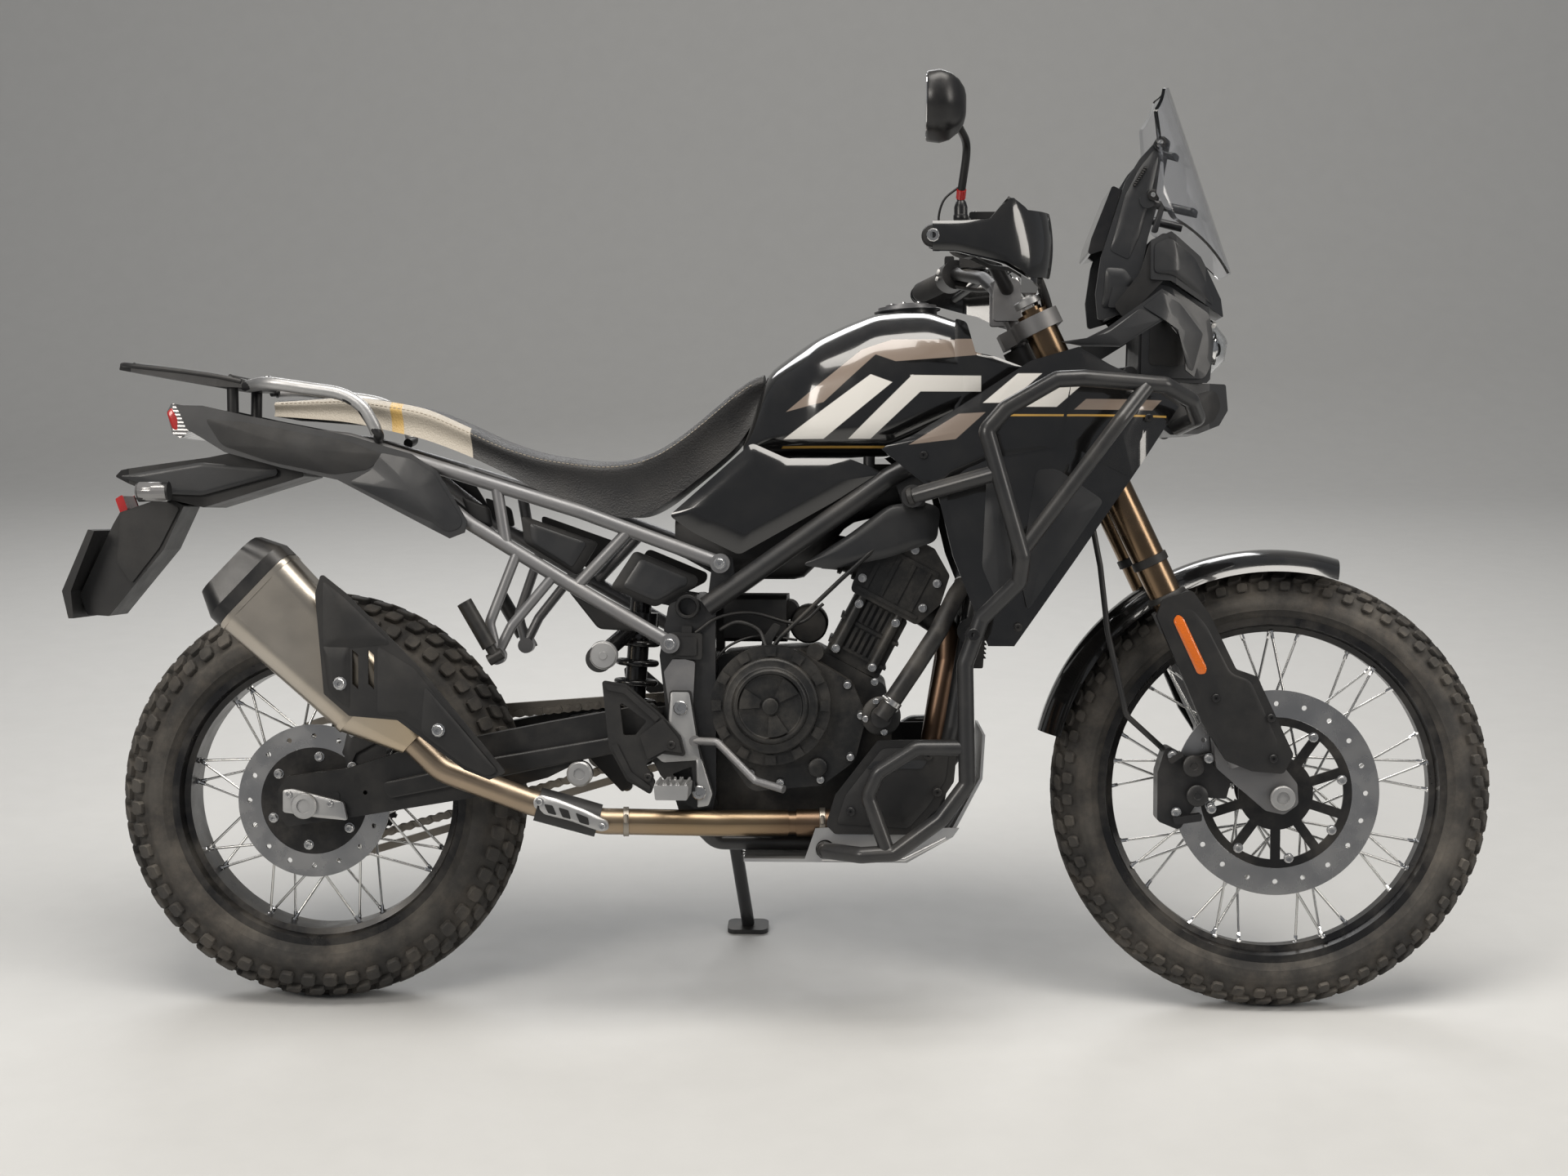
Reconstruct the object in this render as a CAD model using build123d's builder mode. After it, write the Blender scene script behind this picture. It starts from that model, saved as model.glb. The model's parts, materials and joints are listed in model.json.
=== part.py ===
"""Adventure motorcycle, parked on its side stand.

Every piece is drawn with the machine upright: X forward from the rear axle, Y to the rider's left, Z up
from the floor, in millimetres. store() then leans each piece onto the stand, and the last lines centre the
leaning machine over the origin, with the floor at Z = 0, and write one STEP file for each piece.
"""

import os
from math import asin, atan2, cos, degrees, pi, radians, sin, sqrt, tan

from build123d import *

os.makedirs("parts", exist_ok=True)

# ---------------------------------------------------------------- driving dimensions
LEAN = 11.5                # degrees to the left, resting on the side stand
WHEELBASE = 1505
RAKE = 25.5                # degrees back from upright
TRAIL = 102
FIT = 0.3                  # gap between curved faces that sit on one another

FRONT_TYRE = dict(radius=346, half_width=45, shoulder_drop=34, bead=268, rim_half=30)
REAR_TYRE = dict(radius=325, half_width=70, shoulder_drop=47, bead=230, rim_half=52)
TYRE_WALL = 8
RIM_LIP = 9               # how far the tyre's bead stands straight up inside the rim's flange
RIM_SEAT_GAP = 1.5        # bead seat under the tyre's bead
RIM_WELL = 14             # depth of the rim's well
SPOKES = 36
SPOKE_RADIUS = 2
AXLE_RADIUS = 10

FORK_SPREAD = 105          # each fork leg from the middle
FORK_TUBE = 25.5           # radius of the anodised upper tube
FORK_SEAL_Z = 640          # where the tube enters the lower leg
CLAMP_OFFSET = 30          # fork legs ahead of the steering axis
LOWER_CLAMP_Z = 890
UPPER_CLAMP_Z = 1048
CLAMP_THICK = 26

SPAR_RADIUS = 16           # main frame tube
RAIL_RADIUS = 13           # engine cradle rail
SUBFRAME_RADIUS = 11
CRASH_BAR_RADIUS = 12.5
HOSE_RADIUS = 4.5           # front brake hose
PIPE_RADIUS = 20           # exhaust pipe under the machine
HEADER_RADIUS = 18

FRONT_DISC = dict(radius=160, inner=118, y=-64.5, thick=5)
REAR_DISC = dict(radius=120, inner=84, y=-84, thick=5)
SPROCKET_RADIUS = 106
SPROCKET_Y = 88
SPROCKET_THICK = 6
CHAIN_PITCH_GAP = 2        # chain band over the sprocket's tips
CHAIN_DEPTH = 12
CHAIN_WIDTH = 13
DRIVE_SPROCKET = (656, 448, 34)   # x, z, radius of the gearbox sprocket

SWINGARM_PIVOT = (600, 450)       # x, z
ARM_INNER, ARM_OUTER = 108, 138
FRAME_PLATE = (112, 130)          # inner and outer side of the frame's pivot plates

CAP_CENTRE = Vector(930, 0, 1098)     # middle of the fuel cap's seat
CAP_UP = Vector(-0.06, 0, 1).normalized()
CAP_RADIUS = 46
RACK_HOLE = 4.25                       # top-case bolt holes of the rack
RACK_HOLE_X, RACK_HOLE_Y = (-270, -146), 66
PASSENGER_PIVOT = (301, 560)           # x, z
PASSENGER_HINGE_Y = 176
PEG_FOLDED = Vector(-0.5, 0, 0.866)    # the way a folded passenger peg points
PEG_FOLD_AXIS = Vector(0.866, 0, 0.5)

FLOOR_UP = Vector(0, -sin(radians(LEAN)), cos(radians(LEAN)))     # the floor's normal, seen from the machine
STAND_PIVOT = Vector(640, 146, 292)
STAND_REACH = 306                      # stand foot left of the wheels' plane
STAND_GROUND = Vector(664, STAND_REACH, STAND_REACH * tan(radians(LEAN)))
STAND_FOOT = STAND_GROUND + FLOOR_UP * 10
STAND_PIN = 6
STAND_BARREL = 13
STAND_STOWED = Vector(-0.98, 0.17, -0.08).normalized()
STAND_AXIS = (STAND_FOOT - STAND_PIVOT).cross(STAND_STOWED).normalized()

parts = {}


def crown(tyre):
    """Radius of the tread's cross-section, from its half width and the drop to the shoulder."""
    half, drop = tyre["half_width"], tyre["shoulder_drop"]
    return (half * half + drop * drop) / (2 * drop)


def axle_height(tyre):
    """Height of the axle, upright, that puts a leaning tyre exactly on the floor."""
    return tyre["radius"] + crown(tyre) * (1 / cos(radians(LEAN)) - 1)


FRONT_AXLE = (WHEELBASE, axle_height(FRONT_TYRE))
REAR_AXLE = (0, axle_height(REAR_TYRE))
STEER_FOOT = WHEELBASE + TRAIL
STEER_AXIS = Vector(-sin(radians(RAKE)), 0, cos(radians(RAKE)))
PERCH = Vector(cos(radians(RAKE)), 0, sin(radians(RAKE)))      # forward, square to the steering axis


def steer_point(z, ahead=0, y=0):
    """The point of the steering axis at height z, moved ahead of the axis and sideways."""
    on_axis = Vector(STEER_FOOT - z * tan(radians(RAKE)), y, z)
    return on_axis + PERCH * ahead


def store(builder, name):
    """Keeps a finished piece under its name, until all are leaned and written together."""
    parts[name] = builder.part


# ---------------------------------------------------------------- ways of making shapes
def bar(start, end, radius, mode=Mode.ADD):
    """A straight round bar from start to end."""
    run = Vector(*end) - Vector(*start)
    with BuildSketch(Plane(origin=start, z_dir=run), mode=Mode.PRIVATE) as section:
        Circle(radius)
    extrude(section.sketch, amount=run.length, dir=run.normalized(), mode=mode)


def bent_tube(points, radius, bend, mode=Mode.ADD):
    """A round tube along straight runs joined by tangent arcs."""
    with BuildLine(mode=Mode.PRIVATE) as route:
        FilletPolyline(*points, radius=bend)
    with BuildSketch(Plane(origin=route.line @ 0, z_dir=route.line % 0), mode=Mode.PRIVATE) as section:
        Circle(radius)
    sweep(section.sketch, path=route.line, mode=mode)


def slab(outline, inner, outer, side=1, rounding=0, mode=Mode.ADD):
    """A plate lying fore and aft: an outline of (x, z) points, between two distances from the middle."""
    with BuildSketch(Plane.XZ.offset(-side * inner), mode=Mode.PRIVATE) as face:
        with BuildLine():
            Polyline(*outline, close=True)
        make_face()
        if rounding:
            fillet(face.vertices(), rounding)
    extrude(face.sketch, amount=outer - inner, dir=(0, side, 0), mode=mode)


def block(outline, half_width, rounding=0, mode=Mode.ADD):
    """A piece across the middle: an outline of (x, z) points, as wide to the left as to the right."""
    slab(outline, -half_width, half_width, 1, rounding, mode)


def plan_cut(outline, low, high, mode=Mode.INTERSECT):
    """Keeps what lies over an outline of (x, y) points, mirrored left to right."""
    with BuildSketch(Plane.XY.offset(low), mode=Mode.PRIVATE) as face:
        with BuildLine():
            Polyline(*outline, *[(x, -y) for x, y in reversed(outline)], close=True)
        make_face()
    extrude(face.sketch, amount=high - low, dir=(0, 0, 1), mode=mode)


def boss(x, z, inner, outer, radius, side=1, mode=Mode.ADD):
    """A round boss, or with Mode.SUBTRACT a round hole, pointing sideways."""
    bar((x, side * inner, z), (x, side * outer, z), radius, mode)


def mirrored(builder, name):
    """Keeps a copy of a piece, mirrored to the machine's other side."""
    with BuildPart() as twin:
        mirror(builder.part, about=Plane.XZ)
    store(twin, name)


# ---------------------------------------------------------------- wheels
def across_wheel(axle):
    """The upright plane through an axle: x to the left along the axle, y up from it."""
    return Plane(origin=(axle[0], 0, axle[1]), x_dir=(0, 1, 0), z_dir=(1, 0, 0))


def make_tyre(tyre, axle, name):
    """A hollow carcass: a round tread, bulging side walls and two beads."""
    radius, half = tyre["radius"], tyre["half_width"]
    shoulder = radius - tyre["shoulder_drop"]
    bead, bead_half = tyre["bead"], tyre["rim_half"] - 1 - FIT
    bulge = (shoulder + bead) / 2 + 4
    wall, lip = TYRE_WALL, bead + RIM_LIP
    with BuildPart() as carcass:
        with BuildSketch(across_wheel(axle)):
            with BuildLine():
                ThreePointArc((-half, shoulder), (0, radius), (half, shoulder))
                ThreePointArc((half, shoulder), (half - 2, bulge), (bead_half, lip))
                Polyline((bead_half, lip), (bead_half, bead), (bead_half - wall, bead),
                         (bead_half - wall, lip))
                ThreePointArc((bead_half - wall, lip), (half - 2 - wall, bulge), (half - wall, shoulder))
                ThreePointArc((half - wall, shoulder), (0, radius - 2 * wall), (wall - half, shoulder))
                ThreePointArc((wall - half, shoulder), (wall + 2 - half, bulge), (wall - bead_half, lip))
                Polyline((wall - bead_half, lip), (wall - bead_half, bead), (-bead_half, bead),
                         (-bead_half, lip))
                ThreePointArc((-bead_half, lip), (2 - half, bulge), (-half, shoulder))
            make_face()
        revolve(axis=Axis((axle[0], 0, axle[1]), (0, 1, 0)))
    store(carcass, name)


def make_rim(tyre, axle, name):
    """A channel rim: two flanges, bead seats and a well that holds the spoke nipples."""
    bead, half = tyre["bead"] - RIM_SEAT_GAP, tyre["rim_half"]
    flange, seat_in, well = tyre["bead"] + RIM_LIP - 1.5, half - 12, bead - RIM_WELL
    profile = [(-half - 3, flange), (-half - 3, bead - 5), (-seat_in + 1, bead - 9), (-seat_in + 5, well - 4),
               (seat_in - 5, well - 4), (seat_in - 1, bead - 9), (half + 3, bead - 5), (half + 3, flange),
               (half - 1, flange), (half - 1, bead), (seat_in, bead - 3), (seat_in - 6, well),
               (-seat_in + 6, well), (-seat_in, bead - 3), (1 - half, bead), (1 - half, flange)]
    with BuildPart() as rim:
        with BuildSketch(across_wheel(axle)):
            with BuildLine():
                Polyline(*profile, close=True)
            make_face()
        revolve(axis=Axis((axle[0], 0, axle[1]), (0, 1, 0)))
    store(rim, name)


def make_spokes(tyre, axle, flange_radius, flange_y, cross, name):
    """Laced spokes: on each flange every second spoke leans forward, the others back, and they cross apart."""
    rim_radius = tyre["bead"] - RIM_SEAT_GAP - RIM_WELL - 4 - 3 * FIT
    step = 360 / (SPOKES // 2)
    lacing = ((1, 3.2, 13), (-1, -3.2, 7))      # lean, side of the flange, distance from the rim's middle
    with BuildPart() as spokes:
        for side in (1, -1):
            for count in range(SPOKES // 2):
                lean, flange_side, rim_y = lacing[count % 2]
                start = radians(step * (count + (0.25 if side > 0 else -0.25)))
                end = start + radians(lean * cross)
                bar((axle[0] + flange_radius * cos(start), side * (flange_y + flange_side),
                     axle[1] + flange_radius * sin(start)),
                    (axle[0] + rim_radius * cos(end), side * rim_y, axle[1] + rim_radius * sin(end)),
                    SPOKE_RADIUS)
    store(spokes, name)


def wheel_ring(axle, y, thick, outer, inner=0, mode=Mode.ADD):
    """A flat ring or disc about an axle, centred on the plane y."""
    with BuildSketch(Plane(origin=(axle[0], y + thick / 2, axle[1]), z_dir=(0, -1, 0)),
                     mode=Mode.PRIVATE) as face:
        Circle(outer)
        if inner:
            Circle(inner, mode=Mode.SUBTRACT)
    extrude(face.sketch, amount=thick, dir=(0, -1, 0), mode=mode)


def make_disc(axle, disc, holes, name):
    """A brake disc with one row of drillings."""
    middle = (disc["radius"] + disc["inner"]) / 2
    with BuildPart() as ring:
        wheel_ring(axle, disc["y"], disc["thick"], disc["radius"], disc["inner"])
        with BuildSketch(Plane(origin=(axle[0], disc["y"] + 10, axle[1]), z_dir=(0, -1, 0)),
                         mode=Mode.PRIVATE) as drill:
            with PolarLocations(middle, holes):
                Circle(4)
        extrude(drill.sketch, amount=20, dir=(0, -1, 0), mode=Mode.SUBTRACT)
    store(ring, name)


def make_hub(axle, half_width, barrel, flange_radius, flange_y, carrier, arms, name, sprocket=False):
    """A hub barrel with two spoke flanges, a disc carrier on the right and, at the rear, the sprocket."""
    reach = carrier["inner"] - FIT
    with BuildPart() as hub:
        wheel_ring(axle, 0, 2 * half_width, barrel)
        for side in (1, -1):
            wheel_ring(axle, side * flange_y, 3.6, flange_radius + 6)
        wheel_ring(axle, carrier["y"], carrier["thick"], reach, reach - 13)
        wheel_ring(axle, carrier["y"], carrier["thick"], flange_radius + 14)
        with BuildSketch(Plane(origin=(axle[0], carrier["y"] + carrier["thick"] / 2, axle[1]),
                               z_dir=(0, -1, 0))):
            with PolarLocations((flange_radius + reach) / 2, arms):
                Rectangle(reach - flange_radius - 6, 15)
        extrude(amount=carrier["thick"])
        if sprocket:
            with BuildSketch(Plane(origin=(axle[0], SPROCKET_Y + SPROCKET_THICK / 2, axle[1]),
                                   z_dir=(0, -1, 0))):
                Circle(SPROCKET_RADIUS)
                with PolarLocations(SPROCKET_RADIUS, SPROCKET_TEETH):
                    Circle(SPROCKET_GULLET, mode=Mode.SUBTRACT)
                with PolarLocations(SPROCKET_RADIUS * 0.66, 6):
                    SlotOverall(40, 20, rotation=90, mode=Mode.SUBTRACT)
            extrude(amount=SPROCKET_THICK)
        wheel_ring(axle, 0, 3 * half_width, AXLE_RADIUS + FIT, mode=Mode.SUBTRACT)
    store(hub, name)


SPROCKET_TEETH = 42
SPROCKET_GULLET = 5

make_tyre(FRONT_TYRE, FRONT_AXLE, "front_tyre")
make_rim(FRONT_TYRE, FRONT_AXLE, "front_rim")
make_spokes(FRONT_TYRE, FRONT_AXLE, 44 + 6 + FIT + SPOKE_RADIUS, 30, 55, "front_spokes")
make_hub(FRONT_AXLE, 70, 24, 44, 30, FRONT_DISC, 10, "front_hub")
make_disc(FRONT_AXLE, FRONT_DISC, 20, "front_disc")
make_tyre(REAR_TYRE, REAR_AXLE, "rear_tyre")
make_rim(REAR_TYRE, REAR_AXLE, "rear_rim")
make_spokes(REAR_TYRE, REAR_AXLE, 62 + 6 + FIT + SPOKE_RADIUS, 40, 50, "rear_spokes")
make_hub(REAR_AXLE, 98, 32, 62, 40, REAR_DISC, 6, "rear_hub", sprocket=True)
make_disc(REAR_AXLE, REAR_DISC, 16, "rear_disc")

# ---------------------------------------------------------------- steering: clamps, fork, front fender
FORK_TOP_Z = UPPER_CLAMP_Z + CLAMP_THICK + 16
LEG_GAP = 6                # axle casting in front of the leg's own centre line
LOWER_LEG_RADIUS = 29
LEG_BOTTOM_Z = 400
STEM_RADIUS = 16
RISER_TOP_Z = 1142
BAR_RADIUS = 11
HANDLEBAR = [(958, -418, 1168), (1018, -230, 1183), (1056, -135, 1166), (1084, -60, 1130), (1084, 60, 1130),
             (1056, 135, 1166), (1018, 230, 1183), (958, 418, 1168)]
MIRROR_OUTLINE = [(-58, 40), (30, 50), (62, 22), (56, -22), (14, -52), (-46, -38), (-66, 0)]


def leg_point(z, side, ahead=0):
    """A point of a fork leg's centre line at about height z."""
    return steer_point(z - CLAMP_OFFSET * sin(radians(RAKE)), CLAMP_OFFSET + ahead, side * FORK_SPREAD)


with BuildPart() as fork_clamps:
    for level in (LOWER_CLAMP_Z, UPPER_CLAMP_Z):
        with BuildSketch(Plane(origin=steer_point(level), x_dir=(0, 1, 0), z_dir=STEER_AXIS)):
            with Locations((0, -CLAMP_OFFSET)):
                SlotCenterToCenter(2 * FORK_SPREAD, 2 * (FORK_TUBE + 11))
            with BuildLine():
                Polyline((-70, -CLAMP_OFFSET), (-30, 26), (30, 26), (70, -CLAMP_OFFSET), close=True)
            make_face()
        extrude(amount=CLAMP_THICK)
    bar(steer_point(LOWER_CLAMP_Z), steer_point(UPPER_CLAMP_Z), STEM_RADIUS)
    for way in (1, -1):
        bar(leg_point(LOWER_CLAMP_Z - 40, way), leg_point(FORK_TOP_Z + 30, way), FORK_TUBE + FIT,
            Mode.SUBTRACT)
        bar(steer_point(UPPER_CLAMP_Z + 6, CLAMP_OFFSET * 0.4, way * 40),
            steer_point(RISER_TOP_Z, CLAMP_OFFSET * 0.4, way * 40), 17)
    bent_tube(HANDLEBAR, BAR_RADIUS + FIT, 30, Mode.SUBTRACT)
store(fork_clamps, "fork_clamps")

with BuildPart() as fork_tubes:
    for way in (1, -1):
        bar(leg_point(FORK_SEAL_Z, way), leg_point(FORK_TOP_Z, way), FORK_TUBE)
        bar(leg_point(FORK_TOP_Z, way), leg_point(FORK_TOP_Z + 6, way), FORK_TUBE * 0.62)
store(fork_tubes, "fork_tubes")

foot = leg_point(LEG_BOTTOM_Z + 50, 1)
LEG_CASTING = [(foot.X - 26, foot.Z), (foot.X + 26, foot.Z + 14), (FRONT_AXLE[0] + 24, FRONT_AXLE[1] + 20),
               (FRONT_AXLE[0] + 26, FRONT_AXLE[1] - 12), (FRONT_AXLE[0] + 4, FRONT_AXLE[1] - 28),
               (FRONT_AXLE[0] - 24, FRONT_AXLE[1] - 22), (foot.X - 20, foot.Z - 60)]
with BuildPart() as fork_lowers:
    for way in (1, -1):
        bar(leg_point(LEG_BOTTOM_Z, way), leg_point(FORK_SEAL_Z - FIT, way), LOWER_LEG_RADIUS)
        bar(leg_point(FORK_SEAL_Z - 30, way), leg_point(FORK_SEAL_Z - FIT, way), LOWER_LEG_RADIUS + 3)
        slab(LEG_CASTING, 80, 118, way, 10)
    boss(*FRONT_AXLE, -126, 126, AXLE_RADIUS)
store(fork_lowers, "fork_lowers")

GUARD = [(1310, 624), (1318, 650), (1363, 665), (1390, 628), (1431, 544), (1463, 533), (1519, 414),
         (1504, 384),
         (1456, 388), (1418, 403), (1379, 463)]
with BuildPart() as fork_guards:
    slab(GUARD, 121, 141, -1, 8)
    slab([(x + (1412 - x) * 0.07, z + (520 - z) * 0.05) for x, z in GUARD], 120, 137, -1, 6, Mode.SUBTRACT)
    bar(leg_point(LEG_BOTTOM_Z - 20, -1), leg_point(FORK_SEAL_Z + 40, -1), LOWER_LEG_RADIUS + 3 + FIT,
        Mode.SUBTRACT)
    boss(1400, 500, 130, 138, 9, -1)
    bar(leg_point(LEG_BOTTOM_Z - 20, -1), leg_point(FORK_SEAL_Z + 40, -1), LOWER_LEG_RADIUS + FIT,
        Mode.SUBTRACT)
    mirror(about=Plane.XZ)
store(fork_guards, "fork_guards")

FENDER = dict(radius=378, half_width=62, wall=4, skirt=345, start=74, arc=92)
start_angle = radians(FENDER["start"])
with BuildPart() as front_fender:
    with BuildSketch(Plane(origin=(FRONT_AXLE[0], 0, FRONT_AXLE[1]), x_dir=(0, 1, 0),
                           z_dir=(sin(start_angle), 0, -cos(start_angle)))):
        with BuildLine():
            half, wall = FENDER["half_width"], FENDER["wall"]
            ThreePointArc((-half, FENDER["skirt"]), (0, FENDER["radius"]), (half, FENDER["skirt"]))
            Line((half, FENDER["skirt"]), (half - wall, FENDER["skirt"]))
            ThreePointArc((half - wall, FENDER["skirt"]), (0, FENDER["radius"] - wall),
                          (wall - half, FENDER["skirt"]))
            Line((wall - half, FENDER["skirt"]), (-half, FENDER["skirt"]))
        make_face()
    revolve(axis=Axis((FRONT_AXLE[0], 0, FRONT_AXLE[1]), (0, -1, 0)), revolution_arc=FENDER["arc"])
    lug = leg_point(FORK_SEAL_Z - 14, 1)
    for way in (1, -1):
        boss(lug.X, lug.Z + 16, 48, FORK_SPREAD - LOWER_LEG_RADIUS - 3 - FIT, 12, way)
store(front_fender, "front_fender")

with BuildPart() as handlebar:
    bent_tube(HANDLEBAR, BAR_RADIUS, 30)
store(handlebar, "handlebar")

MIRROR_THREAD = 4.25       # core radius of the mirrors' M10 threads
GRIP = [(1002, -290, 1178.8), (960, -414, 1169)]
with BuildPart() as controls:
    bar(*GRIP, 16)
    bar((1016, -236, 1182.8), (1005, -278, 1179.6), 25)                 # switch housing
    slab([(1012, 1176), (1060, 1180), (1062, 1196), (1012, 1198)], 236, 262, -1, 4)      # lever perch
    slab([(996, 1180), (1012, 1180), (1012, 1214), (996, 1214)], 240, 262, -1, 3)        # mirror mount
    slab([(1020, 1190), (1066, 1192), (1066, 1222), (1020, 1222)], 196, 236, -1, 4)      # fluid reservoir
    bent_tube([(1052, -250, 1186), (1056, -300, 1176), (1020, -420, 1158)], 6, 30)       # lever blade
    bent_tube(HANDLEBAR, BAR_RADIUS + FIT, 30, Mode.SUBTRACT)
    mirror(about=Plane.XZ)
    # empty left mirror thread
    bar((1004, 251, 1195), (1004, 251, 1230), MIRROR_THREAD, Mode.SUBTRACT)
store(controls, "controls")

HANDGUARD_PLAN = [(958, -436), (1040, -442), (1100, -415), (1122, -350), (1098, -225)]
HANDGUARD_SIDE = [(940, 1148), (940, 1190), (1035, 1188), (1064, 1224), (1128, 1166), (1112, 1100),
                  (1060, 1128),
                  (990, 1146)]
with BuildPart() as handguards:
    with BuildSketch(Plane.XY.offset(1080)):
        with BuildLine():
            FilletPolyline(*HANDGUARD_PLAN, radius=22)
        trace(line_width=6)
    extrude(amount=160)
    slab(HANDGUARD_SIDE, 100, 500, -1, 0, Mode.INTERSECT)
    bar((958, -420, 1168), (958, -438, 1168), 15)
    bar((1097, -230, 1160), (1078, -222, 1186), 7)
    bar((1078, -222, 1186), (1034, -196, 1177), 7)
    bent_tube(HANDLEBAR, BAR_RADIUS + FIT, 30, Mode.SUBTRACT)
    mirror(about=Plane.XZ)
store(handguards, "handguards")

MIRROR_STEM = [(1004, -251, 1215.2), (1004, -256, 1250), (1010, -300, 1312), (996, -362, 1334)]
with BuildPart() as mirror_right:
    bent_tube(MIRROR_STEM, 6, 14)
    bar((1004, -251, 1216), (1004, -252.5, 1238), 10)
    for x, grow in ((950, 1.0), (972, 1.04), (1004, 0.62)):
        with BuildSketch(Plane(origin=(x, -392, 1357), x_dir=(0, 1, 0), z_dir=(1, 0, 0))):
            with BuildLine():
                Polyline(*[(y * grow, z * grow) for y, z in MIRROR_OUTLINE], close=True)
            make_face()
            fillet(vertices(), 9)
    loft(ruled=True)
store(mirror_right, "mirror_right")

with BuildPart() as front_caliper:
    slab([(1331, 423), (1376, 398), (1377, 330), (1352, 291), (1318, 305), (1318, 380)], 42, 96, -1, 8)
    slab([(1360, 402), (1420, 414), (1434, 380), (1424, 340), (1366, 344)], 84, 96, -1, 4)
    wheel_ring(FRONT_AXLE, FRONT_DISC["y"], 16, FRONT_DISC["radius"] + 5, 0, Mode.SUBTRACT)
    bar(leg_point(LEG_BOTTOM_Z - 40, -1), leg_point(FORK_SEAL_Z, -1), LOWER_LEG_RADIUS + FIT, Mode.SUBTRACT)
    middle = Vector(foot.X, 0, foot.Z - 60)
    slab([(middle.X + (x - middle.X) * 1.012, middle.Z + (z - middle.Z) * 1.012) for x, z in LEG_CASTING],
         79, 119, -1, 0, Mode.SUBTRACT)
    bent_tube([steer_point(LOWER_CLAMP_Z - 1.4, 2, -86), steer_point(836, -8, -98), (1226, -112, 700),
               (1238, -110, 600),
               (1268, -100, 470), (1326, -70, 418), (1342, -70, 400)], HOSE_RADIUS, 25)      # brake hose
store(front_caliper, "front_caliper")

# ---------------------------------------------------------------- frame, subframe, swingarm
HEAD_TUBE = (LOWER_CLAMP_Z + CLAMP_THICK + 5, UPPER_CLAMP_Z - 4)      # heights of the head tube's ends
SPAR = [(1142, -16, 955), (1062, -104, 925), (900, -130, 835), (620, -130, 636)]
DOWNTUBE = [(1140, -14, 938), (1060, -100, 795), (1026, -108, 620), (1000, -108, 450), (972, -92, 314),
            (926, -85, 268), (634, -90, 268), (606, -112, 300)]
TANK_FLOOR = 868
PLATE = [(562, 640), (600, 652), (634, 630), (636, 350), (624, 288), (590, 284), (572, 340), (562, 440),
         (548, 560)]
SUBFRAME_LUG = (642, 703)
SUBFRAME_FOOT = (566, 580)
STRUT_LUG = (935, 806)
FRAME_STAY = [(1150, 0, 978), (1280, 0, 1000)]

with BuildPart() as main_frame:
    bar(steer_point(HEAD_TUBE[0]), steer_point(HEAD_TUBE[1]), STEM_RADIUS + 14)
    bent_tube(SPAR, SPAR_RADIUS, 60)
    bar((870, -112, 808), (870, -112, TANK_FLOOR - FIT), 9)                            # tank rests
    bent_tube(DOWNTUBE, RAIL_RADIUS, 25)
    slab(PLATE, *FRAME_PLATE, -1, 12)
    slab([(622, 650), (664, 676), (660, 712), (630, 716)], 116, 121, -1, 5)
    slab([(905, 842), (962, 868), (956, 792), (924, 788)], 118, 126, -1, 6)
    boss(*STRUT_LUG, 126, 150, 17, -1)
    boss(*SWINGARM_PIVOT, 107 + FIT, 112, 30, -1)
    boss(612, 352, 130, 147, 12, -1)
    boss(583, 482, 130, 147, 14, -1)
    mirror(about=Plane.XZ)
    bar((596, -120, 636), (596, 120, 636), 15)
    bar((592, -115, 300), (592, 115, 300), 12)
    slab([(600, 624), (600, 652), (524, 664), (496, 664), (496, 640), (524, 640)], 24, 32, -1, 4)
    slab([(600, 624), (600, 652), (524, 664), (496, 664), (496, 640), (524, 640)], 24, 32, 1, 4)
    boss(*SWINGARM_PIVOT, -131, 131, 11)
    bar(STAND_PIVOT - STAND_AXIS * 34, STAND_PIVOT - STAND_AXIS * (STAND_BARREL + FIT), 15)
    slab([(596, 330), (640, 316), (650, 272), (640, 264), (606, 280)], 113, 125, 1, 4)
    bar(STAND_PIVOT - STAND_AXIS * 28, STAND_PIVOT + STAND_AXIS * (STAND_BARREL + 8), STAND_PIN)
    bar(STAND_PIVOT + STAND_AXIS * (STAND_BARREL + FIT), STAND_PIVOT + STAND_AXIS * (STAND_BARREL + 8),
        STAND_PIN + 4)
    bar(*FRAME_STAY, 14)
    bar((1276, -58, 1000), (1276, 58, 1000), 10)
    bar(steer_point(HEAD_TUBE[0] - 10), steer_point(HEAD_TUBE[1] + 10), STEM_RADIUS + FIT, Mode.SUBTRACT)
store(main_frame, "main_frame")

RAIL_TOP = [(642, -133, 703), (425, -133, 782), (213, -127, 847), (60, -100, 893), (-150, -66, 915)]
RAIL_LOW = [(566, -144, 580), (404, -134, 673), (254, -129, 763), (110, -112, 876)]
with BuildPart() as subframe:
    bent_tube(RAIL_TOP, SUBFRAME_RADIUS, 60)
    bent_tube(RAIL_LOW, SUBFRAME_RADIUS, 60)
    boss(*SUBFRAME_LUG, 121 + FIT, 146, 15, -1)
    boss(*SUBFRAME_FOOT, 130 + FIT, 156, 15, -1)
    bar((296, -130, 818), (311, -131, 730), 9)
    bar((500, -133, 752), (419, -134, 666), 9)
    bent_tube([(327, -134, 716), (288, -152, 610), (299, -152, 566)], 8, 20)
    bent_tube([(384, -134, 682), (322, -152, 606), (302, -152, 566)], 8, 20)
    boss(*PASSENGER_PIVOT, 142, PASSENGER_HINGE_Y - 9 - FIT, 13, -1)
    mirror(about=Plane.XZ)
    for cross in ((404, 134, 673), (213, 127, 847), (-60, 81, 905)):
        bar((cross[0], -cross[1], cross[2]), cross, 9)
store(subframe, "subframe")

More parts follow.
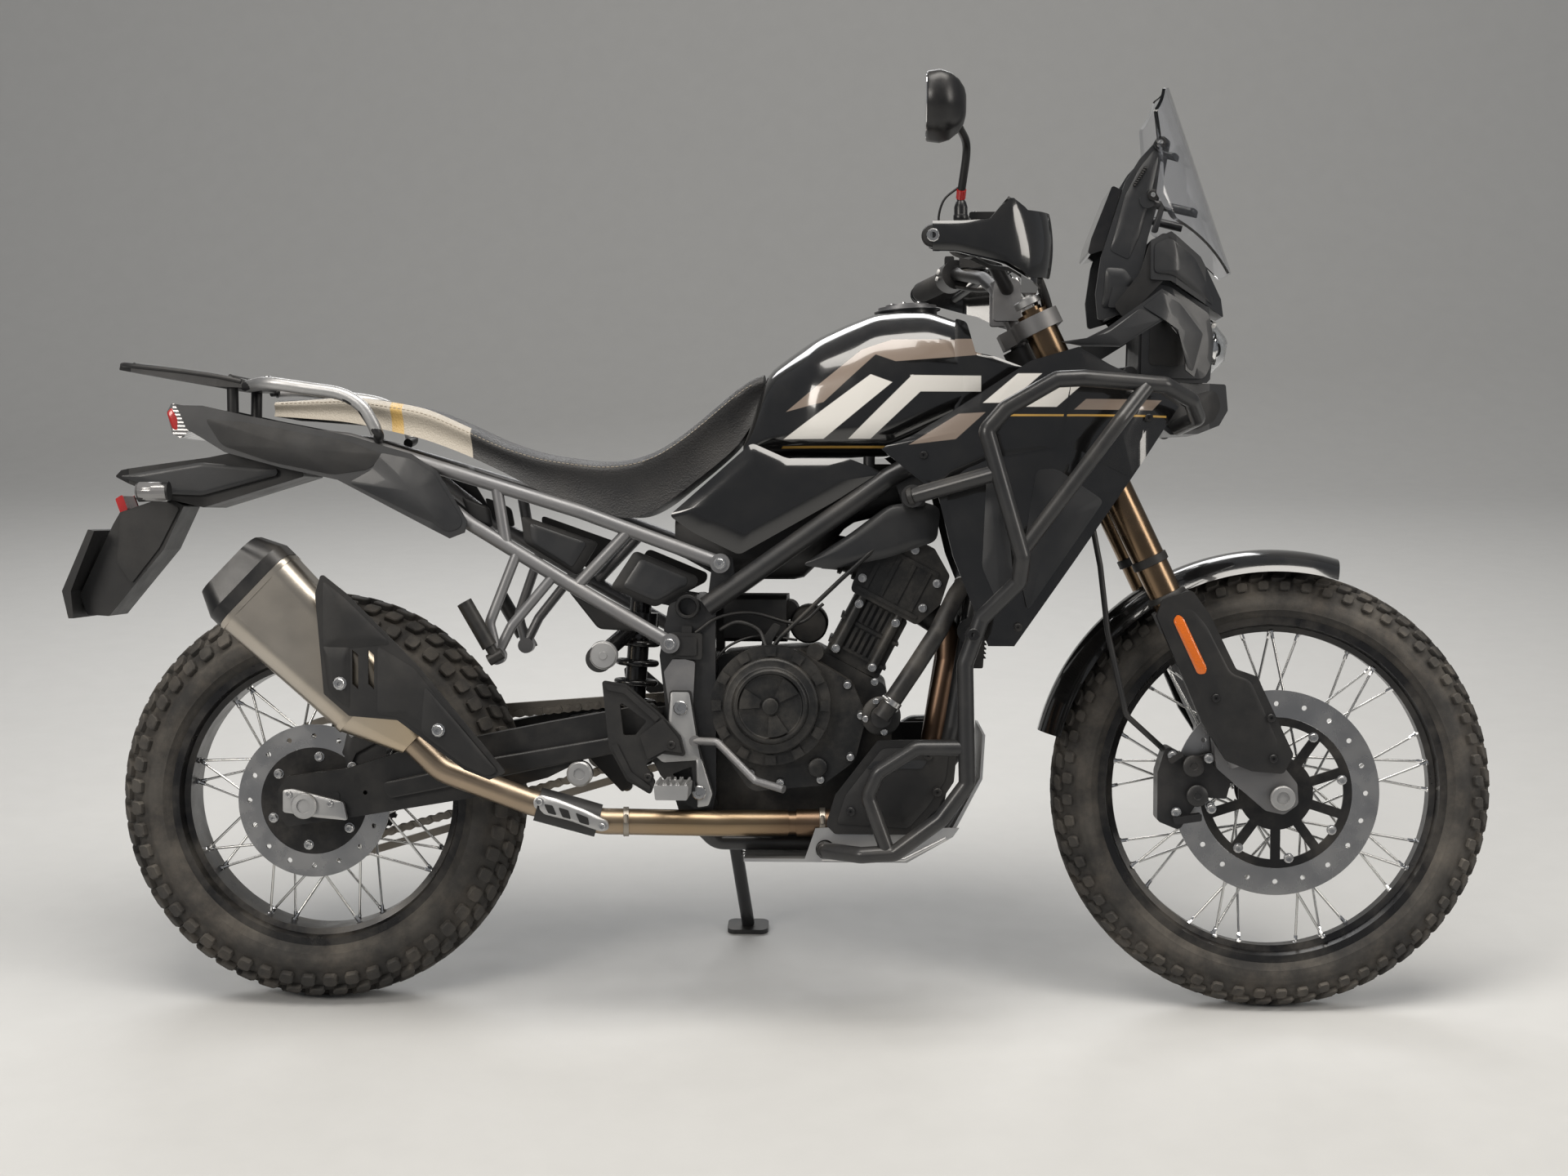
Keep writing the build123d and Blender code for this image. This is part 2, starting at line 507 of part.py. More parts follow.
LIFT_THREAD = (92, 346, 3.4)     # x, z and core radius of the threads for paddock-stand bobbins
ARM = [(-44, 350), (-30, 370), (60, 382), (152, 411), (375, 456), (536, 486), (552, 470), (552, 424),
       (470, 418),
       (376, 371), (254, 338), (82, 309), (-30, 292), (-44, 310)]
with BuildPart() as swingarm:
    slab(ARM, ARM_INNER, ARM_OUTER, -1, 6)
    slab([(52, 348), (52, 330), (-30, 312), (-30, 330)], ARM_OUTER - 1, ARM_OUTER + 1, -1, 4)
    slab([(500, 474), (600, 484), (630, 450), (600, 416), (500, 424)], 95, 107, -1, 10)
    slab([(500, 474), (552, 479), (552, 421), (500, 424)], 95, ARM_INNER + 1, -1, 4)
    boss(*SWINGARM_PIVOT, 60, 110, 12, -1, Mode.SUBTRACT)
    boss(*REAR_AXLE, 104, 112, 24, -1)
    boss(*LIFT_THREAD[:2], 122, ARM_OUTER + 2, LIFT_THREAD[2], -1, Mode.SUBTRACT)
    mirror(about=Plane.XZ)
    block([(376, 392), (376, 446), (436, 458), (446, 420), (430, 398)], 110, 8)
    boss(*REAR_AXLE, -148, 148, AXLE_RADIUS)
    slab([(418, 404), (440, 430), (500, 356), (482, 338)], 36, 44, -1, 4)
    slab([(418, 404), (440, 430), (500, 356), (482, 338)], 36, 44, 1, 4)
store(swingarm, "swingarm")

SHOCK_FOOT, SHOCK_HEAD = (488, 0, 348), (508, 0, 652)
COILS = 7
with BuildPart() as rear_shock:
    boss(SHOCK_FOOT[0], SHOCK_FOOT[2], -35.7, 35.7, 9)
    boss(SHOCK_HEAD[0], SHOCK_HEAD[2], -23.7, 23.7, 9)
    bar(SHOCK_FOOT, SHOCK_HEAD, 17)
    bar((503.4, 0, 582), (506, 0, 622), 30)
    for coil in range(COILS):
        share = 0.12 + 0.62 * coil / (COILS - 1)
        centre = Vector(*SHOCK_FOOT) + (Vector(*SHOCK_HEAD) - Vector(*SHOCK_FOOT)) * share
        with Locations(Plane(origin=centre, z_dir=Vector(*SHOCK_HEAD) - Vector(*SHOCK_FOOT)).location):
            Torus(30, 5)
            Cylinder(27, 3)
    bar((505, -12, 606), (456, -96, 560), 13)
    bar((456, -88, 560), (454, -128, 554), 21)
store(rear_shock, "rear_shock")


def chain_loop(rear, front):
    """The closed loop a chain makes round both sprockets at the given radii."""
    with BuildSketch(Plane(origin=(0, SPROCKET_Y + CHAIN_WIDTH / 2, 0), x_dir=(1, 0, 0), z_dir=(0, -1, 0)),
                     mode=Mode.PRIVATE) as face:
        with Locations(REAR_AXLE):
            Circle(rear)
        with Locations(DRIVE_SPROCKET[:2]):
            Circle(front)
        make_hull()
    return face.sketch


with BuildPart() as drive_chain:
    inside = (SPROCKET_RADIUS + CHAIN_PITCH_GAP, DRIVE_SPROCKET[2] + CHAIN_PITCH_GAP)
    extrude(chain_loop(inside[0] + CHAIN_DEPTH, inside[1] + CHAIN_DEPTH), amount=CHAIN_WIDTH, dir=(0, -1, 0))
    extrude(chain_loop(*inside), amount=CHAIN_WIDTH, dir=(0, -1, 0), mode=Mode.SUBTRACT)
store(drive_chain, "drive_chain")

with BuildPart() as rear_caliper:
    slab([(48, 402), (96, 380), (120, 404), (112, 436), (66, 452)], 64, ARM_INNER - FIT, -1, 6)
    slab([(52, 352), (104, 362), (112, 400), (60, 410)], 98, ARM_INNER - FIT, -1, 4)
    wheel_ring(REAR_AXLE, REAR_DISC["y"], 15, REAR_DISC["radius"] + 5, 0, Mode.SUBTRACT)
    wheel_ring(REAR_AXLE, -60, 60, REAR_TYRE["bead"] - 130, 0, Mode.SUBTRACT)
store(rear_caliper, "rear_caliper")

# ---------------------------------------------------------------- engine
CYLINDER_LEAN = 27.5
SPROCKET_POCKET = 54
CYLINDER_FOOT = (843, 542.8)
CRANKCASE = [(612, 330), (640, 286), (862, 286), (908, 340), (906, 460), (896, 514), (790, 571), (700, 566),
             (640, 560), (612, 500)]
tilt = radians(CYLINDER_LEAN)
CYLINDER_AXIS = Vector(sin(tilt), 0, cos(tilt))
CYLINDER_ACROSS = Vector(cos(tilt), 0, -sin(tilt))


def along_cylinder(up, ahead=0):
    """The (x, z) point a distance up the leaning cylinders and ahead of their middle."""
    spot = Vector(CYLINDER_FOOT[0], 0, CYLINDER_FOOT[1]) + CYLINDER_AXIS * up + CYLINDER_ACROSS * ahead
    return (spot.X, spot.Z)


def port_point(ahead, way):
    """A point on the line of an exhaust port, measured from the port's face."""
    mouth, root = Vector(*along_cylinder(124, 86)), Vector(*along_cylinder(126, 62))
    spot = mouth + (mouth - root).normalized() * ahead
    return Vector(spot.X, way * 42, spot.Y)


with BuildPart() as crankcase:
    block(CRANKCASE, 92, 14)
    for z in (330, 540):
        boss(622, z, -111.7, 111.7, 15)
    boss(*DRIVE_SPROCKET[:2], 78, 93, SPROCKET_POCKET, 1, Mode.SUBTRACT)
    slab([(600, DRIVE_SPROCKET[1] - SPROCKET_POCKET - 26),
          (DRIVE_SPROCKET[0], DRIVE_SPROCKET[1] - SPROCKET_POCKET),
          (DRIVE_SPROCKET[0], DRIVE_SPROCKET[1] + SPROCKET_POCKET),
          (600, DRIVE_SPROCKET[1] + SPROCKET_POCKET)],
         78, 93, 1, 0, Mode.SUBTRACT)
    boss(*DRIVE_SPROCKET[:2], 76, 92, 14, 1)
    boss(*DRIVE_SPROCKET[:2], SPROCKET_Y - 3, SPROCKET_Y + 3, DRIVE_SPROCKET[2], 1)
store(crankcase, "crankcase")

with BuildPart() as cylinder:
    block([along_cylinder(0.3, -46), along_cylinder(0.3, 46), along_cylinder(104, 46),
           along_cylinder(104, -46)], 88, 6)
    for deck in (18, 60):
        block([along_cylinder(deck, -50), along_cylinder(deck, 50), along_cylinder(deck + 5, 50),
               along_cylinder(deck + 5, -50)], 92, 1)
    for ahead in (-34, 30):
        for way in (1, -1):
            start, end = along_cylinder(8, ahead), along_cylinder(104, ahead)
            bar((start[0], way * 90, start[1]), (end[0], way * 90, end[1]), 9)
    block([along_cylinder(104, -56), along_cylinder(104, 60), along_cylinder(150, 78),
           along_cylinder(196, 70),
           along_cylinder(222, 30), along_cylinder(222, -24), along_cylinder(190, -66)], 102, 8)
    for way in (1, -1):
        bar(port_point(-24, way), port_point(0, way), 22)                              # exhaust ports
store(cylinder, "cylinder")

CLUTCH = (721, 486)
CLUTCH_OUTLINE = [(641, 420), (641, 520), (668, 560), (760, 572), (846, 520), (868, 470), (850, 400),
                  (800, 362),
                  (690, 352)]
GENERATOR = (770, 440)
PUMP = (890, 470)
with BuildPart() as engine_covers:
    slab(CLUTCH_OUTLINE, 92.2, 140, -1, 22)
    boss(*CLUTCH, 140, 158, 92, -1)
    boss(*CLUTCH, 158, 166, 60, -1)
    boss(*CLUTCH, 158, 172, 50, -1)
    boss(788, 566, 100, 132, 13, -1)
    boss(*PUMP, 92.2, 150, 26, -1)
    slab([(641, 400), (641, 520), (690, 556), (800, 548), (860, 480), (850, 390), (780, 350), (680, 350)],
         92.2, 128, 1, 20)
    boss(*DRIVE_SPROCKET[:2], 92, 97, SPROCKET_POCKET, 1, Mode.SUBTRACT)
    slab([(640, DRIVE_SPROCKET[1] - SPROCKET_POCKET), (656, DRIVE_SPROCKET[1] - SPROCKET_POCKET),
          (656, DRIVE_SPROCKET[1] + SPROCKET_POCKET), (640, DRIVE_SPROCKET[1] + SPROCKET_POCKET)],
         92, 97, 1, 0, Mode.SUBTRACT)
    boss(*GENERATOR, 128, 150, 76, 1)
    boss(*GENERATOR, 150, 156, 40, 1)
    # clutch cable
    bent_tube([(712, -128, 560), (735, -130, 590), (828, -128, 679), (900, -123, 745), (930, -122, 785.2)],
              3.5, 25)
store(engine_covers, "engine_covers")

with BuildPart() as radiator:
    slab([(1020, 540), (1048, 540), (1064, 800), (1036, 800)], -88, 88, -1, 3)
    slab([(1017, 580), (1023, 580), (1035, 780), (1029, 780)], -70, 70, -1)
    for way in (1, -1):
        boss(1040, 660, 80, 94, 7, way)
    bent_tube([(890, -168, 470), (940, -168, 545), (976, -156, 600), (1004, -124, 655), (1034, -66, 692)],
              14, 22)
    bar((890, -150 - FIT, 470), (890, -172, 470), 16)
    for way in (1, -1):
        bent_tube([(x, y * way, z) for x, y, z in DOWNTUBE], RAIL_RADIUS + FIT, 25, Mode.SUBTRACT)
store(radiator, "radiator")

# ---------------------------------------------------------------- exhaust
HEADERS = ([tuple(port_point(FIT, -1)), tuple(port_point(22, -1)), (994, -46, 550), (966, -62, 400), 
            (925, -120, 318), (820, -131, 303), (745, -132, 303)],
           [tuple(port_point(FIT, 1)), tuple(port_point(22, 1)), (994, 40, 550), (968, -10, 400),
            (930, -96, 332), (880, -130, 305)])
# silencer: a can of rounded section along a slanting line, from the tail end to the inlet cone
CAN_TAIL, CAN_NOSE = Vector(-62, -182, 660), Vector(112, -182, 492)
can_run = (CAN_NOSE - CAN_TAIL).normalized()
can_up = Vector(-can_run.Z, 0, can_run.X)


def can_section(distance, height, width):
    """A rounded section across the can, a distance from its tail end."""
    centre = CAN_TAIL + can_run * distance
    with BuildSketch(Plane(origin=centre, x_dir=(0, 1, 0), z_dir=can_run), mode=Mode.PRIVATE) as section:
        RectangleRounded(width, height, min(width, height) * 0.32)
    return section.sketch


CAN_LENGTH = (CAN_NOSE - CAN_TAIL).length
CAN_CONE = 90
CAN_INLET = CAN_NOSE + can_run * CAN_CONE
with BuildPart() as silencer:
    loft([can_section(0, 150, 106), can_section(CAN_LENGTH, 126, 100),
          can_section(CAN_LENGTH + CAN_CONE, 46, 46)],
         ruled=True)
store(silencer, "silencer")

MID_PIPE = [(746, -132, 303), (640, -151, 304), (463, -168, 308), (356, -180, 338),
            tuple(CAN_INLET + can_run * 60),
            tuple(CAN_INLET + can_run * FIT)]
with BuildPart() as exhaust_pipe:
    for header in HEADERS:
        bent_tube(header, HEADER_RADIUS, 24)
    bar((850, -129, 303), (760, -132, 303), 21)
    bent_tube(MID_PIPE, PIPE_RADIUS, 60)
    for way in (1, -1):
        bar(port_point(FIT, way), port_point(7, way), 24)
store(exhaust_pipe, "exhaust_pipe")


with BuildPart() as silencer_cap:
    loft([can_section(-56, 118, 88), can_section(-20, 152, 108), can_section(-FIT, 152, 108)], ruled=True)
    loft([can_section(-60, 60, 50), can_section(-40, 60, 50)], ruled=True, mode=Mode.SUBTRACT)
store(silencer_cap, "silencer_cap")

HEAT_SHIELD = [(49, 688), (87, 658), (192, 553), (328, 390), (303, 379), (265, 394), (164, 468), (91, 474),
               (53, 507),
               (40, 657)]
GUARD_RUN = (Vector(458, -168.6, 309.4), Vector(366, -178.9, 335.2))
with BuildPart() as heat_shield:
    bar(*GUARD_RUN, PIPE_RADIUS + 6)
    bar(GUARD_RUN[0] + (GUARD_RUN[0] - GUARD_RUN[1]), GUARD_RUN[1] * 2 - GUARD_RUN[0], PIPE_RADIUS + 3.5,
        Mode.SUBTRACT)
    block([(340, 280), (480, 280), (480, 370), (340, 370)], 172, 0, Mode.SUBTRACT)
    for share in (0.2, 0.8):
        spot = GUARD_RUN[0] + (GUARD_RUN[1] - GUARD_RUN[0]) * share
        bar((spot.X, spot.Y - PIPE_RADIUS - 0.8, spot.Z), (spot.X, spot.Y - PIPE_RADIUS - 5, spot.Z), 6)
    slab(HEAT_SHIELD, 242, 247, -1, 4)
    for slot in ((96, 540), (120, 540)):
        slab([(slot[0], slot[1] + 34), (slot[0] + 9, slot[1] + 26), (slot[0] + 9, slot[1] - 26),
              (slot[0], slot[1] - 18)], 230, 250, -1, 0, Mode.SUBTRACT)
    for post in ((76, 560), (70, 630)):
        boss(*post, 233.4, 243, 9, -1)
store(heat_shield, "heat_shields")

# ---------------------------------------------------------------- tank, seat and side panels
TANK = [(674, TANK_FLOOR), (683, 892), (705, 984), (708, 1000), (788, 1054), (878, 1094), (960, 1104),
        (1014, 1084), (1014, 930), (900, TANK_FLOOR),
        (744, TANK_FLOOR)]
TANK_PLAN = [(640, 60), (700, 96), (780, 144), (860, 162), (1014, 150)]
with BuildPart() as fuel_tank:
    block(TANK, 162, 8)
    plan_cut(TANK_PLAN, 800, 1200)
    for way in (1, -1):
        bent_tube([(x, -way * y, z) for x, y, z in SPAR], SPAR_RADIUS + 3, 60, Mode.SUBTRACT)
    with BuildSketch(Plane(origin=CAP_CENTRE, z_dir=CAP_UP)):
        Circle(CAP_RADIUS + 6)
    extrude(amount=-14)
    with BuildSketch(Plane(origin=CAP_CENTRE, z_dir=CAP_UP)):
        Circle(CAP_RADIUS + 5)
    extrude(amount=40, mode=Mode.SUBTRACT)
store(fuel_tank, "fuel_tank")

with BuildPart() as fuel_cap:
    with BuildSketch(Plane(origin=CAP_CENTRE + CAP_UP * FIT, z_dir=CAP_UP)):
        Circle(CAP_RADIUS)
    extrude(amount=9)
    with BuildSketch(Plane(origin=CAP_CENTRE + CAP_UP * 9, z_dir=CAP_UP)):
        Circle(CAP_RADIUS - 12)
    extrude(amount=4)
store(fuel_cap, "fuel_cap")

SIDE_PANEL = [(563, 776), (600, 750), (671, 716), (895, 842), (840, 864), (744, 864), (690, 888)]
with BuildPart() as side_panels:
    slab(SIDE_PANEL, 122, 146, -1, 5)
    slab([(x + (720 - x) * 0.06, z + (806 - z) * 0.1) for x, z in SIDE_PANEL], 121, 141, -1, 4, Mode.SUBTRACT)
    bent_tube(SPAR, SPAR_RADIUS + FIT, 60, Mode.SUBTRACT)
    mirror(about=Plane.XZ)
store(side_panels, "side_panels")

SEAT = [(-60, 957), (58, 963), (110, 957), (180, 945), (241, 916), (300, 888), (363, 870), (455, 857),
        (503, 861),
        (546, 879), (597, 920), (640, 957), (690, 1000), (700, 986), (676, 894), (593, 824), (526, 773),
        (505, 767),
        (423, 790.6), (358, 812.6), (265, 862), (213, 880), (122, 908), (-55, 930)]
SEAT_PLAN = [(-60, 96), (110, 116), (260, 100), (400, 124.7), (500, 119), (600, 82), (700, 52)]
with BuildPart() as seat:
    block(SEAT, 126, 3)
    plan_cut(SEAT_PLAN, 700, 1100)
store(seat, "seat")

# ---------------------------------------------------------------- shrouds and front fairing
def skin(plan, wall, low, high, side_outline, bend=20):
    """A curved panel on the right side: a plan line with a wall, cut to its outline in the side view."""
    with BuildSketch(Plane.XY.offset(low), mode=Mode.PRIVATE) as face:
        with BuildLine():
            FilletPolyline(*plan, radius=bend)
        trace(line_width=wall)
    extrude(face.sketch, amount=high - low, dir=(0, 0, 1))
    slab(side_outline, 20, 500, -1, 0, Mode.INTERSECT)


SHROUD = [(888, 878), (933, 895), (1111, 1009), (1183, 1030), (1341, 944), (1089, 581), (1050, 581),
          (997, 715),
          (973, 812), (939, 836)]
SHROUD_PLAN = [(870, -168), (960, -186), (1060, -203), (1180, -206), (1280, -182), (1350, -128)]
with BuildPart() as shrouds:
    skin(SHROUD_PLAN, 5, 560, 1050, SHROUD, 60)
    slab([(1022, 911), (1064, 934), (1064, 914), (1022, 891)], 127.2, 196, -1)
    mirror(about=Plane.XZ)
store(shrouds, "shrouds")

TRIM = [(1159, 1040), (1198, 1046), (1231, 1063), (1313, 1122), (1346, 1104), (1386, 1057), (1366, 990),
        (1352, 1000),
        (1350, 1040), (1318, 1076), (1250, 1034), (1192, 1034)]
with BuildPart() as cowl_trims:
    skin([(1150, -170), (1220, -160), (1320, -142), (1400, -100)], 8, 960, 1140, TRIM, 40)
    bar((1322, -140, 1084), (1322, -91.3, 1084), 8)
    mirror(about=Plane.XZ)
store(cowl_trims, "cowl_trims")

HEADLIGHT = [(1284, 984), (1288, 1140), (1331, 1138), (1420, 1086), (1435, 1042), (1424, 1004), (1396, 984)]
with BuildPart() as headlight:
    block(HEADLIGHT, 92, 6)
    plan_cut([(1280, 92), (1340, 90), (1400, 66), (1438, 34)], 960, 1160)
    boss(1276, 1000, -100, 100, 10.4, 1, Mode.SUBTRACT)
store(headlight, "headlight")

with BuildPart() as front_cowl:
    block([(1300, 1139.9), (1300, 1200), (1332, 1214), (1381, 1178), (1418, 1116), (1423, 1086.5),
           (1331, 1138.5)],
          110, 2)
    plan_cut([(1290, 112), (1340, 104), (1390, 70), (1426, 30)], 1080, 1230)
store(front_cowl, "front_cowl")

with BuildPart() as nose_lip:
    block([(1300, 930), (1336, 903), (1381, 905), (1417, 919), (1432, 943), (1428, 983.7), (1300, 983.7)],
          84, 4)
    plan_cut([(1290, 86), (1350, 78), (1400, 50), (1436, 24)], 890, 990)
store(nose_lip, "nose_lip")

SCREEN_FOOT, SCREEN_TOP = Vector(1436, 0, 1158), Vector(1336, 0, 1450)
SCREEN_EDGE, SCREEN_DEPTH, SCREEN_THICK = 124, 86, 4
screen_run = (SCREEN_TOP - SCREEN_FOOT).normalized()
screen_back = Vector(-screen_run.Z, 0, screen_run.X)
screen_bow = (SCREEN_EDGE ** 2 + SCREEN_DEPTH ** 2) / (2 * SCREEN_DEPTH)


def screen_point(y, up, behind=0):
    """A point of the screen's middle surface, y across and a distance up its centre line."""
    depth = screen_bow - sqrt(screen_bow ** 2 - y ** 2)
    return SCREEN_FOOT + screen_run * up + screen_back * (depth + behind) + Vector(0, y, 0)


def screen_shell(thick, ahead=0, mode=Mode.ADD):
    """The bowed sheet the screen is cut from, or one a distance ahead of it."""
    radius, spread = screen_bow + ahead, asin(SCREEN_EDGE / screen_bow)
    edge, back = radius * sin(spread), screen_bow - radius * cos(spread)
    with BuildSketch(Plane(origin=SCREEN_FOOT, x_dir=(0, 1, 0), z_dir=screen_run), mode=Mode.PRIVATE) as face:
        with BuildLine():
            ThreePointArc((-edge, back), (0, -ahead), (edge, back))
        trace(line_width=thick)
    extrude(face.sketch, amount=(SCREEN_TOP - SCREEN_FOOT).length, dir=screen_run, mode=mode)


with BuildPart() as windscreen:
    screen_shell(SCREEN_THICK)
    with BuildSketch(Plane.YZ.offset(1200)):
        with BuildLine():
            Polyline((-34, 1140), (-118, 1232), (-122, 1270), (-98, 1400), (-60, 1440), (0, 1452), (60, 1440),
                     (98, 1400), (122, 1270), (118, 1232), (34, 1140), close=True)
        make_face()
        fillet(vertices(), 12)
    extrude(amount=300, mode=Mode.INTERSECT)
store(windscreen, "windscreen")

TOWER = [(1306, 1350), (1284, 1326), (1262, 1290), (1226, 1176), (1218, 1120), (1222, 1078), (1262, 1090),
         (1286, 1146), (1298, 1206), (1316, 1270), (1330, 1352), (1318, 1362)]
with BuildPart() as screen_tower:
    slab(TOWER, 82, 92, -1, 5)
    slab([(1262, 1270), (1284, 1310), (1300, 1310), (1290, 1270)], 60, 100, -1, 2, Mode.SUBTRACT)
    boss(1314, 1348, 84, 100, 9, -1)
    boss(1296, 1262, 84, 98, 12, -1)
    bar((1306, -87, 1338), screen_point(-87, 190), 6)                                  # screen arms
    bar((1290, -87, 1262), screen_point(-87, 100), 7)
    # ears on the lamp's sides
    slab([(1236, 1098), (1278, 1098), (1278, 1130), (1244, 1130)], 86, 98, -1, 3)
    slab([(1270, 1098), (1312, 1102), (1312, 1130), (1270, 1130)], 92 + FIT, 98, -1, 3)
    mirror(about=Plane.XZ)
    screen_shell(SCREEN_THICK + 2 * FIT + 40, 20, Mode.SUBTRACT)
    for x, z in ((1254, 1120), (1262, 1236), (1312, 1336)):
        boss(x, z, -84, 84, 8)
    slab([(1236, 1100), (1284, 1136), (1284, 1110), (1246, 1088)], -84, 84, 1, 3)
store(screen_tower, "screen_tower")

with BuildPart() as dash:
    block([(1244, 1288), (1264, 1278), (1236, 1190), (1206, 1180), (1212, 1206)], 78, 4)
    block([(1252, 1252), (1262, 1252), (1262, 1224), (1244, 1224)], 30, 0)
    boss(1262, 1236, -90, 90, 8 + FIT, 1, Mode.SUBTRACT)
store(dash, "dash")

# ---------------------------------------------------------------- tail
with BuildPart() as rear_rack:
    block([(-316, 1004), (-312, 1014), (-116, 990), (-100, 984), (-100, 974), (-150, 976)], 92, 2)
    plan_cut([(-318, 54), (-290, 78), (-150, 92), (-98, 92)], 940, 1040)
    with BuildSketch(Plane.XY.offset(950)):
        for y in (-44, 0, 44):
            with Locations((-206, y)):
                SlotOverall(120, 22)
    extrude(amount=100, mode=Mode.SUBTRACT)
    for x in RACK_HOLE_X:
        for way in (1, -1):
            bar((x, way * RACK_HOLE_Y, 950), (x, way * RACK_HOLE_Y, 1030), RACK_HOLE, Mode.SUBTRACT)
    for way in (1, -1):
        bent_tube([(-108, way * 84, 977), (-60, way * 128, 979), (56, way * 142, 962), (86, way * 146, 946),
                   (116, way * 144, 900), (110, way * 118, 894)], 8, 10)
        bar((-130, way * 74, 980), (-130, way * 71, 925.1), 9)
store(rear_rack, "rear_rack")

COWL = [(-199, 911), (-215, 947), (-172, 946), (-99, 930), (70, 898), (120, 883), (166, 870), (207, 843),
        (253, 767),
        (249, 749), (226, 740), (48, 830), (-43, 849), (-135, 873)]


def tail_floor(x, low, half):
    """A cross-section of the tail's floor: a 6 mm sheet that reaches the side panels."""
    with BuildSketch(Plane(origin=(x, 0, low + 4), x_dir=(0, 1, 0), z_dir=(1, 0, 0)),
                     mode=Mode.PRIVATE) as face:
        Rectangle(2 * half, 6)
    return face.sketch


with BuildPart() as tail_cowl:
    skin([(256, -147), (200, -147), (60, -128), (-216, -88)], 5, 720, 960, COWL, 60)
    mirror(about=Plane.XZ)
    loft([tail_floor(x, low, half) for x, low, half in ((-198, 908, 89), (-135, 873, 98), (-43, 849, 111),
                                                        (44, 831, 124))],
         ruled=True)
    for way in (1, -1):
        bar((-100, way * 74, 866), (-100, way * 74, 897.4), 7)                         # posts to the subframe
store(tail_cowl, "tail_cowl")

with BuildPart() as tail_light:
    block([(-240, 938), (-228, 950), (-222, 950), (-198.4, 916), (-198.4, 906), (-212, 896), (-226, 904)],
          84, 1.5)
    plan_cut([(-244, 50), (-224, 78), (-178, 84)], 870, 960)
store(tail_light, "tail_light")

with BuildPart() as rear_fender:
    block([(-331, 836), (-317, 846), (-170, 866), (-134, 873.4), (-43, 849.6), (-20, 844.6), (-20, 836),
           (-179, 787), (-236, 800)], 66, 2)
    plan_cut([(-333, 30), (-300, 60), (-200, 72), (-18, 72)], 770, 880)
    block([(-319, 779), (-246, 804), (-216, 790), (-249, 720), (-304, 654), (-337, 614), (-372, 616),
           (-384, 648),
           (-330, 760)], 46, 3)
    for way in (1, -1):
        bar((-240, way * 40, 802), (-240, way * 118, 808), 7)
        bar((-262, way * 132, 810), (-214, way * 132, 812), 15)
        bar((-240, way * 112, 808), (-240, way * 132, 811), 8)
    block([(-384, 655), (-380, 612), (-388, 612), (-398, 655), (-356, 752), (-346, 750)], 90, 0)
store(rear_fender, "rear_fender")

# ---------------------------------------------------------------- guards
SKID = [(680, 246), (930, 246), (1000, 284), (1046, 372), (1050, 440), (1046, 441), (1042, 374), (996, 289),
        (929, 251), (680, 251)]
with BuildPart() as skid_plate:
    block(SKID, 130)
    block([(680, 246), (930, 246), (930, 251), (680, 251)], 157)
    for way in (1, -1):
        slab([(772, 246), (930, 246), (1000, 286), (1010, 300), (820, 300), (790, 298)], 153, 157, way)
    for way in (1, -1):
        bar((805, way * 90, 266), (805, way * 200, 266), CRASH_BAR_RADIUS + 2, Mode.SUBTRACT)
store(skid_plate, "skid_plate")

BELLY = [(806, 304), (820, 290), (939, 290), (974, 330), (1001, 371), (1007, 436), (885, 434), (820, 350)]
with BuildPart() as belly_panels:
    slab(BELLY, 157 + FIT, 163, -1, 6)
    bar((990, -157.5, 400), (990, -112, 400), 6)
    bent_tube(DOWNTUBE, RAIL_RADIUS + FIT, 25, Mode.SUBTRACT)
    mirror(about=Plane.XZ)
store(belly_panels, "belly_panels")

CRASH_MAIN = [(1346, -86 - FIT, 914), (1368, -150, 926), (1352, -190, 952), (1309, -228, 972),
              (1185, -262, 980),
              (1146, -266, 978), (1070, -272, 934), (1042, -276, 902), (1096, -280, 716), (1092, -268, 680),
              (1038, -240, 624), (1014, -236, 556), (1018, -235, 376), (979, -235, 323), (911, -222, 270),
              (860, -212, 265), (804, -170, 266), (804, -101, 266)]
CRASH_INNER = [(1093, -274, 722), (1240, -262, 918), (1280, -240, 968)]
CRASH_LOOP = [(1017, -235, 430), (943, -228, 429), (885, -222, 391), (870, -218, 355), (900, -219, 272)]
with BuildPart() as crash_bar:
    bent_tube(CRASH_MAIN, CRASH_BAR_RADIUS, 13)
    bent_tube(CRASH_INNER, CRASH_BAR_RADIUS - 1, 30)
    bent_tube(CRASH_LOOP, CRASH_BAR_RADIUS - 1, 20)
    bar((1026, -121 - FIT, 600), (1028, -238, 600), 9)
    bar((1026, -121 - FIT, 600), (1026, -128, 600), 20)
    bar((1056, -274, 840), (935, -232, 806), CRASH_BAR_RADIUS)
    boss(*STRUT_LUG, 150 + FIT, 240, 17, -1)
    mirror(about=Plane.XZ)
store(crash_bar, "crash_bars")

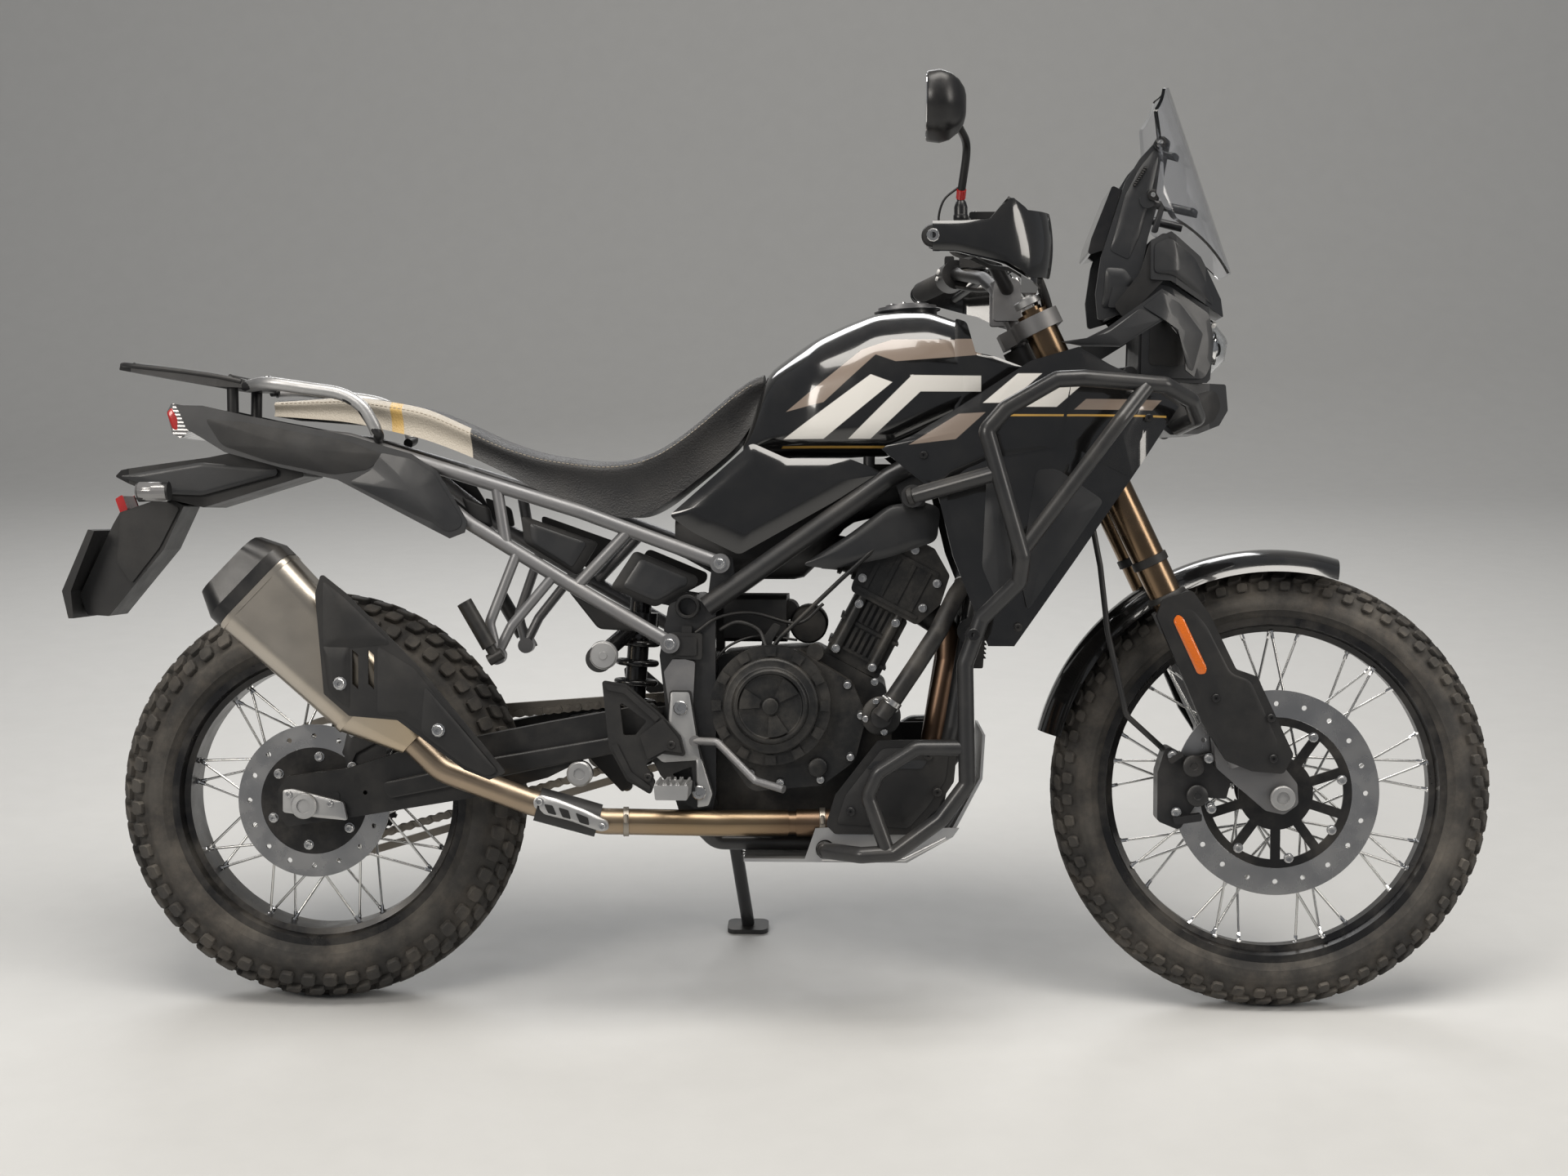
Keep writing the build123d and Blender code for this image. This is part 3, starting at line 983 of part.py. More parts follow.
# ---------------------------------------------------------------- foot controls, stand, chain, rear brake
PEG_X, PEG_Y, PEG_Z = 577, 170, 362        # middle of a rider's peg's hinge pin
PEG_PIN = 3.5
FOOT_PLATE = [(566, 508), (598, 508), (612, 420), (634, 350), (628, 330), (606, 326), (590, 336), (552, 378),
              (536, 410), (560, 420)]
HEEL_GUARD = [(463, 524), (500, 518), (556, 470), (584, 439), (592, 408), (556, 412), (530, 396), (545, 369),
              (538, 349), (501, 371), (474, 421)]
with BuildPart() as footrest_plates:
    slab(FOOT_PLATE, 147 + FIT, 158, -1, 5)
    slab([(570, 380), (600, 392), (602, 372), (588, 360)], 130, 170, -1, 2, Mode.SUBTRACT)
    slab(HEEL_GUARD, 160, 168, -1, 4)
    slab([(490, 492), (532, 462), (514, 440), (496, 440)], 150, 180, -1, 3, Mode.SUBTRACT)
    boss(570, 426, 156, 161, 8, -1)
    boss(534, 376, 156, 161, 8, -1)
    for back in (PEG_X - 29, PEG_X + 17):
        slab([(back, PEG_Z - 7), (back + 12, PEG_Z - 7), (back + 12, PEG_Z + 7), (back, PEG_Z + 7)], 158,
             174, -1, 0)
    bar((PEG_X - 27, -PEG_Y, PEG_Z), (PEG_X + 27, -PEG_Y, PEG_Z), PEG_PIN)
    mirror(about=Plane.XZ)
store(footrest_plates, "footrest_plates")

with BuildPart() as rider_peg:
    slab([(PEG_X - 16.5, PEG_Z - 8), (PEG_X + 16.5, PEG_Z - 8), (PEG_X + 16.5, PEG_Z + 8),
          (PEG_X - 16.5, PEG_Z + 8)],
         162, 182, -1, 3)
    slab([(PEG_X - 24, PEG_Z - 10), (PEG_X + 24, PEG_Z - 10), (PEG_X + 26, PEG_Z + 12),
          (PEG_X - 26, PEG_Z + 12)],
         180, 262, -1, 3)
    slab([(PEG_X - 15, PEG_Z - 20), (PEG_X + 15, PEG_Z - 20), (PEG_X + 15, PEG_Z + 20),
          (PEG_X - 15, PEG_Z + 20)],
         188, 254, -1, 2, Mode.SUBTRACT)
    bar((PEG_X - 20, -PEG_Y, PEG_Z), (PEG_X + 20, -PEG_Y, PEG_Z), PEG_PIN + FIT, Mode.SUBTRACT)
store(rider_peg, "rider_peg_right")
mirrored(rider_peg, "rider_peg_left")

PEG_HINGE = Vector(PASSENGER_PIVOT[0], -PASSENGER_HINGE_Y, PASSENGER_PIVOT[1])
with BuildPart() as passenger_peg:
    bar(PEG_HINGE - PEG_FOLD_AXIS * 12, PEG_HINGE + PEG_FOLD_AXIS * 12, 9)
    bar(PEG_HINGE, PEG_HINGE + PEG_FOLDED * 20, 8)
    bar(PEG_HINGE + PEG_FOLDED * 18, PEG_HINGE + PEG_FOLDED * 96, 12)
store(passenger_peg, "passenger_peg_right")
mirrored(passenger_peg, "passenger_peg_left")

with BuildPart() as foot_controls:
    bent_tube([(604, -166, 432), (640, -180, 432), (700, -206, 376), (744, -232, 366)], 6, 12)
    bar((605, -158.3, 432), (605, -172, 432), 8)
    bent_tube([(613, 166, 392), (700, 178, 372), (744, 200, 376), (744, 236, 376)], 6, 12)
    bar((613, 158.3, 394), (613, 172, 394), 8)
    slab([(566, 470), (600, 470), (604, 552), (572, 559), (556, 536)], 130.3, 146, -1, 5)
    bar((583, -120, 482), (583, -150, 482), 14 + FIT, Mode.SUBTRACT)
store(foot_controls, "foot_controls")

with BuildPart() as side_stand:
    bar(STAND_PIVOT, STAND_FOOT, STAND_BARREL - 2)
    bar(STAND_PIVOT - STAND_AXIS * STAND_BARREL, STAND_PIVOT + STAND_AXIS * STAND_BARREL, 17)
    with BuildSketch(Plane(origin=STAND_GROUND, x_dir=(1, 0, 0), z_dir=FLOOR_UP)):
        RectangleRounded(70, 54, 14)
    extrude(amount=8)
    with BuildSketch(Plane(origin=STAND_GROUND, x_dir=(1, 0, 0), z_dir=FLOOR_UP)):
        Rectangle(400, 400)
    extrude(amount=-60, mode=Mode.SUBTRACT)
    bar(STAND_PIVOT - STAND_AXIS * 20, STAND_PIVOT + STAND_AXIS * 20, STAND_PIN + 0.08, Mode.SUBTRACT)
store(side_stand, "side_stand")

# ---------------------------------------------------------------- lean, centre and write
def lean_over(piece, shift_x=0.0, shift_y=0.0):
    """The piece leaned onto the stand about the floor line, then moved sideways over the floor."""
    return piece.moved(Location((shift_x, shift_y, 0), (-LEAN, 0, 0)))


boxes = [lean_over(piece).bounding_box() for piece in parts.values()]
CENTRE_X = (min(box.min.X for box in boxes) + max(box.max.X for box in boxes)) / 2
CENTRE_Y = (min(box.min.Y for box in boxes) + max(box.max.Y for box in boxes)) / 2
for name, piece in parts.items():
    placed = lean_over(piece, -CENTRE_X, -CENTRE_Y)
    placed.label = name
    export_step(placed, f"parts/{name}.step")
print(len(parts), "pieces, centred by", round(CENTRE_X, 2), round(CENTRE_Y, 2))
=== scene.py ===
# %% [markdown]
# # An adventure motorcycle on its side stand
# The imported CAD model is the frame: every node keeps its place, and this script gives it its finish. Pieces
# that CAD leaves plain, such as tyre tread, the chain, the lamp's inside and the seat cover, are worked out
# here as surfaces with numpy and set on the same measures. All of it is in metres, in the frame of the CAD
# model.

import json
from math import cos, pi, radians, sin, tan

import bpy
import numpy as np
from mathutils import Matrix, Vector


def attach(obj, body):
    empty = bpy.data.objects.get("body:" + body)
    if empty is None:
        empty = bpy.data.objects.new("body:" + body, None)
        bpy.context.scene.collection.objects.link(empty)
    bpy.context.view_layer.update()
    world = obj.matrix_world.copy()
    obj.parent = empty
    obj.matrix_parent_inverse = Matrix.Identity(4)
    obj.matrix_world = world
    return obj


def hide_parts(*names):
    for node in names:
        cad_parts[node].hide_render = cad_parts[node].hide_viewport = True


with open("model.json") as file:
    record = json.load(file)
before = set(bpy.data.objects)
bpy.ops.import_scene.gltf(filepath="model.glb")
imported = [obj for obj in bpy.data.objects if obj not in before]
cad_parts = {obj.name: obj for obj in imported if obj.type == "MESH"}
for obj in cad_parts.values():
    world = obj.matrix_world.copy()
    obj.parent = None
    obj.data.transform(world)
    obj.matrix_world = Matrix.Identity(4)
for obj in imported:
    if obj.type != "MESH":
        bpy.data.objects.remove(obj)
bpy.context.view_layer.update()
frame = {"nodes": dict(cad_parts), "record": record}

# %% [markdown]
# ## The upright machine
# A motorcycle is measured standing straight up: X forward from the rear axle, Y to its left, Z up from the
# floor, in millimetres. On its side stand it leans 11.5 degrees to the left, so one function turns upright
# measures into the frame's metres. Working upright keeps left and right alike, and every number reads like
# one on a drawing.

# %% Upright measures to frame metres
LEAN = radians(11.5)
CENTRE = (726.5, 231.98)
FRONT_AXLE = np.array((1505.0, 0.0, 346.958))
REAR_AXLE = np.array((0.0, 0.0, 326.549))
RAKE = radians(25.5)
STEER_AXIS = np.array((-sin(RAKE), 0.0, cos(RAKE)))
STEER_AHEAD = np.array((cos(RAKE), 0.0, sin(RAKE)))
# where the steering axis meets the floor, the clamps' offset from it, and each leg's distance from the
# middle
STEER_FOOT, CLAMP_OFFSET, LEG_SPREAD = 1607, 30, 105.0


def lean(points):
    """Upright millimetres to frame metres: a turn about X by the lean, then a shift to the box's middle."""
    p = np.asarray(points, float)
    y = p[..., 1] * cos(LEAN) + p[..., 2] * sin(LEAN) - CENTRE[1]
    z = p[..., 2] * cos(LEAN) - p[..., 1] * sin(LEAN)
    return np.stack([p[..., 0] - CENTRE[0], y, z], -1) / 1000


def unit(v):
    """Vectors divided by their own lengths."""
    v = np.asarray(v, float)
    return v / np.linalg.norm(v, axis=-1, keepdims=True)


def leg_point(z, side, ahead=0.0):
    """A point of a fork leg's centre line near height z: on the steering axis, then the clamps' offset
    ahead of it."""
    level = z - CLAMP_OFFSET * sin(RAKE)
    on_axis = np.array((STEER_FOOT - level * tan(RAKE), LEG_SPREAD * side, level))
    return on_axis + STEER_AHEAD * (CLAMP_OFFSET + ahead)


print("front axle in the frame", lean(FRONT_AXLE).round(4))

# %% [markdown]
# ## Meshes from arrays
# Nearly every piece is one of three kinds: a grid bent into a surface, an outline given a thickness, or a
# section carried along a path. Each helper works out all its points at once as an array and hands them to
# Blender in one call, which is quick and keeps the formula in plain sight.

# %% Mesh helpers
pieces = {}


RIGHTWARD, LEFTWARD, UPWARD = (0, -1, 0), (0, 1, 0), (0, 0, 1)


def add_piece(name, verts, faces, body, material, bevel=0.0, smooth=40, slot=None, replaces=(), solid=0.0,
              subdiv=0):
    """A mesh piece in upright millimetres: points (n, 3) and a list of face arrays, each (m, corners)."""
    mesh = bpy.data.meshes.new(name)
    faces = faces if isinstance(faces, list) else [faces]
    loops = np.concatenate([f.ravel() for f in faces]).astype(np.int32)
    sizes = np.concatenate([np.full(len(f), f.shape[1]) for f in faces]).astype(np.int32)
    starts = np.concatenate([[0], np.cumsum(sizes)[:-1]]).astype(np.int32)
    points = lean(verts)
    mesh.vertices.add(len(points))
    mesh.vertices.foreach_set("co", points.ravel())
    mesh.loops.add(len(loops))
    mesh.loops.foreach_set("vertex_index", loops)
    mesh.polygons.add(len(sizes))
    mesh.polygons.foreach_set("loop_start", starts)
    mesh.update(calc_edges=True)
    mesh.validate()
    mesh.materials.append(material)
    obj = bpy.data.objects.new(name, mesh)
    bpy.context.scene.collection.objects.link(obj)
    if smooth:
        mesh.shade_smooth()
        if not subdiv:
            mesh.set_sharp_from_angle(angle=radians(smooth))
    if solid:
        wall = obj.modifiers.new("wall", "SOLIDIFY")
        wall.thickness, wall.offset = solid / 1000, 0
    if bevel:
        edge = obj.modifiers.new("edge", "BEVEL")
        edge.width, edge.segments, edge.limit_method, edge.angle_limit = bevel / 1000, 2, "ANGLE", radians(35)
        edge.harden_normals = True
    if subdiv:
        finer = obj.modifiers.new("finer", "SUBSURF")
        finer.levels = finer.render_levels = subdiv
    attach(obj, body)
    if replaces:
        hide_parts(*replaces)
    pieces[name] = obj
    return obj


def grid_faces(rows, columns, close_rows=False, close_columns=False):
    """The quads of a grid of points stored row by row; a closed direction joins its last line to its
    first."""
    r = np.arange(rows if close_rows else rows - 1)[:, None]
    c = np.arange(columns if close_columns else columns - 1)[None, :]
    right, up = (c + 1) % columns, (r + 1) % rows
    corners = [r * columns + c, r * columns + right, up * columns + right, up * columns + c]
    return np.stack([np.broadcast_to(k, (len(r), c.shape[1])).ravel() for k in corners], -1)


def join(parts):
    """Several (points, face list) pairs as one pair."""
    verts, faces, base = [], [], 0
    for points, found in parts:
        verts.append(np.asarray(points, float).reshape(-1, 3))
        faces += [f + base for f in (found if isinstance(found, list) else [found])]
        base += len(verts[-1])
    return np.concatenate(verts), faces


def mirror(part):
    """The same part on the machine's other side, with its faces turned to point outwards again."""
    points, faces = part
    return points * (1, -1, 1), [f[:, ::-1] for f in (faces if isinstance(faces, list) else [faces])]


def both(part):
    """A part and its mirror image."""
    return join([part, mirror(part)])


def rounded(outline, radius, steps=4):
    """An outline with each corner cut by an arc: a blend of the corner and points a radius along its two
    sides."""
    p = np.asarray(outline, float)
    before, after = unit(np.roll(p, 1, 0) - p), unit(np.roll(p, -1, 0) - p)
    room = np.minimum(np.linalg.norm(np.roll(p, 1, 0) - p, axis=1),
                      np.linalg.norm(np.roll(p, -1, 0) - p, axis=1)) * 0.45
    reach = np.minimum(np.broadcast_to(radius, len(p)), room)[:, None, None]
    t = np.linspace(0, 1, steps + 1)[None, :, None]
    start, end = p[:, None] + before[:, None] * reach, p[:, None] + after[:, None] * reach
    curve = (1 - t) ** 2 * start + 2 * t * (1 - t) * p[:, None] + t ** 2 * end
    return curve.reshape(-1, p.shape[1])


def plate(outline, inner, outer, rounding=0.0, side=-1, steps=4):
    """An outline of (x, z) given a thickness across the machine, from one distance to another on one
    side."""
    p = rounded(outline, rounding, steps) if rounding else np.asarray(outline, float)
    n, (low, high) = len(p), sorted((side * inner, side * outer))
    area = np.sum(p[:, 0] * np.roll(p[:, 1], -1) - np.roll(p[:, 0], -1) * p[:, 1])
    p = p if area > 0 else p[::-1]
    points = np.concatenate([np.stack([p[:, 0], np.full(n, y), p[:, 1]], -1) for y in (low, high)])
    k = np.arange(n)
    walls = np.stack([k, (k + 1) % n, (k + 1) % n + n, k + n], -1)
    return points, [walls, k[None, :], (k + n)[None, ::-1]]


def frames(path):
    """Two arrays of unit vectors across a path, taken from the direction that its runs use least."""
    t = np.gradient(path, axis=0)
    t = unit(t)
    spare = np.linalg.svd(t, full_matrices=True)[2][-1]
    a = unit(np.cross(t, spare))
    return a, np.cross(a, t) * -1


def tube(path, radius, sides=12, caps=True, flat=1.0):
    """A round section carried along a path: each ring is the path's point plus a circle across it."""
    path = np.asarray(path, float)
    a, b = frames(path)
    turn = np.linspace(0, 2 * pi, sides, endpoint=False)
    r = np.broadcast_to(radius, len(path))[:, None, None]
    ring = path[:, None] + r * (np.cos(turn)[None, :, None] * a[:, None] + flat
                                * np.sin(turn)[None, :, None] * b[:, None])
    faces = [grid_faces(len(path), sides, close_columns=True)[:, ::-1]]
    points = ring.reshape(-1, 3)
    if caps:
        last = len(points) - sides + np.arange(sides)
        faces += [np.arange(sides)[None, :], last[None, ::-1]]
    return points, faces


def smooth_path(points, count=40):
    """A curve through its points: between each pair, the cubic that leaves along the line of its
    neighbours."""
    p = np.asarray(points, float)
    p = np.concatenate([[2 * p[0] - p[1]], p, [2 * p[-1] - p[-2]]])
    u = np.linspace(0, len(p) - 3, count)
    k = np.minimum(u.astype(int), len(p) - 4)
    t = (u - k)[:, None]
    p0, p1, p2, p3 = p[k], p[k + 1], p[k + 2], p[k + 3]
    return 0.5 * (2 * p1 + (p2 - p0) * t + (2 * p0 - 5 * p1 + 4 * p2 - p3) * t ** 2
                  + (3 * p1 - p0 - 3 * p2 + p3) * t ** 3)


def lathe(profile, centre, axis, sides=32):
    """A profile of (radius, distance along the axis) turned about that axis."""
    profile, axis = np.asarray(profile, float), unit(axis)
    a = unit(np.cross(axis, (0.31, 0.17, 0.93)))
    b = np.cross(axis, a)
    turn = np.linspace(0, 2 * pi, sides, endpoint=False)
    around = np.cos(turn)[:, None] * a + np.sin(turn)[:, None] * b
    ring = np.asarray(centre) + profile[:, None, :1] * around[None] + profile[:, None, 1:] * axis
    faces = [grid_faces(len(profile), sides, close_columns=True)]
    last = (len(profile) - 1) * sides + np.arange(sides)
    faces += [np.arange(sides)[None, ::-1], last[None, :]]
    return ring.reshape(-1, 3), faces


def repeat(part, places, turns):
    """A small part set at many places: points times one turning matrix each (k, 3, 3), plus one place
    each."""
    points, faces = part
    many = np.einsum("kij,nj->kni", turns, points) + np.asarray(places)[:, None]
    step = np.arange(len(places))[:, None, None] * len(points)
    faces = [(f[None] + step).reshape(-1, f.shape[1])
             for f in (faces if isinstance(faces, list) else [faces])]
    return many.reshape(-1, 3), faces


def turned_to(axes, ahead=(0.31, 0.17, 0.93)):
    """Matrices that take a part's own z to each given axis."""
    w = unit(np.atleast_2d(axes))
    u = unit(np.cross(ahead, w))
    return np.stack([u, np.cross(w, u), w], -1)


print("helpers ready")

# %% [markdown]
# ## Writing shader nodes
# A finish is a small tree of nodes. This class writes one: each call adds a node, feeds it and gives back
# an output, so a tree reads like a sentence. Effects that many finishes share are node groups, built once.

# %% Node writer and shared groups
class Recipe:
    """Adds nodes to a tree; inputs take numbers, colours or other nodes' outputs."""

    def __init__(self, tree):
        """Every later call adds its nodes to this one tree."""
        self.tree = tree

    def node(self, kind, inputs=(), out=0, **settings):
        """One shader node: an input that is a socket is linked, and any other is set as a constant."""
        made = self.tree.nodes.new("ShaderNode" + kind)
        for key, value in settings.items():
            setattr(made, key, value)
        for key, value in dict(inputs).items():
            if isinstance(value, bpy.types.NodeSocket):
                self.tree.links.new(value, made.inputs[key])
            else:
                made.inputs[key].default_value = value
        return made.outputs[out]

    def place(self):
        """The surface point in the piece's own frame, in metres."""
        return self.node("TexCoord", out="Object")

    def noise(self, scale, detail=3.0, vector=None, rough=0.5):
        """Fractal noise: detail octaves, each twice as fine as the last and rough times as strong."""
        vector = vector or self.place()
        return self.node("TexNoise", {"Vector": vector, "Scale": scale, "Detail": detail,
                "Roughness": rough}, out=0)

    def stretched(self, sizes, turn=(0, 0, 0)):
        """Point, turned and then multiplied by sizes, so a pattern grows long where a size is small."""
        return self.node("Mapping", {"Vector": self.place(), "Scale": sizes, "Rotation": turn})

    def step(self, value, low, high, start=0.0, end=1.0):
        """Smooth step: start below low, end above high, and 3t^2 - 2t^3 of the way between them."""
        return self.node("MapRange", {0: value, 1: low, 2: high, 3: start, 4: end},
                         interpolation_type="SMOOTHSTEP")

    def math(self, how, a, b=0.0):
        """One scalar operation on a and b."""
        return self.node("Math", {0: a, 1: b}, operation=how)

    def mix(self, mask, a, b):
        """(1 - mask) * a + mask * b, colour by colour."""
        return self.node("Mix", {0: mask, 6: a, 7: b}, out=2, data_type="RGBA")

    def upright(self):
        """The surface's place in upright millimetres: the object's place scaled, turned back and moved."""
        shift = (CENTRE[0], CENTRE[1] * cos(LEAN), CENTRE[1] * sin(LEAN))
        values = {"Vector": self.place(), "Scale": (1000,) * 3, "Rotation": (LEAN, 0, 0), "Location": shift}
        return self.node("Mapping", values)

    def group(self, tree, out=0, **inputs):
        """A shared node group, with its inputs linked or set by name."""
        made = self.tree.nodes.new("ShaderNodeGroup")
        made.node_tree = tree
        for key, value in inputs.items():
            socket = made.inputs[key.replace("_", " ")]
            if isinstance(value, bpy.types.NodeSocket):
                self.tree.links.new(value, socket)
            else:
                socket.default_value = value
        return made.outputs[out]


def new_group(name, inputs, outputs):
    """An empty node group with named sockets, and the two nodes its inside starts and ends with."""
    tree = bpy.data.node_groups.new(name, "ShaderNodeTree")
    for way, sockets in (("INPUT", inputs), ("OUTPUT", outputs)):
        for label, kind in sockets.items():
            tree.interface.new_socket(label, in_out=way, socket_type="NodeSocket" + kind)
    return tree, tree.nodes.new("NodeGroupInput").outputs, tree.nodes.new("NodeGroupOutput").inputs


def dust_group():
    """Dust = amount x cloudy noise x how far the surface faces up."""
    tree, given, made = new_group("dust", {"Scale": "Float", "Amount": "Float"}, {"Mask": "Float"})
    r = Recipe(tree)
    up = r.node("SeparateXYZ", {0: r.node("TexCoord", out="Normal")}, out=2)
    facing = r.step(up, -0.3, 1.0, 0.25, 1.0)
    cloud = r.step(r.noise(given["Scale"], 6.0, rough=0.65), 0.38, 0.72)
    tree.links.new(r.math("MULTIPLY", r.math("MULTIPLY", cloud, facing), given["Amount"]), made["Mask"])
    return tree


def scratch_group():
    """Scratches = amount x the thin crests of two noises stretched along crossing lines."""
    tree, given, made = new_group("scratches", {"Scale": "Float", "Amount": "Float"}, {"Mask": "Float"})
    r = Recipe(tree)
    lines = []
    for turn in ((0.3, 0.5, 0.4), (0.9, -0.4, -0.7)):
        across = r.stretched((1, 1, 0.06), turn)
        crest = r.math("ABSOLUTE", r.math("SUBTRACT", r.noise(given["Scale"], 1.0, across), 0.5))
        lines.append(r.step(crest, 0.0, 0.006, 1.0, 0.0))
    patchy = r.step(r.noise(9.0, 2.0), 0.45, 0.65)
    both_lines = r.math("MULTIPLY", r.math("MAXIMUM", *lines), patchy)
    tree.links.new(r.math("MULTIPLY", both_lines, given["Amount"]), made["Mask"])
    return tree


def drift_group():
    """Colour drift = the colour made lighter or darker by slow noise, by at most the amount."""
    names = {"Color": "Color", "Scale": "Float", "Amount": "Float"}
    tree, given, made = new_group("colour drift", names, {"Color": "Color"})
    r = Recipe(tree)
    swing = r.math("MULTIPLY", r.math("SUBTRACT", r.noise(given["Scale"], 5.0), 0.5), given["Amount"])
    value = r.math("ADD", r.math("MULTIPLY", swing, 3.0), 1.0)
    tree.links.new(r.node("HueSaturation", {"Color": given["Color"], "Value": value}), made["Color"])
    return tree


def grain_group():
    """Moulded grain = small rounded cells plus finer noise, as a height from 0 to 1."""
    tree, given, made = new_group("moulded grain", {"Scale": "Float"}, {"Height": "Float"})
    r = Recipe(tree)
    cells = r.node("TexVoronoi", {"Vector": r.place(), "Scale": given["Scale"]}, out="Distance",
                   feature="SMOOTH_F1")
    fine = r.noise(r.math("MULTIPLY", given["Scale"], 2.3), 2.0)
    tree.links.new(r.math("MULTIPLY", r.math("ADD", cells, fine), 0.6), made["Height"])
    return tree


DUST, SCRATCHES, DRIFT, GRAIN = dust_group(), scratch_group(), drift_group(), grain_group()
print("node groups", [tree.name for tree in bpy.data.node_groups])

# %% [markdown]
# ## A finish
# Painted, moulded, cast and polished surfaces differ in a few numbers: colour, gloss, metal, grain, dust
# and wear. One function takes those numbers and writes the whole material. Its last input is a list of
# layers, which are masks with their own colour and gloss, such as stripes on paint or brown heat tint on a
# pipe.

# %% The finish function
finishes = {}
DUST_COLOUR = (0.30, 0.27, 0.23, 1)


def finish(name, colour, rough, metal=0.0, grain=(900, 0.05), dust=0.12, drift=0.12, scratch=0.15, coat=0.0,
           layers=None, height=None, vary=0.10, drift_scale=14.0):
    """A Principled material: colour drifts, layers go over it, then dust; roughness follows noise, wear and
    dust."""
    material = bpy.data.materials.new(name)
    material.use_nodes = True
    tree = material.node_tree
    tree.nodes.clear()
    r = Recipe(tree)
    shader = tree.nodes.new("ShaderNodeBsdfPrincipled")
    tree.links.new(shader.outputs[0], tree.nodes.new("ShaderNodeOutputMaterial").inputs[0])
    seen = r.group(DRIFT, Color=(*colour, 1), Scale=drift_scale, Amount=drift)
    gloss = r.step(r.noise(24.0, 5.0), 0.3, 0.75, rough - vary / 2, rough + vary / 2)
    metal_map = metal
    for mask, layer_colour, layer_rough, layer_metal in (layers(r) if layers else ()):
        seen = r.mix(mask, seen, layer_colour)
        gloss = r.node("Mix", {0: mask, 2: gloss, 3: layer_rough}, out=0)
        if layer_metal != metal:
            metal_map = r.node("Mix", {0: mask, 2: metal_map, 3: layer_metal}, out=0)
    worn = r.group(SCRATCHES, Scale=60.0, Amount=scratch)
    gloss = r.math("ADD", gloss, r.math("MULTIPLY", worn, 0.25))
    settled = r.group(DUST, Scale=11.0, Amount=dust)
    seen = r.mix(settled, seen, DUST_COLOUR)
    gloss = r.math("ADD", gloss, r.math("MULTIPLY", settled, 0.5))
    inputs = {"Base Color": seen, "Roughness": gloss, "Metallic": metal_map, "Coat Weight": coat}
    relief = height(r) if height else r.group(GRAIN, Scale=grain[0])
    inputs["Normal"] = r.node("Bump", {"Height": relief, "Strength": grain[1], "Distance": 0.001})
    for key, value in inputs.items():
        if isinstance(value, bpy.types.NodeSocket):
            tree.links.new(value, shader.inputs[key])
        else:
            shader.inputs[key].default_value = value
    shader.inputs["Coat Roughness"].default_value = 0.04
    finishes[name] = material
    return material


def dress(name, mesh, body, finish_name, smooth=35, **how):
    """A piece in the named finish: add_piece with that material filled in."""
    return add_piece(name, *mesh, body, finishes[finish_name], smooth=smooth, slot=finish_name, **how)


def brushed(sizes, turn=(0, 0, 0), scale=1.0):
    """Fine lines along one direction: noise squeezed across it and stretched along it."""
    return lambda r: r.noise(scale, 3.0, r.stretched(sizes, turn))


def cast_skin(scale=700.0):
    """Sand-cast skin: rough noise at two sizes."""
    return lambda r: r.math("ADD", r.noise(scale, 4.0, rough=0.7), r.noise(scale / 6, 2.0))


print("finish function ready")

# %% [markdown]
# ## Stripes in paint
# The tank and the side wing wear a graphic of slanted bars in bronze and white over a thin gold line. Each
# bar is the overlap of a few half planes in upright X and Z, so its edge stays sharp at any size, and the
# same masks continue from one panel to the next.

# %% Blade masks
BRONZE, WARM_WHITE, GOLD = (0.235, 0.185, 0.150, 1), (0.72, 0.70, 0.66, 1), (0.50, 0.30, 0.07, 1)


def half_plane(r, place, a, b, edge=0.6):
    """1 on the left of the line from a to b, seen from the machine's right side with X forward and Z up."""
    along = unit(np.array(b, float) - np.array(a, float))
    normal = (-along[1], 0.0, along[0])
    offset = float(normal[0] * a[0] + normal[2] * a[1])
    reach = r.node("VectorMath", {0: place, 1: normal}, out="Value", operation="DOT_PRODUCT")
    return r.step(reach, offset - edge, offset + edge)


def blade(r, place, corners, edge=0.6):
    """The inside of a convex outline of (x, z), given anticlockwise: all its half planes at once."""
    mask = None
    for k, a in enumerate(corners):
        side = half_plane(r, place, a, corners[(k + 1) % len(corners)], edge)
        mask = side if mask is None else r.math("MULTIPLY", mask, side)
    return mask


def blade_layers(shapes, gloss):
    """Layers for a finish: each shape is (outline, colour)."""
    def layers(r):
        """A mask, a colour and a gloss for each outline."""
        place = r.upright()
        return [(blade(r, place, outline), colour, gloss, 0.0) for outline, colour in shapes]
    return layers


TANK_BLADES = [
    ([(742, 936), (800, 950), (905, 1046), (858, 1030)], BRONZE),
    ([(910, 1012), (1040, 1022), (1040, 1046), (905, 1046), (858, 1030)], BRONZE),
    ([(738, 894), (800, 894), (905, 980), (872, 992)], WARM_WHITE),
    ([(838, 894), (872, 894), (948, 966), (936, 992)], WARM_WHITE),
    ([(940, 966), (1040, 966), (1040, 990), (932, 991)], WARM_WHITE),
    ([(734, 880), (1030, 880), (1030, 883.5), (737, 883.5)], GOLD),
]
WING_BLADES = [
    ([(1040, 946), (1078, 946), (1128, 990), (1092, 990)], WARM_WHITE),
    ([(1104, 940), (1150, 940), (1200, 984), (1156, 990)], WARM_WHITE),
    ([(1176, 936), (1296, 936), (1312, 952), (1194, 952)], BRONZE),
    ([(930, 884), (1000, 892), (1044, 932), (1004, 930)], BRONZE),
    ([(1060, 926), (1320, 926), (1320, 929), (1063, 929)], GOLD),
]
print("blades", len(TANK_BLADES) + len(WING_BLADES))

# %% [markdown]
# ## Black parts
# Most of the machine is black, yet hardly two blacks are alike: lacquered panels mirror the room, moulded
# plastic scatters it, and engine castings are satin with a rough skin. Gloss, grain and dust set them
# apart, more than colour.

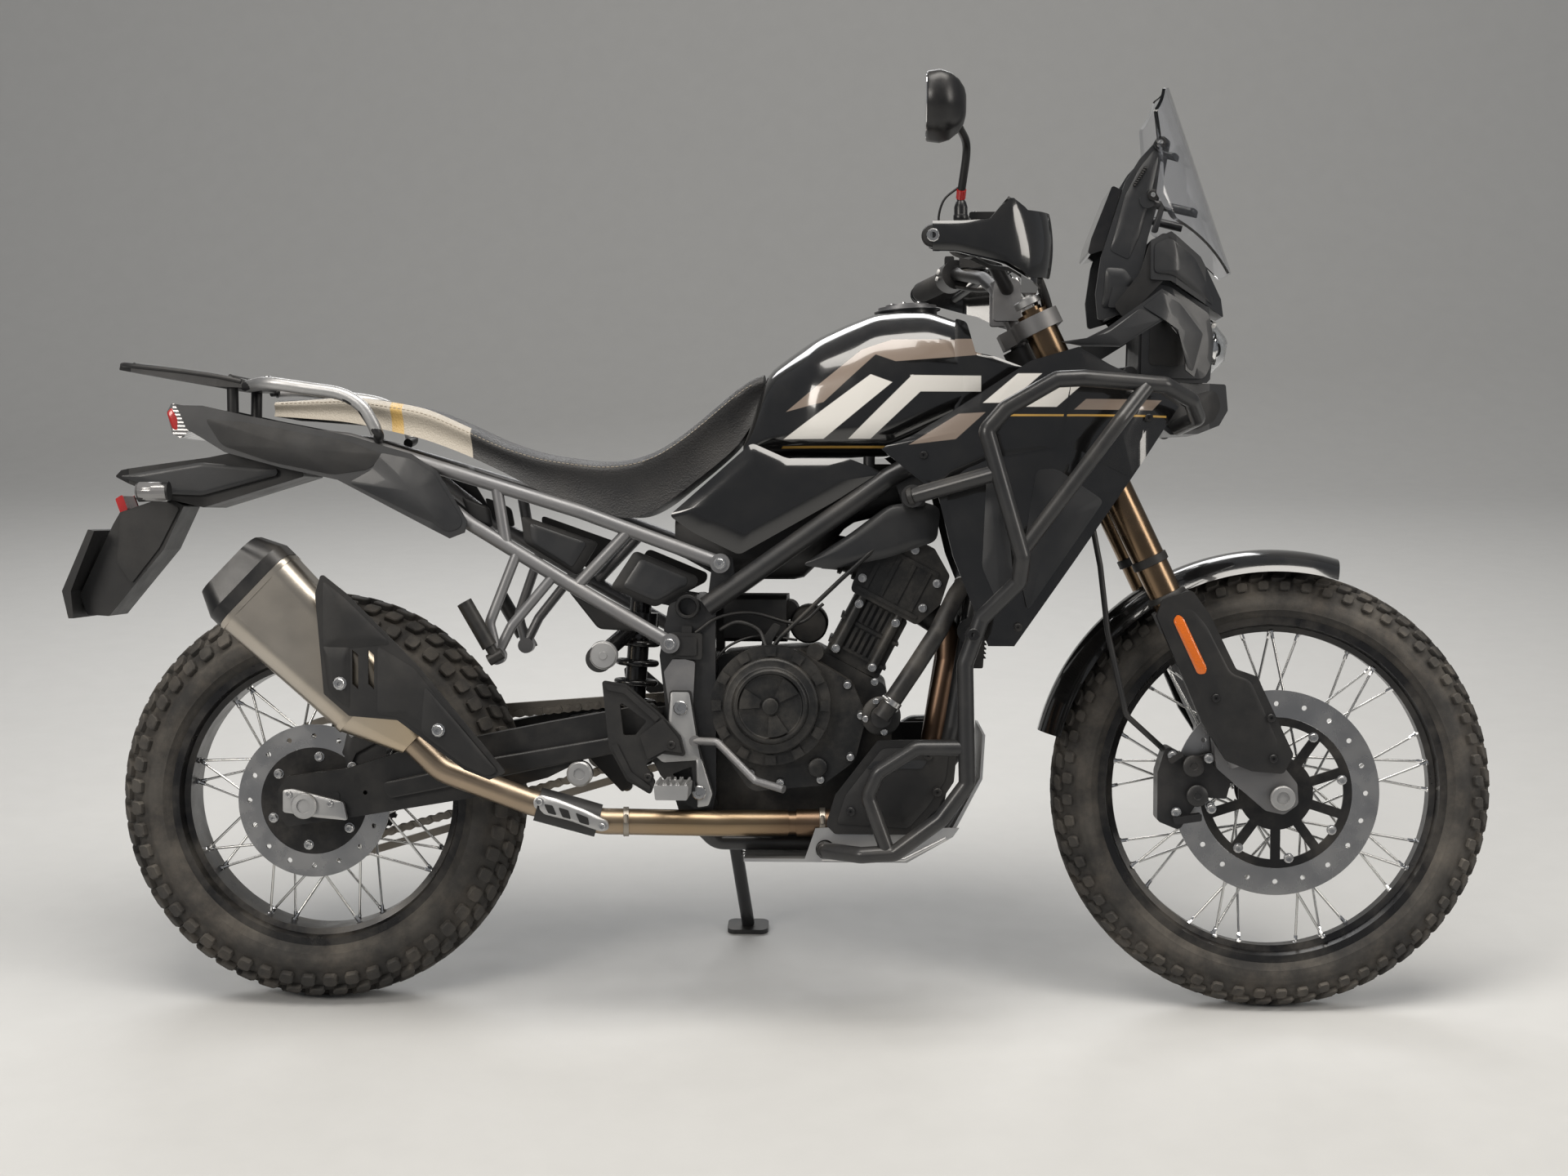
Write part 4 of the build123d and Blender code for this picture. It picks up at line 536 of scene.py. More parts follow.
# %% Blacks and greys
def tank_paint(name, shapes):
    """Near-black base under a full clear coat: colour = base, or a blade's colour where the Object point
    lies inside that blade's outline; grain, dust and scratches are the same on every painted piece."""
    finish(name, (0.0055, 0.0056, 0.006), 0.16, coat=1.0, grain=(500, 0.006), dust=0.04, scratch=0.12,
           vary=0.06, layers=blade_layers(shapes, 0.2) if shapes else None)


tank_paint("gloss_black", None)
tank_paint("tank_graphic", TANK_BLADES)
tank_paint("wing_graphic", WING_BLADES)
finish("matt_black", (0.0065, 0.0065, 0.007), 0.52, grain=(1100, 0.12), dust=0.08)
finish("dark_grey", (0.0145, 0.0155, 0.0175), 0.42, grain=(1300, 0.05), dust=0.05, coat=0.15)
finish("bar_black", (0.0065, 0.0065, 0.007), 0.42, grain=(900, 0.08))
finish("mirror_black", (0.008, 0.008, 0.0088), 0.34, grain=(1200, 0.05))
finish("caliper_black", (0.012, 0.012, 0.013), 0.42, height=cast_skin(900), grain=(1, 0.12))
finish("engine_black", (0.0085, 0.009, 0.0098), 0.44, metal=0.25, height=cast_skin(620), grain=(1, 0.22),
       dust=0.3)
finish("radiator_black", (0.010, 0.010, 0.011), 0.48, dust=0.3)
finish("rack_black", (0.012, 0.012, 0.013), 0.46, grain=(1000, 0.14))
finish("rim_black", (0.008, 0.008, 0.009), 0.30, metal=0.2, grain=(700, 0.03), dust=0.35)
finish("hub_black", (0.011, 0.011, 0.012), 0.38, metal=0.3, height=cast_skin(800), grain=(1, 0.08),
       dust=0.3)
finish("dash_black", (0.006, 0.006, 0.007), 0.10, coat=0.6, grain=(500, 0.004), dust=0.08)
print("black finishes", len(finishes))

# %% [markdown]
# ## Bare and coated metal
# Brushed steel has fine lines along one direction, cast aluminium a pebbled skin, and the exhaust header
# has been hot: its oxide turned straw, and then bronze near the engine. The heat layers are ramps
# along the pipe.

# %% Metals
def heat_layers(r):
    """Oxide colours against distance from the port, broken up by noise."""
    x = r.node("SeparateXYZ", {0: r.upright()}, out=0)
    near = r.math("ADD", r.step(x, 300, 1000), r.math("MULTIPLY", r.noise(9.0, 4.0), 0.35))
    straw, bronze = r.step(near, 0.12, 0.6), r.step(near, 0.55, 1.1)
    return [(straw, (0.30, 0.22, 0.135, 1), 0.32, 1.0), (bronze, (0.12, 0.075, 0.05, 1), 0.36, 1.0)]


def silencer_layers(r):
    """A warm bloom near the inlet."""
    x = r.node("SeparateXYZ", {0: r.upright()}, out=0)
    bloom = r.math("MULTIPLY", r.step(x, -20, 260), 0.7)
    return [(bloom, (0.50, 0.37, 0.21, 1), 0.3, 1.0)]


finish("frame_gunmetal", (0.026, 0.0265, 0.028), 0.40, metal=0.35, grain=(1500, 0.05), coat=0.25)
finish("subframe_silver", (0.20, 0.20, 0.205), 0.42, metal=0.6, grain=(1500, 0.06))
finish("cast_grey", (0.20, 0.20, 0.205), 0.42, metal=0.7, height=cast_skin(900), grain=(1, 0.16), dust=0.3)
finish("plate_silver", (0.44, 0.44, 0.44), 0.40, metal=0.8, height=cast_skin(1200), grain=(1, 0.10),
       dust=0.2)
finish("skid_silver", (0.55, 0.55, 0.55), 0.34, metal=0.9, height=brushed((40, 900, 900)), grain=(1, 0.10),
       dust=0.25)
finish("disc_steel", (0.50, 0.495, 0.49), 0.26, metal=1.0, grain=(2000, 0.03), dust=0.15)
finish("spoke_steel", (0.62, 0.62, 0.61), 0.22, metal=1.0, grain=(2000, 0.02), dust=0.2)
finish("chain_steel", (0.32, 0.29, 0.25), 0.36, metal=0.9, grain=(900, 0.1), dust=0.3)
finish("bolt_steel", (0.55, 0.55, 0.55), 0.28, metal=1.0, grain=(2000, 0.03), dust=0.1)
finish("silencer_steel", (0.47, 0.43, 0.375), 0.30, vary=0.03, metal=1.0, layers=silencer_layers, dust=0.06,
       height=brushed((60, 60, 1600), (0, 0.77, 0)), grain=(1, 0.08))
finish("pipe_bronze", (0.34, 0.27, 0.20), 0.34, metal=1.0, layers=heat_layers, grain=(1200, 0.05),
       dust=0.15)
finish("fork_bronze", (0.20, 0.135, 0.082), 0.24, metal=1.0, height=brushed((900, 900, 60)),
       grain=(1, 0.04))
finish("spring_black", (0.012, 0.012, 0.013), 0.25, coat=0.5, dust=0.2)
print("finishes", len(finishes))

# %% [markdown]
# ## Rubber, leather, lamps and the screen
# Used tyres are brown-grey with dry dust in the grooves. The seat cover is pebbled black on top and beige
# at the rear sides. Lamps and the screen are clear plastics, which need a real thickness and a plain
# transmission value.

# %% Soft and clear
def rubber_layers(r):
    """Dry mud and road dust in broad clouds."""
    cloud = r.step(r.noise(16.0, 8.0, rough=0.7), 0.4, 0.75, 0.0, 0.55)
    return [(cloud, (0.115, 0.098, 0.080, 1), 0.92, 0.0)]


def leather_skin(r):
    """Pebbles of two sizes with soft creases between them."""
    cells = r.node("TexVoronoi", {"Vector": r.place(), "Scale": 420.0}, out="Distance", feature="SMOOTH_F1")
    return r.math("ADD", r.math("MULTIPLY", cells, 1.2), r.noise(900.0, 3.0))


def clear(name, colour, rough=0.03, ior=1.49):
    """Clear plastic: light goes through, tinted by the colour; dust keeps its edge visible."""
    material = bpy.data.materials.new(name)
    material.use_nodes = True
    tree = material.node_tree
    shader = tree.nodes["Principled BSDF"]
    r = Recipe(tree)
    settled = r.group(DUST, Scale=14.0, Amount=0.10)
    tree.links.new(r.mix(settled, (*colour, 1), (0.75, 0.73, 0.70, 1)), shader.inputs["Base Color"])
    tree.links.new(r.step(r.noise(20.0, 4.0), 0.4, 0.7, rough, rough + 0.05), shader.inputs["Roughness"])
    shader.inputs["Transmission Weight"].default_value = 1.0
    shader.inputs["IOR"].default_value = ior
    finishes[name] = material


finish("tyre_rubber", (0.022, 0.0205, 0.019), 0.72, layers=rubber_layers, grain=(500, 0.3), dust=0.35,
       drift=0.3)
finish("seat_leather", (0.013, 0.013, 0.014), 0.52, height=leather_skin, grain=(1, 0.4), dust=0.1)
finish("seat_beige", (0.36, 0.31, 0.245), 0.55, height=leather_skin, grain=(1, 0.35), dust=0.1)
finish("seat_gold", (0.48, 0.31, 0.10), 0.45, height=leather_skin, grain=(1, 0.2), dust=0.05)
finish("hose_rubber", (0.010, 0.010, 0.0105), 0.45, grain=(800, 0.1), dust=0.2)
finish("grip_rubber", (0.012, 0.012, 0.0125), 0.62, grain=(700, 0.3))
finish("orange_reflector", (0.62, 0.13, 0.008), 0.12, coat=0.8, height=lambda r: r.node(
    "TexVoronoi", {"Vector": r.place(), "Scale": 420.0}, out="Distance"), grain=(1, 0.5), dust=0.05)
finish("red_plastic", (0.42, 0.012, 0.012), 0.22, coat=0.6, grain=(700, 0.05), dust=0.05)
finish("amber_plastic", (0.62, 0.22, 0.03), 0.2, coat=0.6, grain=(700, 0.1), dust=0.05)
finish("white_plastic", (0.62, 0.61, 0.59), 0.35, grain=(900, 0.05), dust=0.1)
finish("chrome", (0.80, 0.80, 0.80), 0.08, metal=1.0, grain=(600, 0.01), dust=0.05, scratch=0.05, vary=0.04)
clear("screen_clear", (0.93, 0.935, 0.955))
clear("lamp_clear", (0.92, 0.93, 0.94), 0.04)
finish("lamp_red", (0.24, 0.235, 0.235), 0.16, coat=1.0, metal=0.35, dust=0.06, height=lambda r: r.node(
    "TexWave", {"Vector": r.place(), "Scale": 55.0}, bands_direction="Z"), grain=(1, 0.35))
print("all finishes", len(finishes))

# %% [markdown]
# ## Dressing the CAD nodes
# The record says which finish slot each node takes. Each node's own material slots get the finish of that
# name, so the mesh is never touched.

# %% Dress every node
node_slot = {part["node"]: part["material_slot"] for part in frame["record"]["subparts"]}
OWN_FINISH = {"shrouds": "gloss_black", "rear_shock": "spring_black", "silencer_cap": "mirror_black",
               "footrest_plates": "matt_black"}
for node, obj in frame["nodes"].items():
    material = finishes[OWN_FINISH.get(node, node_slot[node])]
    for place in range(max(1, len(obj.material_slots))):
        if not obj.material_slots:
            obj.data.materials.append(material)
        obj.material_slots[place].material = material
print("dressed", len(node_slot), "nodes")

# %% [markdown]
# ## Knobbly tyres
# A dual-purpose tyre is a smooth carcass with rubber blocks standing on its crown. Modelling one profile
# and turning it gives the carcass; the blocks follow a table of rows, each row repeated round the wheel by
# arrays. A block is an eight-sided outline raised in three rings, the last one drawn in, which reads as a
# moulded edge for a few faces.

# %% Tyres
def tyre_profile(radius, half_width, shoulder_drop, bead, rim_half, depth):
    """Carcass section from one bead over the crown to the other: straight bead, bulging wall, round
    crown."""
    reach = half_width - 3
    crown = (reach ** 2 + shoulder_drop ** 2) / (2 * shoulder_drop)
    top = np.arcsin(min(reach / crown, 1)) * 0.97
    phi = np.linspace(0, top, 12)
    y = (crown - depth) * np.sin(phi)
    r = radius - crown + (crown - depth) * np.cos(phi)
    t = np.linspace(0, 1, 15)[1:]
    bulge = (half_width - 1 - y[-1]) * np.sin(pi * t) * 0.9
    wall_r = r[-1] + (bead + 1 - r[-1]) * t
    wall_y = y[-1] + (rim_half - 0.7 - y[-1]) * t ** 1.6 + bulge
    ribs = 0.9 * (np.sin(t * 60) > 0.55)
    y, r = np.concatenate([y, wall_y + ribs]), np.concatenate([r, wall_r])
    y, r = np.concatenate([y, [rim_half - 9, rim_half - 9]]), np.concatenate([r, [bead + 1, bead + 9]])
    inner_y, inner_r = y[:-2][::-1] * 0.86, r[:-2][::-1] - 8
    inner_r = np.maximum(inner_r, bead + 9)
    half = np.stack([np.concatenate([y, inner_y]), np.concatenate([r, inner_r])], -1)
    other = half[::-1] * (-1, 1)
    return np.concatenate([half, other[1:-1]]), crown, top


def turned_ring(profile, axle, sides=144):
    """A closed (y, radius) section turned about the wheel's axle."""
    angle = np.linspace(0, 2 * pi, sides, endpoint=False)[:, None]
    y, r = profile[None, :, 0], profile[None, :, 1]
    points = np.stack([axle[0] + r * np.cos(angle), axle[1] + y + 0 * angle, axle[2] + r * np.sin(angle)],
                      -1)
    return points.reshape(-1, 3), [grid_faces(sides, len(profile), True, True)]


def tread_blocks(axle, radius, crown, rows, pitches, depth):
    """Blocks on the crown. A row is (angle across, half length, half width, skew, shift along in pitches):
    point (u, v, w) of a block sits at angle v / crown across, u / radius along, and w out from the
    carcass."""
    corner = np.array([(-1, -0.6), (-0.7, -1), (0.7, -1), (1, -0.6), (1, 0.6), (0.7, 1), (-0.7, 1),
                       (-1, 0.6)])
    rings = np.stack([corner * 1.06, corner * 1.0, corner * 0.86])
    heights = np.repeat([[-3.0], [depth - 1.6], [depth]], 8, 1)
    base = np.concatenate([rings, heights[..., None]], -1).reshape(-1, 3)
    faces = [grid_faces(3, 8, close_columns=True), (np.arange(8) + 16)[None, :]]
    parts = []
    for across, half_long, half_wide, skew, shift in rows:
        step = 2 * pi * (np.arange(pitches) + shift) / pitches
        u = base[:, 0] * half_long + base[:, 1] * skew
        v = base[:, 1] * half_wide
        w = base[:, 2] + crown - depth
        phi = radians(across) + v / crown
        r = radius - crown + w * np.cos(phi)
        theta = step[:, None] + (u / radius)[None]
        points = np.stack([axle[0] + r * np.cos(theta), axle[1] + w * np.sin(phi) + 0 * theta,
                           axle[2] + r * np.sin(theta)], -1)
        hop = (np.arange(pitches) * len(base))[:, None, None]
        parts.append((points, [(f[None] + hop).reshape(-1, f.shape[1])[:, ::-1] for f in faces]))
    return join(parts)


def tyre(name, body, axle, size, rows, pitches, depth):
    """Carcass and blocks joined as the piece that stands for the CAD tyre."""
    profile, crown, top = tyre_profile(**size, depth=depth)
    carcass = turned_ring(profile, axle)
    blocks = tread_blocks(axle, size["radius"] - 0.4, crown, rows, pitches, depth)
    made = dress(name, join([carcass, blocks]), body, "tyre_rubber", smooth=32,
                 replaces=[name.replace("_knobbly", "")])
    print(name, "faces", len(made.data.polygons))


FRONT_SIZE = dict(radius=346, half_width=45, shoulder_drop=34, bead=268, rim_half=30)
REAR_SIZE = dict(radius=325, half_width=70, shoulder_drop=47, bead=230, rim_half=52)
tyre("front_tyre_knobbly", "front_wheel", FRONT_AXLE, FRONT_SIZE,
     [(11, 13, 6.5, 2.5, 0.0), (-11, 13, 6.5, -2.5, 0.5), (35, 11, 7.5, 3, 0.25), (-35, 11, 7.5, -3, 0.75),
      (61, 9, 8, 1, 0.0), (-61, 9, 8, -1, 0.5)], 60, 8)
tyre("rear_tyre_knobbly", "rear_wheel", REAR_AXLE, REAR_SIZE,
     [(10, 14, 9.5, 3, 0.0), (-10, 14, 9.5, -3, 0.5), (32, 12, 10.5, 4, 0.3), (-32, 12, 10.5, -4, 0.8),
      (56, 12, 11, 1, 0.0), (-56, 12, 11, -1, 0.5)], 52, 9.5)

# %% [markdown]
# ## Spoke nipples, disc buttons and rotor bolts
# Small turned parts repeat round each wheel. One turned profile is set at every place by a list of turning
# matrices.

# %% Wheel hardware
BOLT = [(0.01, 2.2), (2.2, 2.2), (2.4, 4.6), (5.4, 4.9), (6.2, 4.2), (6.4, 0.0), (8.0, -0.2), (8.0, -1.4)]


def turned_part(profile, sides=10):
    """A small turned part about its own z, its profile given as (radius, height) from the tip down."""
    points, faces = lathe(np.array(profile, float), (0, 0, 0), UPWARD, sides)
    return points, [f[:, ::-1] for f in faces]


def bolt_set(name, places, axes, body, finish_name="bolt_steel", scale=1.0, profile=BOLT,
             slot="spoke_steel"):
    """The same bolt at several places, each along its own axis."""
    places = np.atleast_2d(np.array(places, float))
    axes = np.broadcast_to(np.array(axes, float), places.shape)
    points, faces = turned_part(profile)
    add_piece(name, *repeat((points * scale, faces), places, turned_to(axes)), body, finishes[finish_name],
              smooth=30, slot=slot)


def bolt_pair(name, places, body, **how):
    """Bolts on the right side, and again on the left with y turned to -y."""
    bolt_set(name, places, RIGHTWARD, body, **how)
    bolt_set(name + "_left", [(x, -y, z) for x, y, z in places], LEFTWARD, body, **how)


def ring_places(axle, y, radius, count, start=0.0):
    """Points evenly round an axle."""
    a = start + 2 * pi * np.arange(count) / count
    return np.stack([axle[0] + radius * np.cos(a), np.full(count, y), axle[2] + radius * np.sin(a)], -1)


bolt_set("front_disc_bolts", ring_places(FRONT_AXLE, -67.5, 104, 8, 0.2), RIGHTWARD, "front_wheel")
bolt_set("rear_disc_bolts", ring_places(REAR_AXLE, -87, 70, 6, 0.4), RIGHTWARD, "rear_wheel")
bolt_set("rear_sprocket_bolts", ring_places(REAR_AXLE, 91.5, 62, 6, 0.1), LEFTWARD, "rear_wheel")
NIPPLE = [(0.01, 11), (2.6, 11), (3.0, 10), (3.1, 1), (4.6, 0.5), (4.8, -2.5)]


def nipples(name, axle, rim_radius, flange_radius, flange_y, cross, body):
    """A nipple on each of 36 spokes: it stands at the rim end and points along its spoke to the flange."""
    count, side = np.meshgrid(np.arange(18), (1, -1))
    leading = count % 2 == 0
    start = radians(20) * (count + 0.25 * side)
    end = start + np.where(leading, 1, -1) * radians(cross)

    def at(radius, y, angle):
        """Point = axle + radius * (cos angle, 0, sin angle), at sideways distance y."""
        return np.stack([axle[0] + radius * np.cos(angle), y, axle[2] + radius * np.sin(angle)],
                        -1).reshape(-1, 3)

    rim = at(rim_radius, side * np.where(leading, 13.0, 7.0), end)
    hub = at(flange_radius, side * (flange_y + np.where(leading, 3.2, -3.2)), start)
    along = unit(hub - rim)
    points, faces = turned_part(NIPPLE, 8)
    add_piece(name, *repeat((points, faces), rim, turned_to(along)), body, finishes["chrome"], smooth=30,
              slot="spoke_steel")


nipples("front_nipples", FRONT_AXLE, 247.6, 52.3, 30, 55, "front_wheel")
nipples("rear_nipples", REAR_AXLE, 209.6, 70.3, 40, 50, "rear_wheel")
print("wheel hardware", len(pieces))

# %% [markdown]
# ## Crowned panels
# Body panels are thin mouldings with a slight crown, so light rolls over them. A panel is drawn as its
# outline at the back, the same outline at the front edge, and a few smaller copies that rise to the crown,
# like contour lines.

# %% Crowned panel helper
def crowned(outline, inner, outer, crown=6.0, rounding=12, side=-1, shrink=0.5, rings=6, steps=5):
    """Contour rings: ring k is the outline drawn towards its middle by s, at height crown * (1 - (1 -
    s)^2)."""
    p = rounded(np.array(outline, float), rounding, steps)
    if np.sum(p[:, 0] * np.roll(p[:, 1], -1) - np.roll(p[:, 0], -1) * p[:, 1]) < 0:
        p = p[::-1]
    middle = p.mean(0)
    s = np.concatenate([[0.0, 0.0], np.linspace(0, 1, rings + 1)[1:]]) * shrink
    rise = np.concatenate([[inner], outer - crown + crown * (1 - (1 - s[1:] / shrink) ** 2)])
    flat = p[None] * (1 - s[:, None, None]) + middle * s[:, None, None]
    points = np.stack([flat[..., 0], np.repeat((side * rise)[:, None], len(p), 1), flat[..., 1]], -1)
    n, last = len(p), (len(s) - 1) * len(p)
    faces = [grid_faces(len(s), n, close_columns=True), np.arange(n)[None, ::-1],
             (last + np.arange(n))[None, :]]
    if side > 0:
        faces = [f[:, ::-1] for f in faces]
    return points.reshape(-1, 3), faces


def loft(x, top, bottom, width, power_top=3.0, power_side=2.4, steps=40, foot=0.35):
    """Sections along X: an upper half superellipse over a lower one, whose widest line lies a share up from
    below."""
    phi = np.linspace(0, 2 * pi, steps, endpoint=False)
    c, s = np.cos(phi), np.sin(phi)
    waist = bottom + (top - bottom) * foot
    upper = s >= 0
    power = np.where(upper, power_top, power_side)
    radius = (np.abs(c) ** power + np.abs(s) ** power) ** (-1 / power)
    y = width[:, None] * (c * radius)[None]
    z = waist[:, None] + np.where(upper[None], (top - waist)[:, None],
                                  (waist - bottom)[:, None]) * (s * radius)[None]
    points = np.stack([np.repeat(x[:, None], steps, 1), y, z], -1)
    last = (len(x) - 1) * steps + np.arange(steps)
    faces = [grid_faces(len(x), steps, close_columns=True)[:, ::-1], np.arange(steps)[None, :],
             last[None, ::-1]]
    return points.reshape(-1, 3), faces


def eased(x, knots, values):
    """Values at x on a smooth curve through knots: straight steps between them, then a moving average."""
    fine = np.linspace(x[0], x[-1], 200)
    v = np.interp(fine, knots, values)
    kernel = np.hanning(25)
    v = np.convolve(np.pad(v, 12, "edge"), kernel / kernel.sum(), "valid")
    return np.interp(x, fine, v)


print("panel helpers ready")

# %% [markdown]
# ## Fuel tank
# The tank is one smooth pressing: narrow between the knees, broad in front, flat round the filler. Sections
# along its length come from three curves, for top, floor and half width. Side panels under it are crowned
# mouldings.

# %% Tank and side panels
x = np.linspace(674, 1014, 46)
tank_top = eased(x, [674, 690, 708, 748, 788, 833, 878, 920, 960, 1014],
                 [884, 940, 999, 1029, 1056, 1077, 1094, 1098, 1098, 1080])
tank_floor = eased(x, [674, 744, 900, 1014], [868, 868, 868, 925])
tank_wide = eased(x, [674, 700, 780, 860, 1014], [78, 96, 143, 159, 149])
tank_points, tank_faces = loft(x, tank_top, tank_floor, tank_wide, 2.9, 3.6, 64, 0.32)
flat_spot = np.hypot(tank_points[:, 0] - 930, tank_points[:, 1]) < 54
tank_points[:, 2] = np.where(flat_spot & (tank_points[:, 2] > 1050), np.minimum(tank_points[:, 2], 1097.0),
                             tank_points[:, 2])
add_piece("tank_shell", tank_points, tank_faces, "chassis", finishes["tank_graphic"], smooth=50,
          slot="gloss_black", replaces=["fuel_tank"])
CAP_RING = [(52, 1), (53, 3.4), (50.5, 4), (47, 1.6), (46.6, -6)]
cap_up = unit(np.array((-0.06, 0, 1.0)))
cap_centre = np.array((930, 0, 1098.0))
ring_points, ring_faces = lathe(CAP_RING, cap_centre, cap_up, 48)
add_piece("cap_ring", ring_points, [ring_faces[0]], "chassis", finishes["dark_grey"], smooth=40,
          slot="dark_grey")
bolts_turn = 2 * pi * np.arange(6) / 6 + 0.3
cap_bolts = cap_centre + cap_up * 13 + 25 * np.stack([np.cos(bolts_turn), np.sin(bolts_turn),
        0.06 * np.cos(bolts_turn)], -1)
bolt_set("cap_bolts", cap_bolts, cap_up, "fuel_cap", scale=0.5)
SIDE_PANEL = [(563, 776), (600, 750), (671, 716), (895, 842), (840, 864), (744, 864), (690, 888)]
dress("side_panel_skins", both(crowned(SIDE_PANEL, 125, 146, 10, 8)), "chassis", "gloss_black", smooth=30,
      replaces=["side_panels"])
print("tank and side panels")

# %% [markdown]
# ## Seat
# The seat is foam under a sewn cover: black grained vinyl on top, beige at the rear sides with a gold band
# across, and a stitched seam between. Its sections are crowned, pull in below the top edge and end on a
# flat pan. The stitches are small rounded bars laid along the seam.

# %% Seat
SEAT_X = np.array([-60, 58, 110, 180, 241, 300, 363, 455, 503, 546, 597, 640, 690, 706], float)
SEAT_TOP = np.array([957, 963, 957, 945, 918, 891, 872, 860, 864, 880, 918, 957, 999, 1002], float)
SEAT_PAN = np.array([930, 921, 910, 894, 871, 844, 811, 779, 768, 787, 828, 862, 910, 985], float)
SEAT_WIDE = np.array([92, 104, 115, 108, 103, 104, 117, 123, 118, 106, 84, 70, 55, 50], float)
EDGE_PULL = 5.0


def seat_levels(x):
    """Top, pan and half width of the seat at x."""
    return (eased(x, SEAT_X, values) for values in (SEAT_TOP, SEAT_PAN, SEAT_WIDE))


def seat_surface(x, steps=28):
    """Each section runs from pan edge up the pulled-in side, over a soft corner and across the crowned
    top."""
    top, pan, wide = seat_levels(x)
    t = np.linspace(-1, 1, 2 * steps + 1)
    across = np.sign(t) * np.minimum(np.abs(t) / 0.62, 1.0)
    down = np.clip((np.abs(t) - 0.62) / 0.38, 0, 1)
    corner = np.clip((np.abs(t) - 0.45) / 0.30, 0, 1)
    soft = 0.5 - 0.5 * np.cos(pi * corner)
    y = wide[:, None] * across[None] * (1 - 0.035 * soft[None]) - np.sign(t) * EDGE_PULL * np.sin(pi
        * down)[None]
    height = (top - pan)[:, None]
    fall = np.maximum(down[None] * 1.0, 0.0)
    crown = 4.0 * across[None] ** 2 + np.minimum(14.0, 0.3 * height) * soft[None] * (1 - down[None] ** 0.7)
    z = top[:, None] - crown - (height - 4.0) * fall
    return np.stack([np.repeat(x[:, None], len(t), 1), y, z], -1)


seat_x = np.linspace(-60, 704, 110)
rows = seat_surface(seat_x)
seat_faces = grid_faces(len(seat_x), rows.shape[1])
n_row = rows.shape[1]
pan_strip = np.stack([np.arange(len(seat_x) - 1) * n_row, np.arange(len(seat_x) - 1) * n_row + n_row - 1,
                      np.arange(1, len(seat_x)) * n_row + n_row - 1, np.arange(1, len(seat_x)) * n_row], -1)
seat_caps = [np.arange(n_row)[None, ::-1], ((len(seat_x) - 1) * n_row + np.arange(n_row))[None, :]]


def seat_layers(r):
    """Beige where the surface is behind the front seam and outside the top's edge; gold in a band across
    it."""
    place = r.upright()
    parts = place.node.id_data.nodes.new("ShaderNodeSeparateXYZ")
    r.tree.links.new(place, parts.inputs[0])
    outside = r.step(r.math("ABSOLUTE", parts.outputs[1]), 80.0, 81.5)
    behind = blade(r, place, [(-100, 800), (262, 800), (238, 1000), (-100, 1000)], 0.8)
    beige = r.math("MULTIPLY", outside, behind)
    band = r.math("MULTIPLY", blade(r, place, [(140, 800), (158, 800), (138, 1000), (120, 1000)], 0.6),
                  beige)
    return [(beige, (0.40, 0.36, 0.30, 1), 0.5, 0.0), (band, (0.50, 0.33, 0.11, 1), 0.42, 0.0)]


finish("seat_cover", (0.013, 0.013, 0.014), 0.50, height=leather_skin, grain=(1, 0.5), dust=0.08,
       layers=seat_layers)
seat = add_piece("seat_cushion", rows.reshape(-1, 3),
                 [seat_faces[:, ::-1], pan_strip, *[c[:, ::-1] for c in seat_caps]], "chassis",
                 finishes["seat_cover"], smooth=60, slot="seat_leather", replaces=["seat"])


def stitches(name, path, ups, every=7.0):
    """Stitches: rounded bars 4.6 mm long, one each 7 mm along a path, lying on the cover."""
    steps = np.concatenate([[0], np.cumsum(np.linalg.norm(np.diff(path, axis=0), axis=1))])
    at = np.arange(3, steps[-1] - 3, every)
    places = np.stack([np.interp(at, steps, path[:, k]) for k in range(3)], -1)
    ahead = np.stack([np.interp(at + 1, steps, path[:, k]) for k in range(3)], -1) - places
    bar_points, bar_faces = lathe([(0.05, -2.4), (0.5, -2.1), (0.62, 0), (0.5, 2.1), (0.05, 2.4)],
                                  (0, 0, 0), UPWARD, 6)
    add_piece(name, *repeat((bar_points, bar_faces), places + ups, turned_to(ahead)), "chassis",
              finishes["seat_beige"], smooth=40, slot="seat_leather")


seam_x = np.linspace(-50, 690, 150)
seam = seat_surface(seam_x)
edge_line = int(np.argmin(np.abs(np.linspace(-1, 1, seam.shape[1]) - 0.60)))
for side_name, column in (("left", edge_line), ("right", seam.shape[1] - 1 - edge_line)):
    stitches("seat_stitches_" + side_name, seam[:, column], np.array((0, 0, 0.6)))
print("seat faces", len(seat.data.polygons))

# %% [markdown]
# ## Engine details
# The castings come from CAD; what makes them an engine is the small hardware. The clutch cover gets a
# raised rim with three broad ribs and a ring of lugs, its flange a row of bolt bosses, the cylinder its
# ribs, the hoses their clamps. Plates and turned parts are enough, and they sit straight on the CAD faces.

# %% Covers, ribs and bolts
CLUTCH = (721.0, 486.0)
COVER_BOLTS = [(650, 428), (650, 516), (674, 553), (756, 564), (838, 517), (859, 470), (843, 406),
               (797, 371), (735, 366), (690, 380)]


def ring_at(profile, x, z, side=-1, sides=48):
    """A turned ring whose axis runs across the machine; profile heights count outwards from the middle
    plane."""
    return lathe(np.array(profile, float), (x, 0, z), (0, side, 0), sides)


def fan(x, z, inner, outer, angles, low, high, side=-1):
    """A plate between two radii and two angles about a point, drawn as an arc out and an arc back."""
    a = np.radians(np.linspace(*angles, 9))
    out = np.stack([x + outer * np.cos(a), z + outer * np.sin(a)], -1)
    back = np.stack([x + inner * np.cos(a[::-1]), z + inner * np.sin(a[::-1])], -1)
    return plate(np.concatenate([out, back]), low, high, side=side)


